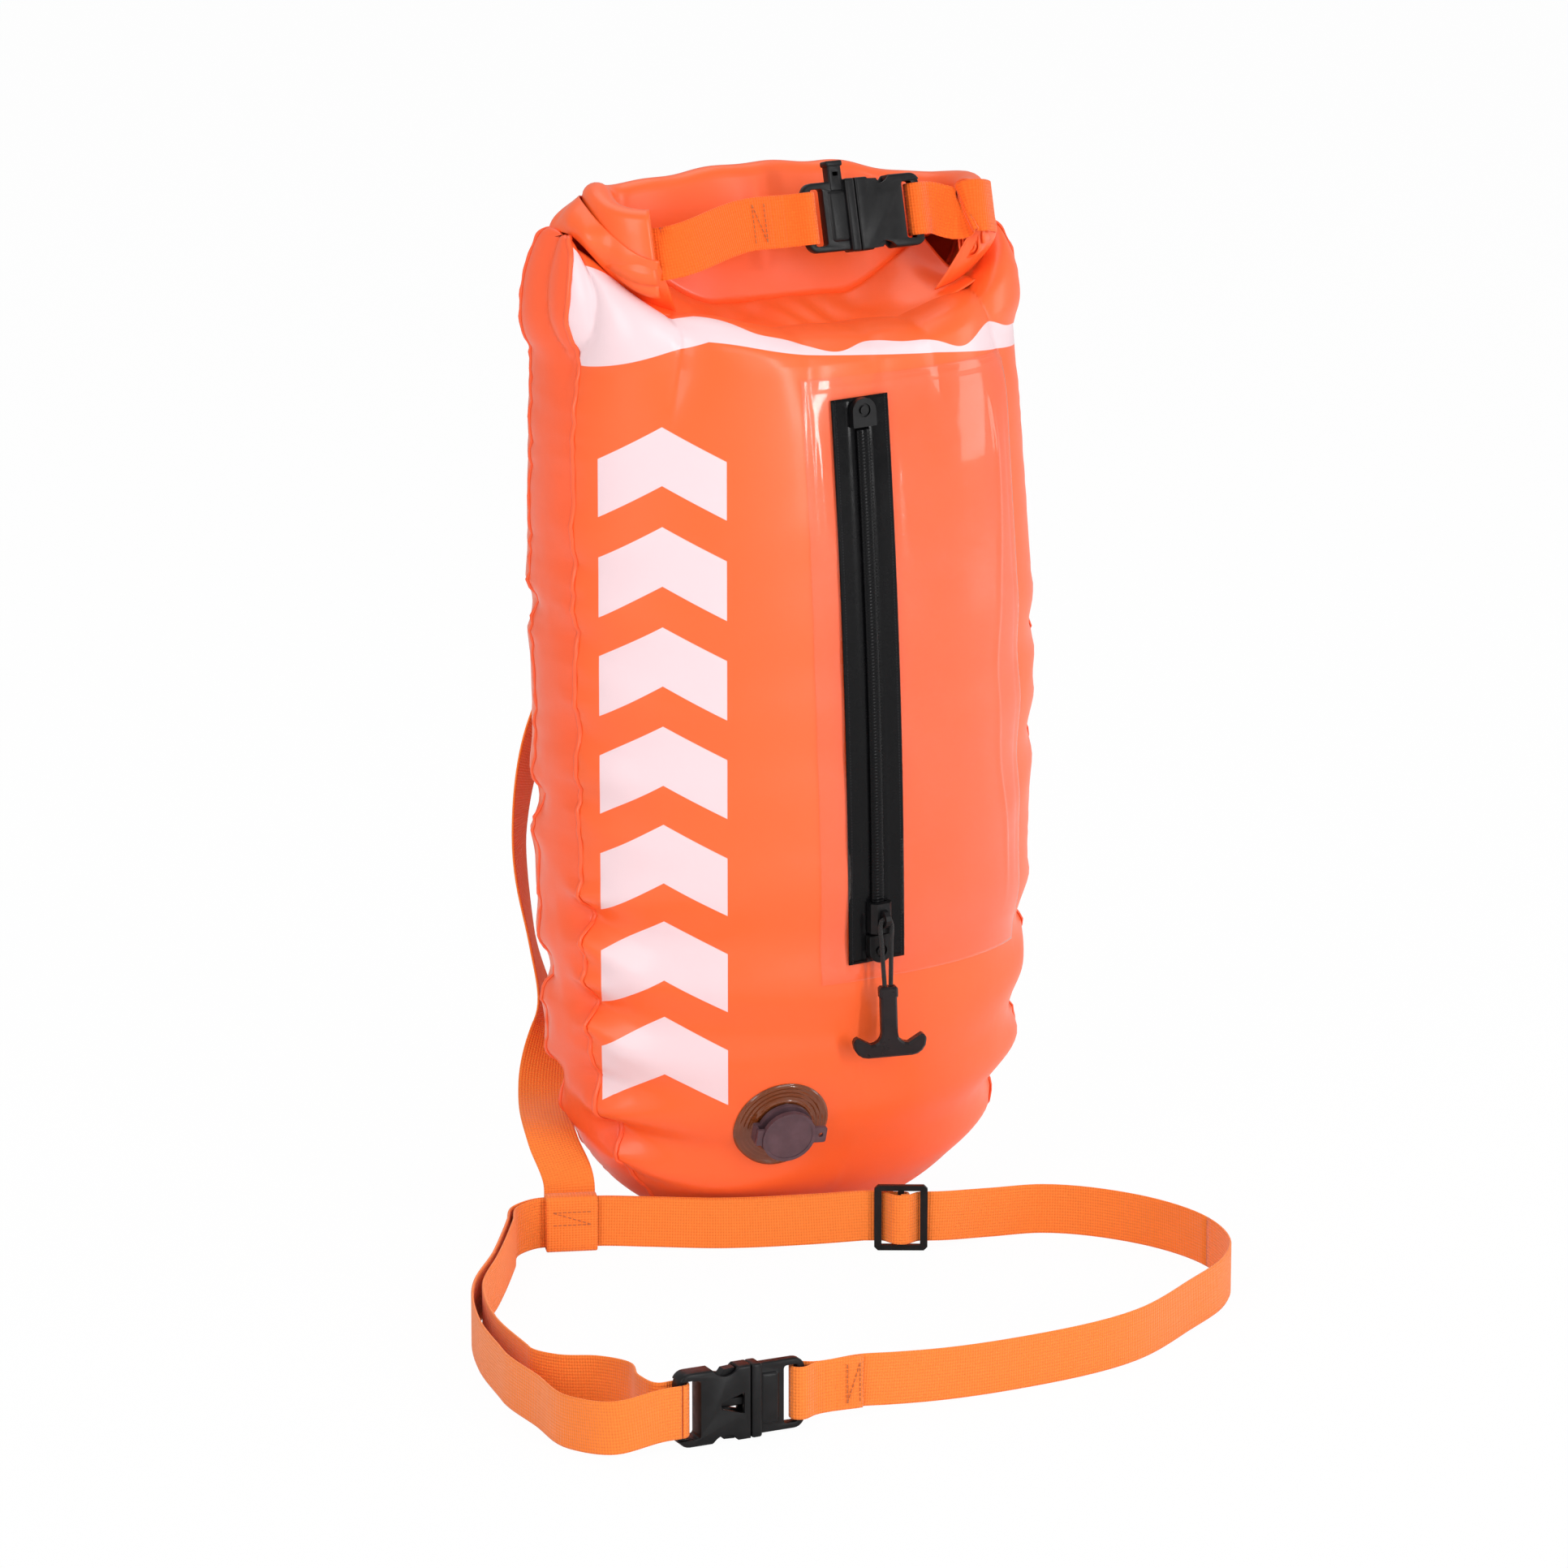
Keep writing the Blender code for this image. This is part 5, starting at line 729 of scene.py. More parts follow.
class NodeSheet:
    """A material's nodes, added one by one and joined."""

    def __init__(self, name):
        self.material = bpy.data.materials.new(name)
        self.material.use_nodes = True
        self.tree = self.material.node_tree
        self.shader = next(n for n in self.tree.nodes if n.type == "BSDF_PRINCIPLED")

    def node(self, kind, **values):
        node = self.tree.nodes.new(kind)
        for key, value in values.items():
            setattr(node, key, value)
        return node

    def join(self, source, target):
        self.tree.links.new(source, target)

    def put(self, value, target):
        """Give a socket a number, a colour or another socket's output."""
        if isinstance(value, tuple):
            target.default_value = (*value[:3], 1)
        elif isinstance(value, (int, float)):
            target.default_value = value
        else:
            self.join(value, target)

    def math(self, operation, *values):
        """A Math node; each value is a number or a socket."""
        node = self.node("ShaderNodeMath", operation=operation)
        for socket, value in zip(node.inputs, values):
            self.put(value, socket)
        return node.outputs[0]

    def times(self, *values):
        return self.math("MULTIPLY", *values)

    def plus(self, *values):
        return self.math("ADD", *values)

    def minus(self, *values):
        return self.math("SUBTRACT", *values)

    def size(self, value):
        return self.math("ABSOLUTE", value)

    def sine(self, value):
        return self.math("SINE", value)

    def wave(self, value, pitch):
        return self.sine(self.times(value, math.tau / pitch))

    def place(self, uv=False):
        """The object coordinates, or the piece's own UV in metres."""
        if uv:
            return self.node("ShaderNodeUVMap", uv_map="Metres").outputs[0]
        return self.node("ShaderNodeTexCoord").outputs["Object"]

    def split(self, uv=False):
        """The x, y and z of the place."""
        parts = self.node("ShaderNodeSeparateXYZ")
        self.join(self.place(uv), parts.inputs[0])
        return parts.outputs

    def noise(self, scale, detail=3.0, rough=0.5):
        node = self.node("ShaderNodeTexNoise")
        self.join(self.place(), node.inputs["Vector"])
        for name, value in (("Scale", scale), ("Detail", detail), ("Roughness", rough)):
            node.inputs[name].default_value = value
        return node.outputs[0]

    def span(self, value, low, high, start, end, kind="LINEAR"):
        """Map a value from one range to another, held at the ends."""
        node = self.node("ShaderNodeMapRange", interpolation_type=kind)
        for socket, number in zip(list(node.inputs)[1:5], (low, high, start, end)):
            socket.default_value = number
        self.join(value, node.inputs[0])
        return node.outputs[0]

    def mix(self, share, first, second):
        """Blend two colours; each is a tuple or a socket."""
        node = self.node("ShaderNodeMix", data_type="RGBA")
        for socket, value in zip((node.inputs["Factor"], node.inputs[6], node.inputs[7]), (share, first, second)):
            self.put(value, socket)
        return node.outputs[2]

    def bump(self, height, distance, strength=1.0, after=None):
        node = self.node("ShaderNodeBump")
        node.inputs["Strength"].default_value = strength
        node.inputs["Distance"].default_value = distance
        self.join(height, node.inputs["Height"])
        if after is not None:
            self.join(after, node.inputs["Normal"])
        return node.outputs[0]

    def blend(self, share, first, second):
        """Blend the first outputs of two shader nodes."""
        node = self.node("ShaderNodeMixShader")
        for source, target in zip((share, first.outputs[0], second.outputs[0]), node.inputs):
            self.join(source, target)
        return node

    def surface(self, shader):
        """Let a shader node show as the material's surface."""
        output = next(n for n in self.tree.nodes if n.type == "OUTPUT_MATERIAL")
        self.join(shader.outputs[0], output.inputs["Surface"])
        return self.material

    def finish(self, colour, roughness, normal=None, **sockets):
        """Join or set the shader's colour, roughness, normal and other sockets."""
        sockets.update({"Base Color": colour, "Roughness": roughness})
        if normal is not None:
            sockets["Normal"] = normal
        for name, value in sockets.items():
            self.put(value, self.shader.inputs[name.replace("_", " ")])
        return self.material


def once(usual_name=None):
    """Decorate a finish so that its material is made under its name on the first call and kept."""
    def decorate(build):
        def finish(name=usual_name, *values, **options):
            return bpy.data.materials.get(name) or build(NodeSheet(name), *values, **options)
        return finish
    return decorate


def tint(name):
    return tuple(getattr(bpy.context.scene.swim_buoy, name))


def darker(colour, share):
    return tuple(part * share for part in colour)


@once()
def coated_fabric(sheet, colour, printed):
    """Film-coated nylon: satin, a faint weave under the coat, slightly uneven colour."""
    cloud = sheet.noise(9.0, 2.0)
    base = sheet.mix(sheet.span(cloud, 0.35, 0.65, 0.0, 1.0), darker(colour, 0.95), colour)
    weave = weave_height(sheet, 0.00045)
    if printed:
        base = sheet.mix(print_mask(sheet), base, tint("print_colour"))
    fine = sheet.bump(weave, 0.00002, 0.35)
    soft = sheet.bump(sheet.noise(55.0, 4.0, 0.55), 0.0011, 0.2, fine)
    rough = sheet.span(sheet.noise(30.0, 3.0), 0.3, 0.7, 0.36, 0.46)
    return sheet.finish(base, rough, soft, Coat_Weight=0.22, Coat_Roughness=0.17, Specular_IOR_Level=0.4)


def weave_height(sheet, pitch):
    """A plain weave from the piece's UV, in threads of the given pitch."""
    u, v, _ = sheet.split(uv=True)
    first = sheet.wave(u, pitch)
    second = sheet.wave(v, pitch)
    return sheet.times(first, second)


def inside(sheet, value, low, high, soft=0.00015):
    """One where a value lies between two limits, with a soft edge."""
    first = sheet.span(value, low - soft, low + soft, 0.0, 1.0)
    second = sheet.span(value, high - soft, high + soft, 1.0, 0.0)
    return sheet.times(first, second)


def print_mask(sheet):
    """Where the pale print lies on the front: a wavy shoulder band and the chevrons."""
    x, y, z = sheet.split()
    v = sheet.split(uv=True)[1]
    slope = sheet.times(x, -0.13)
    lower = sheet.plus(slope, sheet.span(x, -0.128, -0.078, -0.0185, 0.0055))
    long = sheet.sine(sheet.times(x, 88.0))
    short = sheet.sine(sheet.plus(sheet.times(x, 171.0), 1.1))
    wave = sheet.plus(sheet.times(long, 0.004), sheet.times(short, 0.0022))
    depth = sheet.span(x, -0.112, -0.052, 0.044, 0.0092, "SMOOTHSTEP")
    upper = sheet.plus(sheet.plus(lower, depth), wave)
    over = sheet.span(sheet.minus(v, lower), -0.0002, 0.0002, 0.0, 1.0)
    under = sheet.span(sheet.minus(upper, v), -0.0002, 0.0002, 0.0, 1.0)
    band = sheet.times(over, under)
    turned = sheet.minus(sheet.times(x, 0.866), sheet.times(y, 0.5))
    slant = sheet.times(sheet.size(sheet.minus(turned, BAR_MIDDLE)), BAR_SLANT)
    level = sheet.plus(sheet.minus(z, BAR_FOOT), slant)
    share = sheet.math("FRACT", sheet.math("DIVIDE", level, BAR_PITCH))
    bar = inside(sheet, share, 0.004, BAR_FILL, 0.003)
    column = inside(sheet, turned, BAR_LEFT, BAR_RIGHT)
    rise = inside(sheet, level, 0.0005, BAR_TOP - BAR_FOOT + BAR_PITCH * BAR_FILL)
    front = sheet.span(y, -0.012, -0.01, 1.0, 0.0)
    bars = sheet.times(sheet.times(bar, column), sheet.times(rise, front))
    return sheet.math("MAXIMUM", band, bars)


@once("webbing_weave")
def webbing_finish(sheet, colour_name="webbing_colour"):
    """Woven webbing: fine ribs across it, a groove by each edge, painted shade in the weave's low valleys, matt with
    a soft sheen.
    """
    pitch, colour = bpy.context.scene.swim_buoy.rib_pitch, tint(colour_name)
    u, v, _ = sheet.split(uv=True)
    ribs = sheet.wave(u, pitch)
    half_turn = sheet.times(v, math.pi / (pitch * 1.15))
    warp = sheet.size(sheet.sine(half_turn))
    height = sheet.plus(sheet.times(ribs, 0.5), warp)
    fuzz = sheet.noise(1400.0, 2.0)
    height = sheet.plus(height, sheet.times(fuzz, 0.5))
    # Painted shade: the colour is darkened where the weave's height is low, in the valleys between the ribs.
    valley_shade = sheet.span(height, -0.2, 1.1, 0.0, 1.0)
    base = sheet.mix(valley_shade, darker(colour, 0.86), colour)
    base = sheet.mix(sheet.span(sheet.noise(60.0, 3.0), 0.35, 0.65, 0.0, 0.12), base, darker(colour, 0.88))
    normal = sheet.bump(height, 0.00028, 0.8)
    return sheet.finish(base, 0.72, normal, Sheen_Weight=0.25, Sheen_Roughness=0.4, Specular_IOR_Level=0.3)


@once()
def moulded_plastic(sheet, colour, roughness=0.38, coat=0.0):
    """Injection-moulded plastic: a fine spark-eroded grain and faint wear."""
    grainy = sheet.noise(3200.0, 2.0)
    flow = sheet.noise(140.0, 3.0)
    base = sheet.mix(sheet.span(flow, 0.4, 0.7, 0.0, 1.0), colour, tuple(c * 1.25 + 0.002 for c in colour))
    rough = sheet.span(sheet.noise(400.0, 4.0), 0.3, 0.7, roughness - 0.05, roughness + 0.06)
    normal = sheet.bump(grainy, 0.00004, 0.5)
    return sheet.finish(base, rough, normal, Coat_Weight=coat, Coat_Roughness=0.1, Specular_IOR_Level=0.22)


def black_plastic():
    return moulded_plastic("black_acetal", tint("plastic_colour"))


def shell_finish():
    return coated_fabric("shell_fabric_plain", tint("shell_colour"), False)


def gusset_finish():
    return coated_fabric("gusset_fabric_coated", tint("gusset_colour"), False)


def cord_finish():
    return braided("pull_cord_braid", tint("plastic_colour"), 0.0012)


@once("coated_zip_tape")
def coated_tape(sheet):
    """The zip's black film-coated tape: glossy, with the coil's faint ripple below it."""
    u, v, _ = sheet.split(uv=True)
    ripple = sheet.wave(u, 0.0016)
    near = sheet.span(sheet.size(v), 0.005, 0.003, 0.0, 1.0)
    stitch = edge_dots(sheet, u, v)
    height = sheet.plus(sheet.times(ripple, near), sheet.times(stitch, 2.0))
    height = sheet.plus(height, sheet.times(sheet.noise(180.0, 3.0), 1.2))
    base = sheet.mix(stitch, (0.003, 0.003, 0.0035), (0.016, 0.016, 0.018))
    normal = sheet.bump(height, 0.0001, 0.6)
    rough = sheet.span(sheet.noise(90.0, 4.0), 0.3, 0.7, 0.2, 0.34)
    return sheet.finish(base, rough, normal, Coat_Weight=0.07, Coat_Roughness=0.05, Specular_IOR_Level=0.09)


def edge_dots(sheet, u, v):
    """A line of small dots along each edge of the tape."""
    away = sheet.size(v)
    line = inside(sheet, away, 0.01335, 0.01385, 0.0001)
    along = sheet.math("FRACT", sheet.math("DIVIDE", u, 0.0014))
    return sheet.times(line, inside(sheet, along, 0.2, 0.7, 0.1))


@once("clear_pocket_film")
def clear_film(sheet):
    """Clear flexible film: glossy, a little milky, cloudier in soft random patches."""
    normal = sheet.bump(sheet.noise(34.0, 3.0), 0.0012, 0.3)
    fresnel = sheet.node("ShaderNodeFresnel")
    fresnel.inputs["IOR"].default_value = 1.42
    sheet.join(normal, fresnel.inputs["Normal"])
    glossy = sheet.node("ShaderNodeBsdfGlossy")
    glossy.inputs["Roughness"].default_value = 0.09
    sheet.join(normal, glossy.inputs["Normal"])
    clear = sheet.node("ShaderNodeBsdfTransparent")
    clear.inputs["Color"].default_value = (1.0, 0.97, 0.96, 1)
    cloud = sheet.span(sheet.noise(26.0, 4.0), 0.4, 0.72, 0.0, 0.016)
    haze = sheet.plus(cloud, bpy.context.scene.swim_buoy.film_haze)
    sheet.finish(tint("film_colour"), 0.3, normal)
    front = sheet.minus(1.0, sheet.node("ShaderNodeNewGeometry").outputs["Backfacing"])
    milky = sheet.blend(haze, clear, sheet.shader)
    return sheet.surface(sheet.blend(sheet.times(fresnel.outputs[0], front), milky, glossy))


@once()
def rubbery(sheet, colour, roughness=0.5, shine=0.5):
    """Moulded rubber, soft film or plain sheet, a little dusty."""
    fine = sheet.noise(1500.0, 3.0)
    dust = sheet.span(sheet.noise(120.0, 4.0), 0.45, 0.75, 0.0, 0.5)
    base = sheet.mix(dust, colour, tuple(c * 1.5 + 0.004 for c in colour))
    rough = sheet.span(sheet.noise(300.0, 3.0), 0.3, 0.7, roughness - 0.06, roughness + 0.06)
    return sheet.finish(base, rough, sheet.bump(fine, 0.00005, 0.4), Specular_IOR_Level=shine)


@once()
def braided(sheet, colour, pitch):
    """A braided cord, its strands crossing along the UV, with painted shade in the grooves between them."""
    u, v, _ = sheet.split(uv=True)
    ups = sheet.wave(sheet.plus(u, v), pitch)
    downs = sheet.wave(sheet.minus(u, v), pitch)
    height = sheet.math("MAXIMUM", ups, downs)
    # Painted shade: the colour darkens to 0.4 of itself where the strands' height is low, in the grooves between
    # them.
    base = sheet.mix(sheet.span(height, -0.2, 1.0, 0.0, 1.0), darker(colour, 0.4), colour)
    return sheet.finish(base, 0.7, sheet.bump(height, 0.0002, 0.9), Sheen_Weight=0.1)


@once("flange_vinyl")
def translucent_flange(sheet):
    """Soft brown vinyl that lets the orange of the bag through."""
    cloud = sheet.span(sheet.noise(120.0, 3.0), 0.3, 0.7, 0.74, 0.86)
    normal = sheet.bump(sheet.noise(260.0, 3.0), 0.0002, 0.2)
    return sheet.finish(tint("flange_colour"), 0.14, normal, Coat_Weight=0.5, Coat_Roughness=0.06, Alpha=cloud)


# ---- Modelling by hand: starts, picks and edits ----

def start(operator, name, **sizes):
    """Add a primitive at its size and place, alone in the selection."""
    bpy.ops.object.select_all(action="DESELECT")
    operator(**sizes)
    obj = bpy.context.active_object
    obj.name = obj.data.name = name
    return obj


def pick(obj, test, kind="FACE"):
    """Select the faces or edges that pass a test on their middle and normal."""
    bpy.ops.object.mode_set(mode="EDIT")
    bpy.ops.mesh.select_mode(type=kind)
    bpy.ops.mesh.select_all(action="DESELECT")
    bm = bmesh.from_edit_mesh(obj.data)
    bm.normal_update()
    if kind == "FACE":
        for face in bm.faces:
            face.select_set(bool(test(face.calc_center_median(), face.normal)))
    else:
        for edge in bm.edges:
            if len(edge.link_faces) == 2:
                middle = (edge.verts[0].co + edge.verts[1].co) / 2
                edge.select_set(bool(test(middle, edge.calc_face_angle(0))))
    bmesh.update_edit_mesh(obj.data)


def leave():
    bpy.ops.object.mode_set(mode="OBJECT")


def bevel(obj, test, width, segments=3):
    """Round the edges that pass a test."""
    pick(obj, test, "EDGE")
    bpy.ops.mesh.bevel(offset=width, segments=segments, affect="EDGES")
    leave()


def combine(obj, tool, operation):
    """Change a piece by a tool and remove the tool."""
    step = obj.modifiers.new("Shape", "BOOLEAN")
    step.object, step.operation, step.solver = tool, operation, "EXACT"
    apply_all(obj)
    bpy.data.objects.remove(tool)


def cut(obj, tool):
    combine(obj, tool, "DIFFERENCE")


def fuse(obj, tool):
    combine(obj, tool, "UNION")


def rim(level):
    """A test for the sharp edges above a level."""
    return lambda middle, angle: middle.z > level and angle > 1.0


def seat(obj, place, finish, slot, body, *nodes):
    """Set a modelled piece in its place, finish it and let it ride on its body."""
    settle(obj)
    obj.data.transform(place)
    obj.data.materials.clear()
    obj.data.materials.append(finish)
    select_only(obj)
    bpy.ops.object.shade_smooth_by_angle(angle=math.radians(35))
    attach(obj, body)
    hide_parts(*nodes)


def block(name, low, high):
    """A block between two corners, as a start for a shape or a cut."""
    low, high = Vector(low), Vector(high)
    obj = start(bpy.ops.mesh.primitive_cube_add, name, size=1, location=(low + high) / 2)
    bpy.ops.transform.resize(value=high - low)
    bpy.ops.object.transform_apply(location=True, rotation=True, scale=True)
    return obj


def drum(name, radius, low, high, place=(0, 0), sides=64):
    """A round start on the frame's own z."""
    return start(bpy.ops.mesh.primitive_cylinder_add, name, vertices=sides, radius=radius,
                 depth=high - low, location=(*place, (low + high) / 2))


def settle(obj):
    """Put a piece's place into its mesh."""
    obj.data.transform(obj.matrix_world)
    obj.matrix_world = Matrix.Identity(4)
    return obj


def paint_node(node, finish):
    """Give a frame node that stays its own finish."""
    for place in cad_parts[node].material_slots:
        place.material = finish


# ---- The air-filled bag ----

def skin_grid(kind):
    """Points and seam distances of the front (-1) or back (1) panel, or of the gusset (0)."""
    rows = section_rows()
    grid, seams = [], []
    if kind:
        for index, row in enumerate(rows):
            half = gusset_half(row[1]) + 0.0002
            begin = math.asin(min(1, (half / row[1]) ** (row[4] / 2)))
            points = []
            for column in range(141):
                angle = begin + (math.pi - 2 * begin) * column / 140
                point = section_point(row, angle)
                points.append((point[0], kind * abs(point[1]), point[2]))
            if index == 0:
                for share in (0.0, 0.35, 0.7):
                    grid.append([(x, kind * half + (y - kind * half) * share, z) for x, y, z in points])
                    seams.append(gusset_half(row[1]))
            grid.append(points)
            seams.append(gusset_half(row[1]))
        return np.array(grid, float), seams
    for side in (-1, 1):
        for row in reversed(rows) if side < 0 else rows:
            half = gusset_half(row[1]) - 0.0002
            points = []
            for share in np.linspace(-1, 1, 23):
                y = share * half
                x = side * row[0] * (1 - abs(y / row[1]) ** row[4]) ** (1 / row[4])
                z = row[2] + side_rise(row[3], x / row[0])
                points.append((x + sway(z), y, z))
            grid.append(points)
            seams.append(gusset_half(row[1]))
        if side < 0:
            first, last = np.array(grid[-1]), np.array(grid[-1]) * (-1, 1, 1)
            for share in np.linspace(0, 1, 26)[1:-1]:
                grid.append((first * (1 - share) + last * share).tolist())
                seams.append(seams[-1])
    return np.array(grid, float), seams


def creased_grid(kind):
    """The skin's grid with its folds, and which way its faces point."""
    grid, seams = skin_grid(kind)
    normals = grid_normals(grid)
    middle = np.array((0, 0, BULGE_HEIGHT))
    outward = np.sum(normals * (grid - middle)) > 0
    if not outward:
        normals = -normals
    shown = grid.copy()
    for i, row in enumerate(grid):
        last = len(grid) - 1 - i
        fade = min(1.0, (last if kind else min(i, last)) / 9)
        for j, point in enumerate(row):
            shown[i, j] += normals[i, j] * crease(point, seams[i]) * fade
    if kind < 0:
        for point in shown.reshape(-1, 3):
            point[2] -= lip_sag(point[0]) * ease(point[2], 0.436, 0.466)
    shown[:, :, 2] = np.maximum(shown[:, :, 2], 0.0)
    return shown, not outward


def metre_uv(grid):
    """UV in metres: along the rows' middle, and across each row."""
    step_down = np.linalg.norm(np.diff(grid, axis=0), axis=2).mean(axis=1)
    v = np.concatenate(([0], np.cumsum(step_down)))
    step_over = np.linalg.norm(np.diff(grid, axis=1), axis=2)
    u = np.concatenate((np.zeros((len(grid), 1)), np.cumsum(step_over, axis=1)), axis=1)
    u = u - u[:, -1:] / 2
    v = v - v[np.argmin(np.abs(grid[:, 0, 2] - SHOULDER_START))]
    return np.stack((u, np.repeat(v[:, None], grid.shape[1], axis=1)), axis=2)


def make_skin(node, kind, finish):
    """One skin of the bag, with the valve's hole in the front one."""
    grid, flipped = creased_grid(kind)
    mesh = grid_mesh(node + "_skin", grid, uv=metre_uv(grid), flip=flipped)
    obj = link(node + "_skin", mesh, finish)
    mend(mesh, merge=True, outwards=False)
    thicken(obj, FABRIC_THICKNESS)
    if kind < 0:
        hole = settle(drum("valve_hole", 0.0075, -0.01, 0.01))
        hole.matrix_world = valve_frame()
        cut(obj, hole)
        obj.data.shade_smooth()
    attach(obj, "bag")
    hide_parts(node)


def make_seam_weld(name, edge):
    """The crimped weld along an edge of the gusset: a narrow lip with a wavy crest."""
    grid, flipped = creased_grid(0)
    normals = grid_normals(grid) * (-1 if flipped else 1)
    route = grid[:, edge]
    outs = normals[:, edge]
    rings, uv, along = [], [], 0.0
    half = 0.0015
    rise = ((-1.0, 0.0), (-0.86, 0.45), (-0.35, 0.85), (0.0, 1.0))
    profile = rise + tuple((-a, b) for a, b in rise[-2::-1]) + ((0.0, -0.4),)
    for i, point in enumerate(route):
        across = np.cross(heading(route, i), outs[i])
        if i:
            along += np.linalg.norm(point - route[i - 1])
        crest = 0.001 + 0.0004 * math.sin(along * 520) * math.sin(along * 93 + edge)
        shift = 0.0004 * math.sin(along * 310 + edge)
        rings.append([point + across * (half * a + shift) + outs[i] * crest * b for a, b in profile])
        uv.append([(along, a * half) for a, b in profile])
    rings = np.array(rings)
    rings[:, :, 2] = np.maximum(rings[:, :, 2], 0.0)
    mesh = grid_mesh(name, rings, around=True, uv=uv)
    close_ends(mesh, len(profile), len(rings))
    add_piece(name, mesh, gusset_finish(), "gusset_fabric")


def make_inner_bag():
    """The dry compartment inside: an open bag of thin film with a softly rippled wall."""
    rings = []
    for share in np.linspace(0, 1, 60):
        height = INNER_BASE + (SHOULDER_START - INNER_BASE) * share ** 1.2
        wall = FABRIC_THICKNESS + 2 * GAP + INNER_EASE * ease(height, 0.02, 0.1)
        wide = half_width(height - INNER_SETTLE) - wall
        row = (wide, half_depth(height) * INNER_DEPTH, height, 0.0, SECTION_POWER)
        ring = []
        for step in range(96):
            angle = 2 * math.pi * step / 96
            point = section_point(row, angle)
            ripple = 0.0007 * math.sin(angle * 9 + height * 55) * (1 - abs(math.cos(angle)) ** 6)
            ring.append(point * np.array((1 - abs(ripple) * 2, 1 - ripple * 8, 1)))
        rings.append(ring)
    mesh = grid_mesh("inner_dry_bag_film", rings, around=True)
    mend(mesh, [range(96)])
    film = rubbery("inner_film", tint("liner_colour"), 0.4)
    add_piece("inner_dry_bag_film", mesh, film, "liner_film", "inner_dry_bag", wall=FABRIC_THICKNESS)


# ---- The rolled mouth and its straps ----

def ring_distances():
    half = ring_half_length()
    bend = half - ROLL_STRAIGHT_HALF
    positive = [ROLL_STRAIGHT_HALF * i / 44 for i in range(44)]
    positive += [ROLL_STRAIGHT_HALF + bend * i / 34 for i in range(35)]
    return [-d for d in reversed(positive[1:])] + positive


def mouth_ripple(distance, height, low):
    """A small shared sway of all the turns: (depth, height)."""
    loose = ease(height, low + 0.004, low + 0.022)
    depth = 0.0011 * math.sin(distance * 88 + 0.9) * math.sin(height * 60 + distance * 31 + 1.2)
    rise = 0.0011 * math.sin(distance * 63 + 2.0) + 0.0005 * math.sin(distance * 171)
    return depth * loose, rise * loose


def make_rolled_mouth():
    """The mouth of the bag, rolled down and bent round into a ring."""
    layers = {1: [], -1: []}
    uv = []
    for distance in ring_distances():
        low, high = band_edges(distance)
        line = np.array([np.add(point, mouth_ripple(distance, point[1], low)) for point in spiral_section(low, high)])
        ways = np.gradient(line, axis=0)
        ways /= np.linalg.norm(ways, axis=1, keepdims=True)
        for side in layers:
            off = side * ROLL_SHEET / 2
            layers[side].append([ring_point(distance, a - w[1] * off, b + w[0] * off)
                                 for (a, b), w in zip(line, ways)])
        uv.append([(distance, length) for length in distances(line)])
    upper, lower = np.array(layers[1]), np.array(layers[-1])
    ring = np.concatenate((upper, lower[:, ::-1]), axis=1)
    uv = np.array(uv)
    uv = np.concatenate((uv, uv[:, ::-1]), axis=1)
    mesh = grid_mesh("rolled_mouth_fabric", ring, around=True, uv=uv)
    close_strip_ends(mesh, upper.shape[1], len(ring))
    add_piece("rolled_mouth_fabric", mesh, shell_finish(), "shell_fabric", "rolled_mouth")
    make_wing("shoulder_wing_left", -1)
    make_wing("shoulder_wing_right", 1)
    make_mouth_fold("mouth_throat", -1)
    make_mouth_fold("mouth_back", 1)


def highest_row(share):
    """The section of the bag that stands highest at a share of its width."""
    return max(section_rows(), key=lambda row: row[2] + side_rise(row[3], share))


def wing_foot(side, share):
    """A point on the shoulder's crest, from behind (-1) round the side to the front (1)."""
    row = highest_row(side)
    reach = WING_FRONT if share > 0 else WING_BACK
    angle = (math.pi if side < 0 else 0.0) + (share if side < 0 else -share) * reach
    return section_point(row, angle) + np.array((-side * 0.0015, 0, -0.002))


def wing_head(side, share):
    """A point on the outside of the mouth's ring that the wing is folded up to."""
    end = ring_half_length()
    turn = min(1.0, (share + 1) / 1.75)
    distance = ROLL_STRAIGHT_HALF - 0.012 + (end - ROLL_STRAIGHT_HALF + 0.0135) * turn
    inward = ease(share, 0.72, 1.0)
    depth = -(ROLL_RADIUS + 0.0014) * (1 - inward * 0.55)
    low, high = band_edges(side * min(distance, end))
    level = low + (high - low) * (0.9 - 0.5 * ease(share, -0.1, 0.85))
    return ring_point(side * distance, depth, level)


def add_fold(name, rows, columns, point, flip):
    """A fold of the bag's fabric; its points are given by how far down (0 to 1) and across (-1 to 1)."""
    grid = np.array([[point(i / rows, 2 * j / columns - 1) for j in range(columns + 1)] for i in range(rows + 1)])
    mesh = grid_mesh(name, grid, uv=metre_uv(grid), flip=flip)
    add_piece(name, mesh, shell_finish(), "shell_fabric", wall=FABRIC_THICKNESS)


def make_wing(name, side):
    """The shoulder's fabric, folded up from the bag's side to the end of the rolled mouth."""
    def point(up, share):
        foot, head = wing_foot(side, share), wing_head(side, share)
        fold = math.sin(share * 9.5 + side + up * 1.3) * 0.0016 + math.sin(share * 23 + up * 2.1) * 0.0007
        out = np.array((side * math.cos(share * 1.2), -math.sin(share * 1.2), 0.15))
        return foot + (head - foot) * up + out * math.sin(math.pi * up) * (0.0035 + fold)

    add_fold(name, 28, 72, point, side > 0)


def lip_sag(x):
    """How far the front lip sags at a place."""
    return LIP_DIP[2] * math.exp(-((x - LIP_DIP[0]) / LIP_DIP[1]) ** 4)


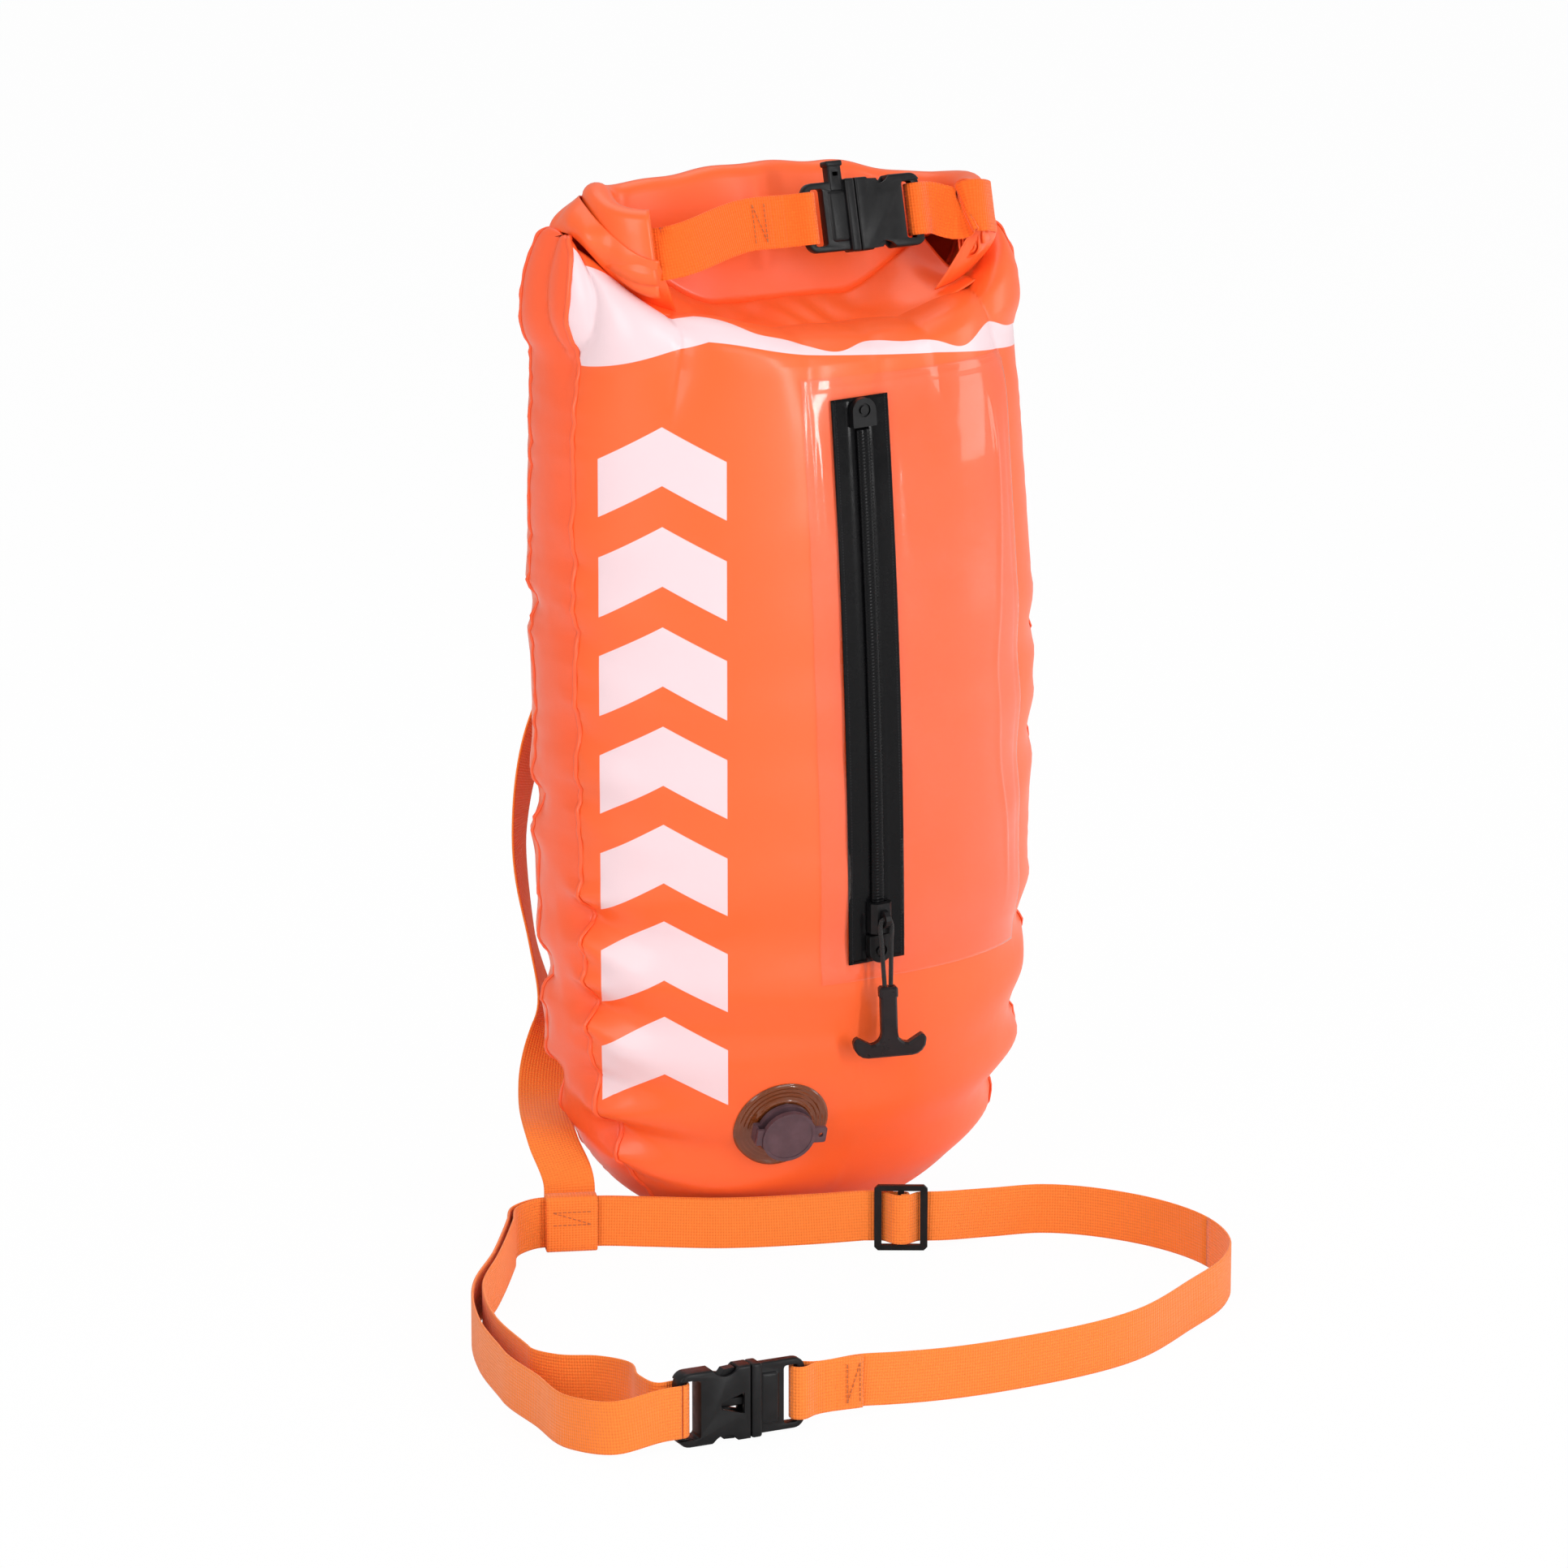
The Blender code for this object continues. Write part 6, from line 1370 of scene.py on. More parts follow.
def lip_point(x, side):
    """A point just behind the crest of the front (-1) or back (1) lip."""
    row = highest_row(0)
    share = min(0.999, abs(x) / row[0])
    angle = math.acos(math.copysign(share ** (row[4] / 2), x))
    point = section_point(row, angle)
    sag = lip_sag(x) if side < 0 else 0.0
    return np.array((point[0], side * (abs(point[1]) - 0.0035), point[2] - sag - 0.003))


def mouth_foot(share, side):
    """Where the fold from the lip is joined to the rolled mouth: its inside, or all its back."""
    if side < 0:
        distance = share * (ROLL_STRAIGHT_HALF + 0.01)
        return ring_point(distance, ROLL_RADIUS * 0.3, band_edges(distance)[0] + 0.006)
    distance = share * (ROLL_STRAIGHT_HALF + 0.004)
    low, high = band_edges(distance)
    return ring_point(distance, -(ROLL_RADIUS + 0.0012), low + (high - low) * 0.88)


def make_mouth_fold(name, side):
    """The folded fabric between a lip and the rolled mouth."""
    def point(down, share):
        head, foot = mouth_foot(share, side), lip_point(share * THROAT_HALF, side)
        fold = 0.0016 * math.sin(share * 9 + down * 3.0 + 0.6)
        fold += 0.0007 * math.sin(share * 23 - down * 4 + 2 * math.sin(share * 5))
        away = (0, 0, fold - 0.003) if side < 0 else (0, 0.6 * fold + 0.0012, 0)
        return head + (foot - head) * down + np.array(away) * math.sin(math.pi * down)

    add_fold(name, 28, 120, point, side < 0)


def close_strip_ends(mesh, count, rings):
    """Close the two ends of a long rolled strip with a row of faces each."""
    mend(mesh, [(base + j, base + j + 1, base + 2 * count - 2 - j, base + 2 * count - 1 - j)
                for base in (0, (rings - 1) * count * 2) for j in range(count - 1)])


def make_stiffener():
    """The plastic strip that the mouth is rolled round, with rounded corners."""
    limit = ring_half_length() - STRAP_CORE[0] - 0.0005
    core = ROLL_RADIUS - ROLL_PITCH * (ROLL_HALF_TURNS // 2)
    depth = -core + ROLL_SHEET / 2 + GAP + STIFFENER[1] / 2
    route = [ring_point(distance, depth, sum(band_edges(distance)) / 2)
             for distance in ring_distances() if abs(distance) < limit]
    ways = [ring_frame()[2]] * len(route)
    mesh = sweep_mesh("mouth_stiffener_strip", route, ways, webbing_profile(*STIFFENER))
    add_piece("mouth_stiffener_strip", mesh, rubbery("stiffener_strip", (0.75, 0.75, 0.72), 0.5), "stiffener",
              "mouth_stiffener")


def strap_core():
    """The long strap's start inside the mouth: its lead and its points in the core."""
    entry, depth, lead = STRAP_CORE
    end = ring_half_length()
    core = [ring_point(entry * i / 3 - end, depth, sum(band_edges(-end)) / 2) for i in range(4)]
    first = core[0] + (core[0] - core[1]) / np.linalg.norm(core[0] - core[1]) * lead
    return [first] + core


def strap_wrap():
    """Where the short strap turns round the mouth's right end and is sewn flat to its outside."""
    end = ring_half_length()
    return [tuple(map(float, ring_point(end + past, depth, height))) for past, depth, height in STRAP_WRAP]


def make_closure_straps():
    """Webbing from each end of the rolled mouth to its half of the closure buckle."""
    place = closure_frame()
    finish = webbing_finish("closure_weave", "closure_colour")

    def strap(name, fold, rest):
        route = smooth_route(fold + rest, 7)
        obj = strap_object(f"closure_webbing_{name}", route, [ring_frame()[2]] * len(route), finish)
        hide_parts(f"closure_strap_{name}")
        return obj, distances(route)

    obj, along = strap("left", plug_fold(place), strap_core())
    go_along(obj)
    obj, _ = strap("right", folded_end(place, FEMALE_BAR, -1, SHORT_TAIL), strap_wrap())
    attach(obj, "bag")
    plug_stitches("closure_stitching", place, -1, "closure_male")


def plug_stitches(name, place, face, body):
    """The stitches of the long sewn end at a plug, on its outer face (-1 or 1)."""
    level = face * (LAYER_OFFSET + WEBBING_THICKNESS / 2)
    box_stitches(name, place, MALE_BAR - FOLD_REACH - LONG_TAIL + 0.0015, MALE_BAR - FOLD_REACH - 0.0005, level, body)


def box_stitches(name, place, low, high, level, body="bag"):
    """Bar tacks across a folded webbing end, joined by one slanting seam."""
    reach = WEBBING_WIDTH / 2 - 0.003
    high = min(high, low + 0.0065)
    corners = ((low, -reach), (low, reach), (high, -reach), (high, reach))
    lines = list(zip(corners, corners[1:]))
    verts, faces = [], []
    for (ax, az), (bx, bz) in lines:
        length = math.hypot(bx - ax, bz - az)
        count = max(2, round(length / 0.0024))
        way = Vector(((bx - ax) / length, 0, (bz - az) / length))
        side = Vector((way.z, 0, -way.x))
        for i in range(count):
            middle = Vector((ax, level, az)) + way * (length * (i + 0.5) / count)
            add_stitch(verts, faces, place, middle, way, side, math.copysign(1, level))
    mesh = bpy.data.meshes.new(name)
    mesh.from_pydata([tuple(v) for v in verts], [], faces)
    mend(mesh)
    add_piece(name, mesh, braided("sewing_thread", tint("thread_colour"), 0.0004), "webbing", body=body)


def add_stitch(verts, faces, place, middle, way, side, out):
    """One stitch: a short thread that dives into the webbing at both ends."""
    start_at = len(verts)
    shape = ((-1.0, 0.3, -0.5), (-0.8, 0.9, 0.25), (0.0, 1.0, 0.6), (0.8, 0.9, 0.25), (1.0, 0.3, -0.5))
    for along, size, rise in shape:
        for step in range(6):
            angle = math.tau * step / 6
            radius = 0.00028 * size
            up = Vector((0, out, 0)) * (math.sin(angle) * radius + rise * 0.0003)
            verts.append(place @ (middle + way * along * 0.00095 + side * math.cos(angle) * radius + up))
    for ring in range(len(shape) - 1):
        for step in range(6):
            a, b = start_at + ring * 6 + step, start_at + ring * 6 + (step + 1) % 6
            faces.append((a, b, b + 6, a + 6))
    faces.append(tuple(start_at + i for i in range(6)))
    faces.append(tuple(start_at + (len(shape) - 1) * 6 + i for i in reversed(range(6))))


# ---- Pocket and zip ----

def film_grid(columns, heights):
    """Points of the pocket film, swelled a little over its phone space."""
    rows = []
    for height in heights:
        rise = ease(height, POCKET_BOTTOM + 0.012, POCKET_BOTTOM + 0.06)
        rise *= 1 - ease(height, POCKET_TOP - 0.05, POCKET_TOP - 0.012)
        welds = sum(0.00028 * peak(height - level, 0.001)
                    for level in (POCKET_BOTTOM + 0.0045, POCKET_BOTTOM + 0.015, POCKET_TOP - 0.0045))
        row = []
        for column in columns:
            past = (column - 0.02) / (POCKET_RIGHT - 0.024)
            swell = 0.0021 * math.sin(math.pi * min(max(past, 0), 1)) ** 0.6
            swell += 0.0007 * peak(column + 0.0215, 0.0045)
            swell += 0.0009 * peak(column - 0.079 + 0.004 * math.sin(height * 29), 0.0016)
            crown = swell * rise + welds + 0.00022 * peak(column + POCKET_LEFT - 0.0035, 0.0009)
            row.append(skin_point(pocket_x(height) + column, height, 2 * GAP + POCKET_THICKNESS + crown))
        rows.append(row)
    return rows


def make_pocket():
    """The clear pocket window, welded round the zip and out towards the right-hand seam."""
    half = ZIP_TAPE_WIDTH / 2 - 0.0012
    left, right = POCKET_COLUMNS
    columns = np.concatenate((np.linspace(-POCKET_LEFT, -half, left), np.linspace(half, POCKET_RIGHT, right)))
    heights = np.linspace(POCKET_BOTTOM, POCKET_TOP, 190)
    low, high = ZIP_BOTTOM + 0.0012, ZIP_TOP - 0.0012
    mesh = grid_mesh("pocket_film", film_grid(columns, heights),
                     gap=lambda i, j: j == left - 1 and low < heights[i] and heights[i + 1] < high)
    add_piece("pocket_film", mesh, clear_film(), "clear_film", "pocket_window", wall=POCKET_THICKNESS)


def zip_strip(name, profile, low, high, stations, node):
    """A profile of (across, out) pairs swept along the zip's arc."""
    rings, uv = [], []
    for step in range(stations + 1):
        height = low + (high - low) * step / stations
        place = zip_frame(height)
        rings.append([tuple(place @ Vector((a, 0, out))) for a, out in profile])
        uv.append([(height, a) for a, out in profile])
    mesh = grid_mesh(name, rings, around=True, uv=uv)
    close_ends(mesh, len(profile), len(rings))
    mesh.shade_smooth()
    add_piece(name, mesh, coated_tape(), "zip_tape", node)


def make_zip():
    """The coated tape with a low ridge to each side of the chain, and the rounded coil on it."""
    top = ZIP_LIFT + TAPE_THICKNESS
    half = ZIP_TAPE_WIDTH / 2
    shape = [(-half, ZIP_LIFT), (half, ZIP_LIFT), (half, ZIP_LIFT + 0.0006), (half - 0.0004, top)]
    shape += [(a, top + 0.00025 * peak(abs(a) - 0.0058, 0.0012))
              for a in np.linspace(half - 0.001, -half + 0.001, 41)]
    shape += [(-half + 0.0004, top), (-half, ZIP_LIFT + 0.0006)]
    zip_strip("coated_tape", shape, ZIP_BOTTOM, ZIP_TOP, 120, "zip_tape")
    ridge = [(0.00001 - COIL_HALF, CHAIN_LEVEL), (COIL_HALF - 0.00001, CHAIN_LEVEL)]
    for step in range(17):
        angle = math.pi * step / 16
        rise = COIL_RISE * max(math.sin(angle), 0.02) ** 0.7
        ridge.append((COIL_HALF * math.cos(angle), CHAIN_LEVEL + rise))
    stop = GARAGE_LENGTH + 2 * GAP
    zip_strip("coil_ridge", ridge, ZIP_BOTTOM + stop, ZIP_TOP - stop, 110, "zip_chain")
    paint_node("pull_handle", rubbery("handle_grip", tint("handle_colour"), 0.32, 0.28))
    paint_node("zip_slider", black_plastic())


def make_garages():
    """The moulded stops at the chain's ends, each with a dished rivet."""
    for word, height, turn in (("top", ZIP_TOP - GARAGE_LENGTH / 2, 0.0),
                               ("bottom", ZIP_BOTTOM + GARAGE_LENGTH / 2, math.pi)):
        body = drum(f"{word}_garage_stop", 0.0064, 0.0, 0.0036, (0.0, 0.0005))
        fuse(body, block("garage_shank", (-0.0064, -0.007, 0.0), (0.0064, 0.0005, 0.0036)))
        bevel(body, rim(0.0035), 0.0011, 4)
        cut(body, drum("garage_well", 0.0033, 0.0026, 0.005, (0.0, 0.001), 48))
        rivet = drum("garage_rivet", 0.0021, 0.002, 0.0037, (0.0, 0.001), 48)
        bevel(rivet, rim(0.0036), 0.0006, 4)
        settle(rivet)
        fuse(body, rivet)
        place = zip_frame(height, CHAIN_LEVEL) @ Matrix.Rotation(turn, 4, "Z")
        seat(body, place, black_plastic(), "black_plastic", "bag", f"zip_{word}_garage")


# ---- Valve ----

def make_flange():
    """The soft round flange welded to the skin, thinner towards its rim, with weld rings."""
    place = valve_frame()

    def ring(radius, rise):
        angles = [math.tau * step / 96 for step in range(96)]
        flat = [place @ Vector((radius * math.cos(angle), radius * math.sin(angle), 0)) for angle in angles]
        return [skin_point(point.x, point.z, rise) for point in flat]

    rings = []
    for radius in [*np.linspace(FLANGE_BORE, 0.0236, 44), 0.0238, FLANGE_RADIUS]:
        ripple = 0.00012 * math.sin(radius * 2900) if 0.017 < radius < 0.0225 else 0.0
        bead = 0.0006 * peak(radius - 0.0145, 0.0011)
        edge = 0.001 * (1 - ease(radius, 0.0228, FLANGE_RADIUS) * 0.75)
        rings.append(ring(radius, GAP + edge + ripple + bead))
    rings += [ring(FLANGE_RADIUS, GAP), ring(FLANGE_BORE, GAP), rings[0]]
    mesh = grid_mesh("valve_flange_disc", rings, around=True, flip=True)
    mend(mesh, merge=True)
    add_piece("valve_flange_disc", mesh, translucent_flange(), "valve_flange", "valve_flange")


def seat_on_valve(obj, body, node):
    """Set a modelled piece on the valve in its node's place."""
    finish = moulded_plastic("valve_vinyl", tint("valve_colour"), 0.34, coat=0.2)
    seat(obj, valve_frame(), finish, "valve_plastic", body, node)


def make_neck():
    """The valve's neck: a tube with a rounded lip and the seat its flap closes on."""
    neck = drum("valve_neck_tube", 0.01, 0.0006, 0.0085)
    cut(neck, drum("neck_bore", 0.008, 0.0043, 0.01))
    cut(neck, drum("neck_throat", 0.0055, 0.002, 0.01, sides=48))
    cut(neck, drum("neck_foot", 0.008, -0.001, 0.0034))
    bevel(neck, rim(0.0084), 0.0005, 3)
    fuse(neck, drum("neck_bead", 0.0101, 0.0022, 0.0027))
    cut(neck, drum("neck_clear", 0.008, -0.001, 0.0034))
    seat_on_valve(neck, "bag", "valve_neck")


def make_collar():
    """The collar round the neck, with a rounded edge and the post that holds the cap's strap."""
    collar = drum("valve_collar_ring", 0.014, COLLAR_LOW, COLLAR_HIGH)
    fuse(collar, block("collar_stub", (HINGE_PLACE, -STRAP_HALF, COLLAR_LOW), (-0.012, STRAP_HALF, COLLAR_HIGH)))
    fuse(collar, block("collar_post", (HINGE_PLACE, -STRAP_HALF, 0.0033), (-0.0153, STRAP_HALF, 0.0082)))
    cut(collar, drum("collar_bore", FLANGE_BORE, 0.0, 0.01))
    bevel(collar, rim(0.0055), 0.0005, 3)
    seat_on_valve(collar, "bag", "valve_collar")


def make_cap():
    """The cap: a dished disc with a rim, its plug, the strap over the hinge and a lifting tab."""
    cap = drum("valve_cap_disc", 0.0135, CAP_LOW, CAP_HIGH, sides=96)
    strap_top = CAP_LOW + 0.0017
    fuse(cap, block("cap_strap", (HINGE_PLACE, -STRAP_HALF, CAP_LOW), (-0.006, STRAP_HALF, strap_top)))
    tab = block("cap_tab", (0.006, -STRAP_HALF, CAP_LOW), (0.0195, STRAP_HALF, strap_top))
    bevel(tab, lambda middle, angle: middle.x > 0.019 and abs(middle.y) > 0.004 and angle > 1.0, 0.0012, 4)
    settle(tab)
    fuse(cap, tab)
    cut(cap, drum("cap_tab_hole", 0.0013, 0.0, 0.02, (0.0165, 0.0), 32))
    plug = drum("cap_plug", 0.0073, CAP_LOW - 0.0036, CAP_LOW + 0.0005)
    bevel(plug, lambda middle, angle: middle.z < CAP_LOW - 0.0035 and angle > 1.0, 0.0005, 2)
    settle(plug)
    fuse(cap, plug)
    cut(cap, drum("cap_dish", 0.0118, CAP_HIGH - 0.0003, CAP_HIGH + 0.002, sides=96))
    bevel(cap, rim(CAP_HIGH - 0.0002), 0.0003, 3)
    seat_on_valve(cap, "valve_cap", "valve_cap")
    paint_node("valve_diaphragm", rubbery("flap_silicone", (0.62, 0.6, 0.56), 0.4))


# ---- Leash ----

def make_patch():
    """The weld patch on the back, with rounded corners, a thinner rim and a shallow weld line near its edge."""
    length, width, thick = PATCH
    rows, columns = 36, 28
    ring = []
    for v in (2 * i / rows - 1 for i in range(rows + 1)):
        over, under = [], []
        reach = 1 - (1 - math.sqrt(max(0, 1 - (max(0, abs(v) - 0.82) / 0.18) ** 2))) * 0.22
        for u in (2 * j / columns - 1 for j in range(columns + 1)):
            x, z = PATCH_X + u * width / 2 * reach, PATCH_Z + v * length / 2
            out = max(abs(u), abs(v))
            rise = thick * (0.35 + 0.65 * min(1.0, (1 - out) / 0.06)) - 0.0002 * peak(out - 0.86, 0.03)
            over.append(skin_point(x, z, GAP + rise, 1))
            under.append(skin_point(x, z, GAP, 1))
        ring.append(over + under[::-1])
    mesh = grid_mesh("leash_weld_patch", ring, around=True)
    close_strip_ends(mesh, columns + 1, rows + 1)
    add_piece("leash_weld_patch", mesh, shell_finish(), "shell_fabric", "leash_patch")


def leash_points():
    """The leash's line from the patch down to its sewn loop."""
    length, _, thick = PATCH
    low_z, high_z = PATCH_Z - length / 2, PATCH_Z + length / 2
    lift = GAP * 2 + thick + WEBBING_THICKNESS / 2
    anchor = [skin_point(PATCH_X, z, lift, 1, False) for z in (high_z - LEASH_INSET, PATCH_Z)]
    anchor.append(skin_point(PATCH_X, low_z, lift + LEASH_LEAVE, 1, False))
    place = leash_loop_frame()
    behind = -(LEASH_LOOP_HALF + WEBBING_THICKNESS + GAP + WEBBING_THICKNESS / 2)
    loop_top = WEBBING_WIDTH / 2 + LOOP_ROOM + WEBBING_THICKNESS
    sewn = [place @ Vector((0, behind, z)) for z in (LEASH_LAP / 2, 0, -LEASH_LAP / 2)]
    before = place @ Vector((0, behind - LEASH_LEAVE, loop_top + LEASH_INSET / 2))
    return smooth_route(anchor + list(LEASH_ROUTE) + [before] + sewn, 10)


def leash_ways(route, lower_way):
    """The way of the leash's width: flat to the bag above, along the belt below."""
    ways = []
    for i, point in enumerate(route):
        along = Vector(heading(route, i))
        reach = half_width(point[2]) * 0.85
        x = min(max(point[0], sway(point[2]) - reach), sway(point[2]) + reach)
        outward = Vector(skin_point(x, point[2], 0.001, 1, False) - skin_point(x, point[2], 0, 1, False))
        upper_way = outward.cross(along).normalized()
        if upper_way.dot(lower_way) < 0:
            upper_way = -upper_way
        way = upper_way.lerp(lower_way, 1 - ease(point[2], LEASH_TWIST[1], LEASH_TWIST[0]))
        edge = Vector((0.5, 0.866, 0.0))
        edge *= math.copysign(1, edge.dot(way))
        share = peak(point[2] - LEASH_EDGE[0], LEASH_EDGE[1])
        ways.append(way.normalized().lerp(edge, 0.9 * share).normalized())
    return ways


def make_leash():
    """The tow leash and its sewn loop round the belt."""
    make_patch()
    route = leash_points()
    place = leash_loop_frame()
    ways = leash_ways(route, place.to_3x3() @ Vector((1, 0, 0)))
    strap = strap_object("leash_webbing", route, ways)
    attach(strap, "bag")
    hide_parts("leash_strap")
    loop = make_leash_loop(place)
    declare_cord(strap, route, WEBBING_WIDTH, "object", "hanging", loop.name)


def make_leash_loop(place):
    """The flat ring of webbing round both layers of the belt."""
    half_y, half_z = LEASH_LOOP_HALF + WEBBING_THICKNESS / 2, WEBBING_WIDTH / 2 + LOOP_ROOM + WEBBING_THICKNESS / 2
    way = place.to_3x3() @ Vector((1, 0, 0))
    route = []
    for step in range(97):
        angle = math.tau * step / 96 + math.pi / 2
        c, s = math.cos(angle), math.sin(angle)
        route.append(place @ Vector((0, half_y * signed_power(c, 0.3), half_z * signed_power(s, 0.3))))
    rings, uv, along = [], [], 0.0
    profile = webbing_profile()
    for i, point in enumerate(route[:-1]):
        normal = (route[(i + 1) % 96] - route[i - 1]).normalized().cross(way)
        along += (point - route[i - 1]).length if i else 0
        rings.append([tuple(point + way * a + normal * b) for a, b in profile])
        uv.append([(along, a) for a, b in profile])
    mesh = grid_mesh("leash_loop_webbing", rings + rings[:1], around=True, uv=uv + uv[-1:])
    mend(mesh, merge=True)
    obj = add_piece("leash_loop_webbing", mesh, webbing_finish(), "webbing", "leash_loop")
    box_stitches("leash_stitching", place @ Matrix.Rotation(math.pi / 2, 4, "Y"),
                 -LEASH_LAP / 2 + 0.002, LEASH_LAP / 2 - 0.002, LEASH_LOOP_HALF + WEBBING_THICKNESS)
    return obj


# ---- Belt ----

def pair_layers(steps):
    """The two layers of the doubled belt, to each side of their common centre line."""
    centre = smooth_route([point[:3] for point in BELT_PAIR_ROUTE], steps)
    outer, inner = [], []
    for i, point in enumerate(centre):
        along = heading(centre, i)
        side = np.array((along[1], -along[0], 0)) / np.hypot(along[0], along[1])
        first, second = BELT_PAIR_ROUTE[i // steps], BELT_PAIR_ROUTE[-1]
        if i // steps + 1 < len(BELT_PAIR_ROUTE):
            second = BELT_PAIR_ROUTE[i // steps + 1]
        share = (i % steps) / steps
        half = (first[3] + (second[3] - first[3]) * share) / 2
        outer.append(point + side * half)
        inner.append(point - side * half)
    return outer, inner


def adjuster_weave():
    """The belt through both slots of the adjuster, over its middle bar."""
    half = [(GLIDE_LEDGE, GLIDE_BEHIND), (GLIDE_SLOT_EDGE, GLIDE_BEHIND),
            (GLIDE_WRAP, -GLIDE_BEFORE + FOLD_GAP), (GLIDE_WRAP / 2, -GLIDE_BEFORE)]
    weave = half + [(-x, y) for x, y in reversed(half)]
    return [glide_frame() @ Vector((x, y, 0)) for x, y in weave]


def adjuster_hook():
    """The end of the belt's return, sewn round the adjuster's middle bar."""
    corner, behind, far = GLIDE_MIDDLE_BAR / 2, GLIDE_BEHIND, GLIDE_BEHIND * DIAGONAL
    near = corner + far
    hook = [(-GLIDE_LEDGE, GLIDE_BEFORE), (-GLIDE_SLOT_EDGE, GLIDE_BEFORE), (-GLIDE_WRAP, behind)]
    hook += [(corner, behind), (near, far), (near, -far), (corner, -behind), (0, -behind)]
    return [glide_frame() @ Vector((x, y, 0)) for x, y in hook]


def make_belt():
    """The waist belt: from the plug through the adjuster to the socket, and its return."""
    place = belt_frame()
    outer, inner = pair_layers(8)
    weave = adjuster_weave()
    wrap = bar_wrap(place, FEMALE_BAR, -1)
    arrive, leave_at = [place @ Vector((FEMALE_BAR + FOLD_REACH, y, 0)) for y in (-WRAP_RADIUS, WRAP_RADIUS)]
    first = smooth_route(plug_fold(place) + list(BELT_MAIN_ROUTE) + weave[:2], 8)
    last = smooth_route(inner[-2:] + list(BELT_INNER_ROUTE) + [arrive] + wrap, 6)
    middle = [point for point in smooth_route(weave, 4) if np.linalg.norm(point - first[-1]) > 0.002]
    main_run = first[:-1] + middle[nearest(middle, first[-1]):] + inner[:-2] + last
    halfway = nearest(first, BELT_CUT)
    lead, run = main_run[:halfway + 1], main_run[halfway:]
    declare_belt("belt_webbing_lead", lead, "belt_webbing", "belt_male",
                 [1 - ease(d, SEWN_LENGTH, SEWN_LENGTH + LEAD_REACH) for d in distances(lead)],
                 "belt_plug", "belt_buckle_arm_upper", "belt_buckle_arm_lower")
    declare_belt("belt_webbing_run", run, "belt_webbing", "tri_glide", glide_weights(run),
                 "tri_glide", "belt_socket")
    start_at = wrap[-1] + (wrap[-1] - wrap[-2]).normalized() * 0.0006
    back = outer[::-1]
    begin = smooth_route([start_at, leave_at, *BELT_OUTER_ROUTE[::-1], *back[:2]], 8)
    returned = begin[:-1] + back[1:] + smooth_route(adjuster_hook(), 4)
    declare_belt("belt_return_run", returned, "belt_return", "tri_glide", glide_weights(returned))
    plug_stitches("belt_stitching", place, 1, "belt_male")


def glide_weights(route):
    """How far each point of a run goes with the adjuster when that slides."""
    along = distances(route)
    middle = glide_frame().translation
    at = along[nearest(route, middle)]
    reaches = [GLIDE_REACH_RIGHT if point[0] > middle.x else GLIDE_REACH_LEFT for point in route]
    return [1 - ease(abs(distance - at), GLIDE_HELD, reach) for distance, reach in zip(along, reaches)]


def declare_belt(name, route, node, body, weights, *with_pieces):
    """One run of the belt on its edge, lifted clear of the floor and laid along its route."""
    for point in route:
        point[2] = max(point[2], WEBBING_WIDTH / 2 + 0.0001)
    strap = strap_object(name, route, [(0, 0, 1)] * len(route))
    go_along(strap)
    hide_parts(node)
    declare_cord(strap, route, WEBBING_WIDTH, "object", "loose", *with_pieces)


def make_pull_cord():
    """The cord loop that hangs the handle on the slider's bail."""
    place = zip_frame(SLIDER_REST)
    bore_out = CHAIN_LEVEL + SLIDER_HEIGHT + BAIL_BORE / 2 + GAP
    across = place.to_3x3() @ Vector((1, 0, 0))
    up = (Vector((0, 0, 1)) - across * across.z).normalized()
    hang = frame_matrix(place @ Vector((0, 0, bore_out)), across, up, across.cross(up))
    right = [Vector((PULL_CORD_SPREAD * a, -PULL_CORD_LENGTH * b, 0)) for a, b in CORD_SIDES]
    right += [Vector((x, y, 0)) for x, y in CORD_BEND]
    left = [Vector((-point.x, point.y, 0)) for point in reversed(right)]
    route = smooth_route([hang @ point for point in right + left], 8)
    out = hang.to_3x3() @ Vector((0, 0, 1))
    radius = PULL_CORD_DIAMETER / 2
    profile = [(radius * math.cos(math.tau * i / 14), radius * math.sin(math.tau * i / 14)) for i in range(14)]
    mesh = sweep_mesh("pull_cord_loop", route, [out] * len(route), profile)
    obj = add_piece("pull_cord_loop", mesh, cord_finish(), "pull_cord", "pull_cord", body="zip_pull")
    declare_cord(obj, route, PULL_CORD_DIAMETER, "tool", "hanging", "pull_handle")


def soften(obj, width=0.00035):
    """Round every edge that is still sharp a little."""
    step = obj.modifiers.new("Soft edges", "BEVEL")
    step.width, step.segments, step.limit_method = width, 2, "ANGLE"
    step.angle_limit = math.radians(35)
    apply_all(obj)


def upright(x, z):
    """A test for the edges along the thickness at one end of a block."""
    return lambda middle, _: abs(middle.x - x) < 1e-5 and abs(middle.y) < 1e-5 and abs(abs(middle.z) - z) < 1e-5


def on_face(thick):
    """A test for the sharp edges round the two broad faces."""
    return lambda middle, angle: abs(abs(middle.y) - thick) < 1e-5 and angle > 0.5


def rounded_block(name, low, high, width, segments=3):
    piece = block(name, low, high)
    bevel(piece, lambda middle, angle: angle > 0.5, width, segments)
    return piece


def cut_block(obj, low, high, corner=0.0):
    """Cut a block away, its four upright corners rounded if asked for."""
    tool = block("cutter", low, high)
    if corner:
        bevel(tool, lambda middle, _: abs(middle.y) < 1e-5, corner, 4)
    cut(obj, tool)


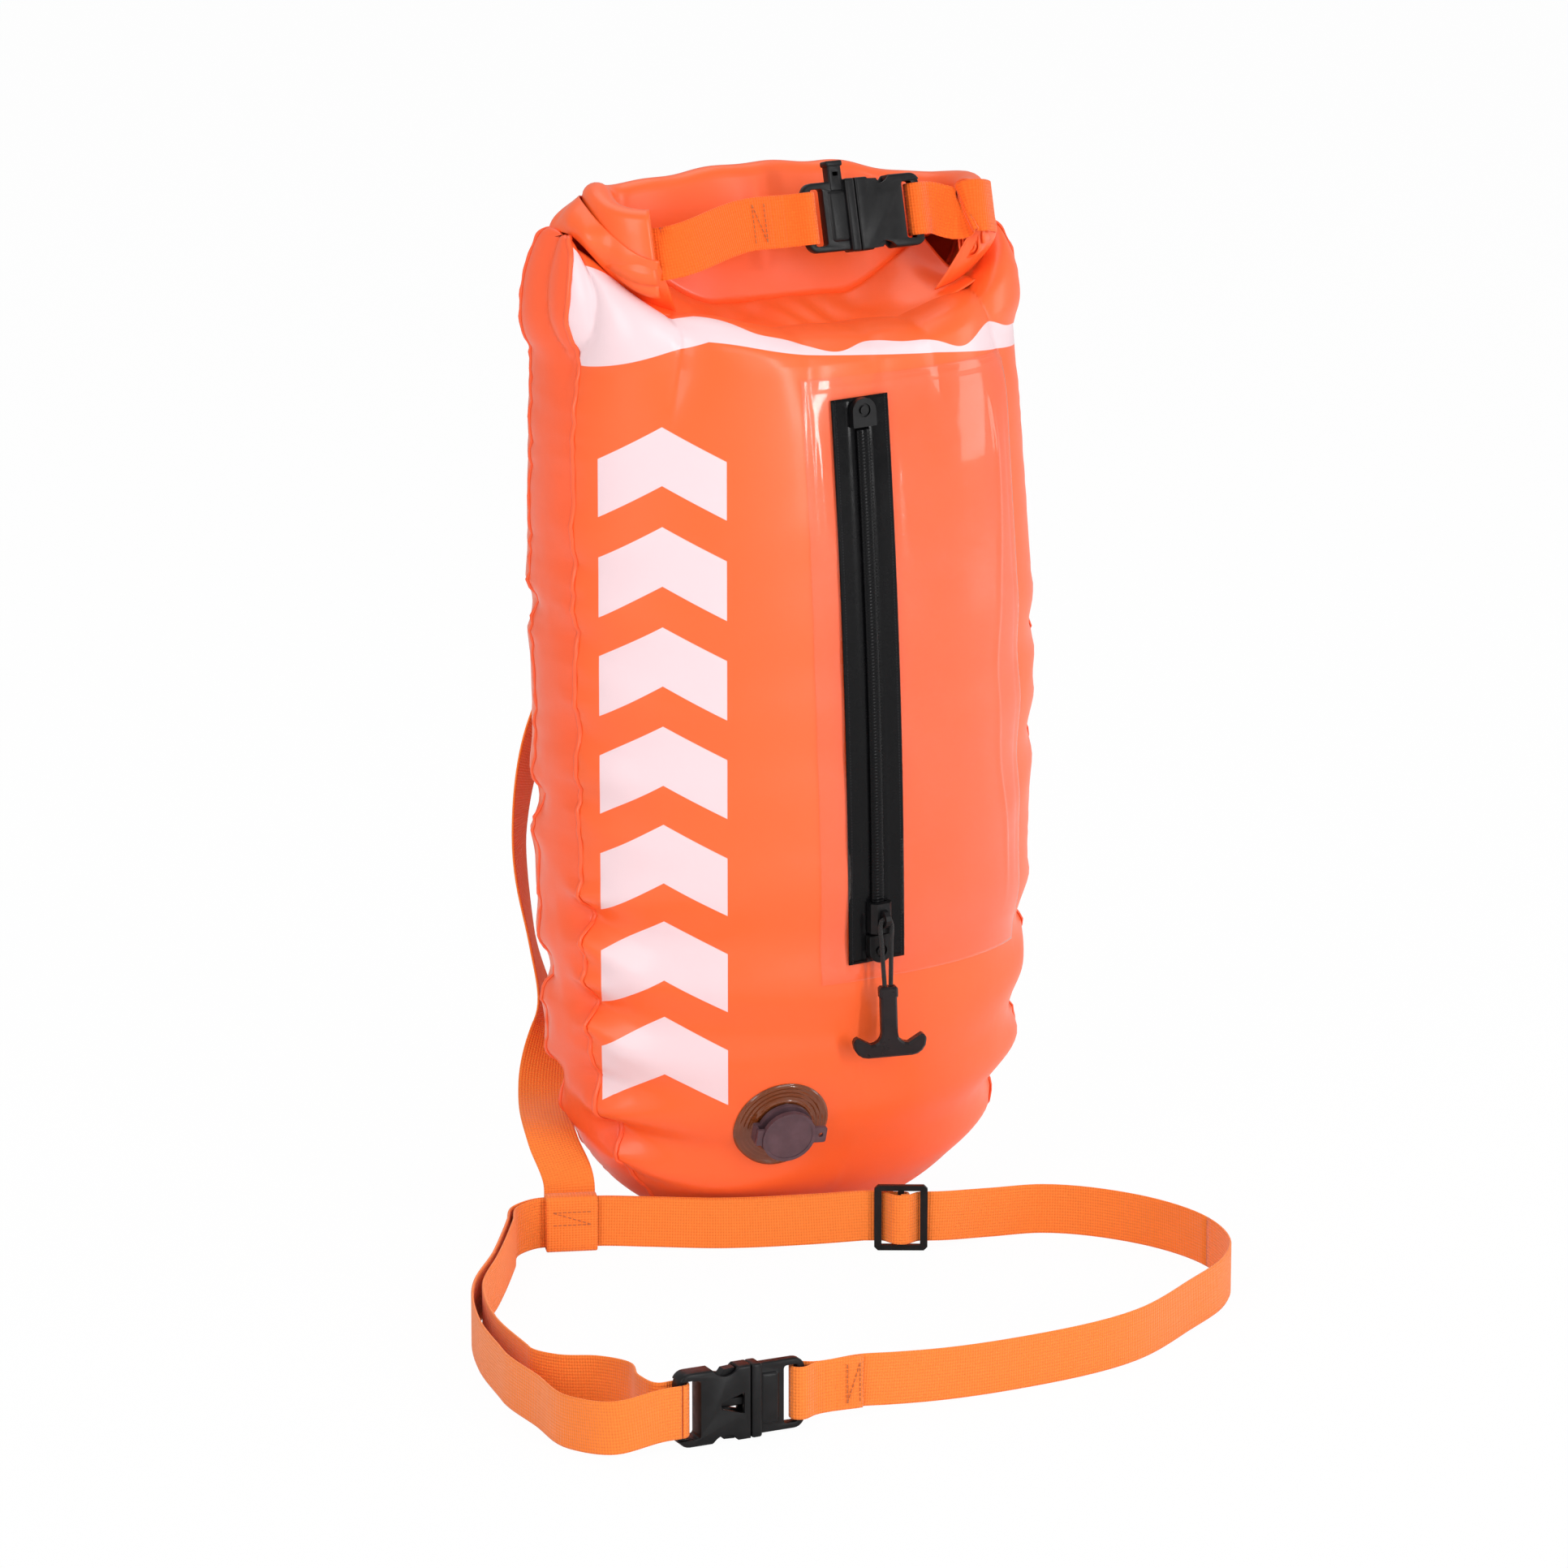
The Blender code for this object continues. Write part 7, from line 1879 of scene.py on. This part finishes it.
def make_socket(tag, place, window):
    """The socket of a side release buckle: notched waist, cavity and webbing slot."""
    long, half, thick = SOCKET_SIZE
    body = block(f"{tag}_socket", (0, -thick, -half), (long, thick, half))
    bevel(body, upright(long, half), 0.0055, 6)
    bevel(body, on_face(thick), 0.0013, 3)
    for side in (-1, 1):
        notch = start(bpy.ops.mesh.primitive_cylinder_add, "notch", vertices=48, radius=0.0076, depth=0.04,
                      location=(0.01275, 0, side * (half + 0.0038)), rotation=(math.pi / 2, 0, 0))
        cut(body, notch)
    cut_block(body, (-0.002, -0.0027, 0.0032 - half), (0.0215, 0.0027, half - 0.0032))
    cut_block(body, (0.0065, -0.003, -0.03), (0.019, 0.003, 0.03))
    cut_block(body, (long - SLOT_END, -0.02, -SLOT_HALF), (long - BUCKLE_BAR, 0.02, SLOT_HALF), 0.0015)
    for side in (-1, 1):
        near, far = sorted((side * 0.0025, side * 0.02))
        cut_block(body, (long - 0.0073, near, -0.01405), (long + 0.002, far, 0.01405))
    if window:
        tool = block("cutter", (0.0035, -0.02, -0.005), (0.015, 0.02, 0.005))
        pick(tool, lambda middle, normal: normal.x > 0.9)
        bpy.ops.transform.resize(value=(1, 1, 0.3))
        leave()
        cut(body, tool)
    soften(body)
    seat(body, place, black_plastic(), "black_plastic", "bag", f"{tag}_buckle_female")


def make_plug(tag, place, whistle):
    """The plug of a side release buckle: slotted frame, collar, tongue and perhaps a whistle."""
    long, half, thick = PLUG_SIZE
    body = block(f"{tag}_plug", (-long, -thick, -half), (-0.0006, thick, half))
    bevel(body, upright(-long, half), 0.0055, 6)
    bevel(body, on_face(thick), 0.0011, 3)
    fuse(body, rounded_block("collar", (-0.0055, -0.00475, -0.0175), (-0.0003, 0.00475, 0.0175), 0.0012))
    fuse(body, rounded_block("swell", (-0.015, -0.0037, -0.0125), (-0.0045, 0.0037, 0.0125), 0.0022, 4))
    fuse(body, rounded_block("tongue", (-0.003, -0.0015, -0.002), (0.014, 0.0015, 0.002), 0.0007))
    if whistle:
        fuse(body, rounded_block("neck", (-0.0132, -0.0029, 0.012), (-0.0058, 0.0029, 0.025), 0.0009))
        fuse(body, rounded_block("lip", (-0.0139, -0.0034, 0.0238), (-0.0051, 0.0034, 0.0265), 0.0008))
        cut_block(body, (-0.0116, -0.0016, 0.019), (-0.0074, 0.0016, 0.03))
        cut_block(body, (-0.011, -0.006, 0.0192), (-0.008, -0.001, 0.0212))
    cut_block(body, (BUCKLE_BAR - long, -0.02, -SLOT_HALF), (SLOT_END - long, 0.02, SLOT_HALF), 0.0015)
    soften(body, 0.0003)
    seat(body, place, black_plastic(), "black_plastic", f"{tag}_male", f"{tag}_buckle_male")


def make_buckles():
    """The two side release buckles; their sprung arms and the adjuster keep their solids."""
    make_socket("closure", closure_frame(), False)
    make_plug("closure", closure_frame(), True)
    make_socket("belt", belt_frame(), True)
    make_plug("belt", belt_frame(), False)
    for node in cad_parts:
        if "buckle_arm" in node or node == "tri_glide":
            paint_node(node, black_plastic())


# ---- Stage ----

@once("studio_floor")
def stage_finish(sheet):
    """White floor that shows white to the camera and keeps the buoy's soft shadow."""
    sheet.finish((0.92, 0.92, 0.92), 0.9)
    glow = sheet.node("ShaderNodeEmission")
    glow.inputs["Strength"].default_value = 1.0
    ray = sheet.node("ShaderNodeLightPath")
    seen = sheet.math("MAXIMUM", ray.outputs["Is Camera Ray"], ray.outputs["Is Transmission Ray"])
    return sheet.surface(sheet.blend(sheet.times(seen, 0.97), sheet.shader, glow))


def make_stage():
    """Floor, world, soft boxes and the camera at the photograph's angle."""
    floor = start(bpy.ops.mesh.primitive_plane_add, "studio_floor", size=30, location=(0, 0, -0.0002))
    settle(floor)
    floor.data.materials.append(stage_finish())
    world = bpy.data.worlds.new("studio")
    world.use_nodes = True
    background = world.node_tree.nodes["Background"]
    background.inputs["Color"].default_value = (1, 1, 1, 1)
    ray = world.node_tree.nodes.new("ShaderNodeLightPath")
    level = world.node_tree.nodes.new("ShaderNodeMapRange")
    level.inputs[3].default_value, level.inputs[4].default_value = WORLD_LEVEL, 1.0
    world.node_tree.links.new(ray.outputs["Is Camera Ray"], level.inputs[0])
    world.node_tree.links.new(level.outputs[0], background.inputs["Strength"])
    bpy.context.scene.world = world
    for name, place, size, power in SOFT_BOXES:
        lamp = bpy.data.lights.new(name, "AREA")
        lamp.shape, lamp.size, lamp.size_y, lamp.energy = "RECTANGLE", size[0], size[1], power
        aim(name, lamp, Vector(place), Vector((0, 0, 0.24)) - Vector(place))
    camera = bpy.data.cameras.new("photo_camera")
    camera.lens, camera.sensor_width = CAMERA_LENS, 36.0
    rise, turn = math.radians(CAMERA_ELEVATION), math.radians(CAMERA_AZIMUTH)
    way = Vector((math.sin(turn) * math.cos(rise), -math.cos(turn) * math.cos(rise), math.sin(rise)))
    place = Vector((0, 0, CAMERA_TARGET)) + way * CAMERA_DISTANCE
    bpy.context.scene.camera = aim("photo_camera", camera, place, -way)
    bpy.context.scene.view_settings.view_transform = "Standard"


def aim(name, data, place, way):
    """Put a lamp or a camera in the scene, looking along a way."""
    holder = bpy.data.objects.new(name, data)
    holder.location = place
    holder.rotation_euler = way.to_track_quat("-Z", "Y").to_euler()
    bpy.context.scene.collection.objects.link(holder)
    return holder


# ---- Add-on: properties, operators and panel ----

def colour_property(name, description, default):
    return FloatVectorProperty(name=name, description=description, default=default,
                               subtype="COLOR", size=3, min=0.0, max=1.0)


def share_property(name, description, default, most):
    return FloatProperty(name=name, description=description, default=default, min=0.0, max=most, subtype="FACTOR")


def length_property(name, description, default, least):
    return FloatProperty(name=name, description=description, default=default, min=least, max=0.004,
                         subtype="DISTANCE", unit="LENGTH", precision=4)


class SwimBuoyLook(bpy.types.PropertyGroup):
    """Sizes and colours that a user would change."""

    shell_colour: colour_property("Bag", "Colour of the coated fabric panels", (1.0, 0.13, 0.022))
    gusset_colour: colour_property("Gusset", "Colour of the side gusset and its welds", (1.0, 0.12, 0.03))
    liner_colour: colour_property("Dry bag", "Colour of the inner dry compartment", (0.9, 0.16, 0.05))
    print_colour: colour_property("Print", "Colour of the pale chevrons and band", (0.86, 0.64, 0.67))
    webbing_colour: colour_property("Belt webbing", "Colour of the belt and the leash", (1.0, 0.235, 0.032))
    closure_colour: colour_property("Closure webbing", "Colour of the closure straps", (1.0, 0.145, 0.008))
    thread_colour: colour_property("Thread", "Colour of the sewing thread", (1.0, 0.26, 0.06))
    plastic_colour: colour_property("Plastic", "Colour of buckles, slider and adjuster", (0.0045, 0.0045, 0.005))
    handle_colour: colour_property("Handle", "Colour of the zip's pull handle", (0.01, 0.0062, 0.007))
    valve_colour: colour_property("Valve", "Colour of the valve's cap, collar and neck", (0.085, 0.045, 0.055))
    flange_colour: colour_property("Flange", "Colour of the valve's translucent flange", (0.19, 0.045, 0.01))
    film_colour: colour_property("Pocket film", "Tint of the clear pocket film", (1.0, 0.62, 0.52))
    film_haze: share_property("Film haze", "Least milkiness of the clear film", 0.01, 1.0)
    crinkle_depth: length_property("Crinkle depth", "Depth of the fine crinkles along the welds", 0.0019, 0.0)
    pucker_share: share_property("Puckers", "Depth of the large puckers, 1 as on a full bag", 1.25, 2.0)
    rib_pitch: length_property("Webbing rib", "Distance from one rib of the webbing to the next", 0.0013, 0.0005)


class SWIMBUOY_OT_bag(bpy.types.Operator):
    """Build the air-filled bag: two panels, the gusset and their crimped welds"""

    bl_idname = "swimbuoy.bag"
    bl_label = "Bag"

    def execute(self, context):
        printed = coated_fabric("shell_fabric_printed", tint("shell_colour"), True)
        make_skin("front_panel", -1, printed)
        make_skin("back_panel", 1, shell_finish())
        make_skin("side_gusset", 0, gusset_finish())
        make_seam_weld("front_seam_weld", 0)
        make_seam_weld("back_seam_weld", 22)
        return {"FINISHED"}


class SWIMBUOY_OT_dry_bag(bpy.types.Operator):
    """Build the dry compartment inside the bag"""

    bl_idname = "swimbuoy.dry_bag"
    bl_label = "Dry Compartment"

    def execute(self, context):
        make_inner_bag()
        return {"FINISHED"}


class SWIMBUOY_OT_mouth(bpy.types.Operator):
    """Roll the mouth up round its stiffener"""

    bl_idname = "swimbuoy.mouth"
    bl_label = "Rolled Mouth"

    def execute(self, context):
        make_rolled_mouth()
        make_stiffener()
        return {"FINISHED"}


class SWIMBUOY_OT_closure_straps(bpy.types.Operator):
    """Lay the two closure straps and sew them"""

    bl_idname = "swimbuoy.closure_straps"
    bl_label = "Closure Straps"

    def execute(self, context):
        make_closure_straps()
        return {"FINISHED"}


class SWIMBUOY_OT_buckles(bpy.types.Operator):
    """Finish both side release buckles and the adjuster"""

    bl_idname = "swimbuoy.buckles"
    bl_label = "Buckles"

    def execute(self, context):
        make_buckles()
        return {"FINISHED"}


class SWIMBUOY_OT_pocket(bpy.types.Operator):
    """Weld the clear pocket on the front"""

    bl_idname = "swimbuoy.pocket"
    bl_label = "Pocket"

    def execute(self, context):
        make_pocket()
        return {"FINISHED"}


class SWIMBUOY_OT_zip(bpy.types.Operator):
    """Build the zip with its garages and the slider's cord"""

    bl_idname = "swimbuoy.zip"
    bl_label = "Zip"

    def execute(self, context):
        make_zip()
        make_garages()
        make_pull_cord()
        return {"FINISHED"}


class SWIMBUOY_OT_valve(bpy.types.Operator):
    """Build the inflation valve: flange, neck, collar and cap"""

    bl_idname = "swimbuoy.valve"
    bl_label = "Valve"

    def execute(self, context):
        make_flange()
        make_neck()
        make_collar()
        make_cap()
        return {"FINISHED"}


class SWIMBUOY_OT_leash(bpy.types.Operator):
    """Hang the tow leash from its patch to the belt"""

    bl_idname = "swimbuoy.leash"
    bl_label = "Leash"

    def execute(self, context):
        make_leash()
        return {"FINISHED"}


class SWIMBUOY_OT_belt(bpy.types.Operator):
    """Lay the waist belt through its adjuster and buckle"""

    bl_idname = "swimbuoy.belt"
    bl_label = "Belt"

    def execute(self, context):
        make_belt()
        return {"FINISHED"}


class SWIMBUOY_OT_stage(bpy.types.Operator):
    """Set the floor, the soft boxes and the camera"""

    bl_idname = "swimbuoy.stage"
    bl_label = "Stage"

    def execute(self, context):
        make_stage()
        return {"FINISHED"}


OPERATORS = (
    SWIMBUOY_OT_stage, SWIMBUOY_OT_bag, SWIMBUOY_OT_dry_bag, SWIMBUOY_OT_mouth,
    SWIMBUOY_OT_closure_straps, SWIMBUOY_OT_buckles, SWIMBUOY_OT_pocket, SWIMBUOY_OT_zip,
    SWIMBUOY_OT_valve, SWIMBUOY_OT_leash, SWIMBUOY_OT_belt,
)


class SWIMBUOY_PT_panel(bpy.types.Panel):
    """The buoy's look and its building steps"""

    bl_idname = "SWIMBUOY_PT_panel"
    bl_label = "Swim Buoy"
    bl_space_type = "VIEW_3D"
    bl_region_type = "UI"
    bl_category = "Swim Buoy"

    def draw(self, context):
        for name in SwimBuoyLook.__annotations__:
            self.layout.prop(context.scene.swim_buoy, name)
        for step in OPERATORS:
            self.layout.operator(step.bl_idname)


def register():
    for kind in (SwimBuoyLook, *OPERATORS, SWIMBUOY_PT_panel):
        bpy.utils.register_class(kind)
    bpy.types.Scene.swim_buoy = PointerProperty(type=SwimBuoyLook)


def unregister():
    del bpy.types.Scene.swim_buoy
    for kind in reversed((SwimBuoyLook, *OPERATORS, SWIMBUOY_PT_panel)):
        bpy.utils.unregister_class(kind)


def main():
    register()
    for step in OPERATORS:
        group, name = step.bl_idname.split(".")
        getattr(getattr(bpy.ops, group), name)()


if __name__ == "__main__":
    main()
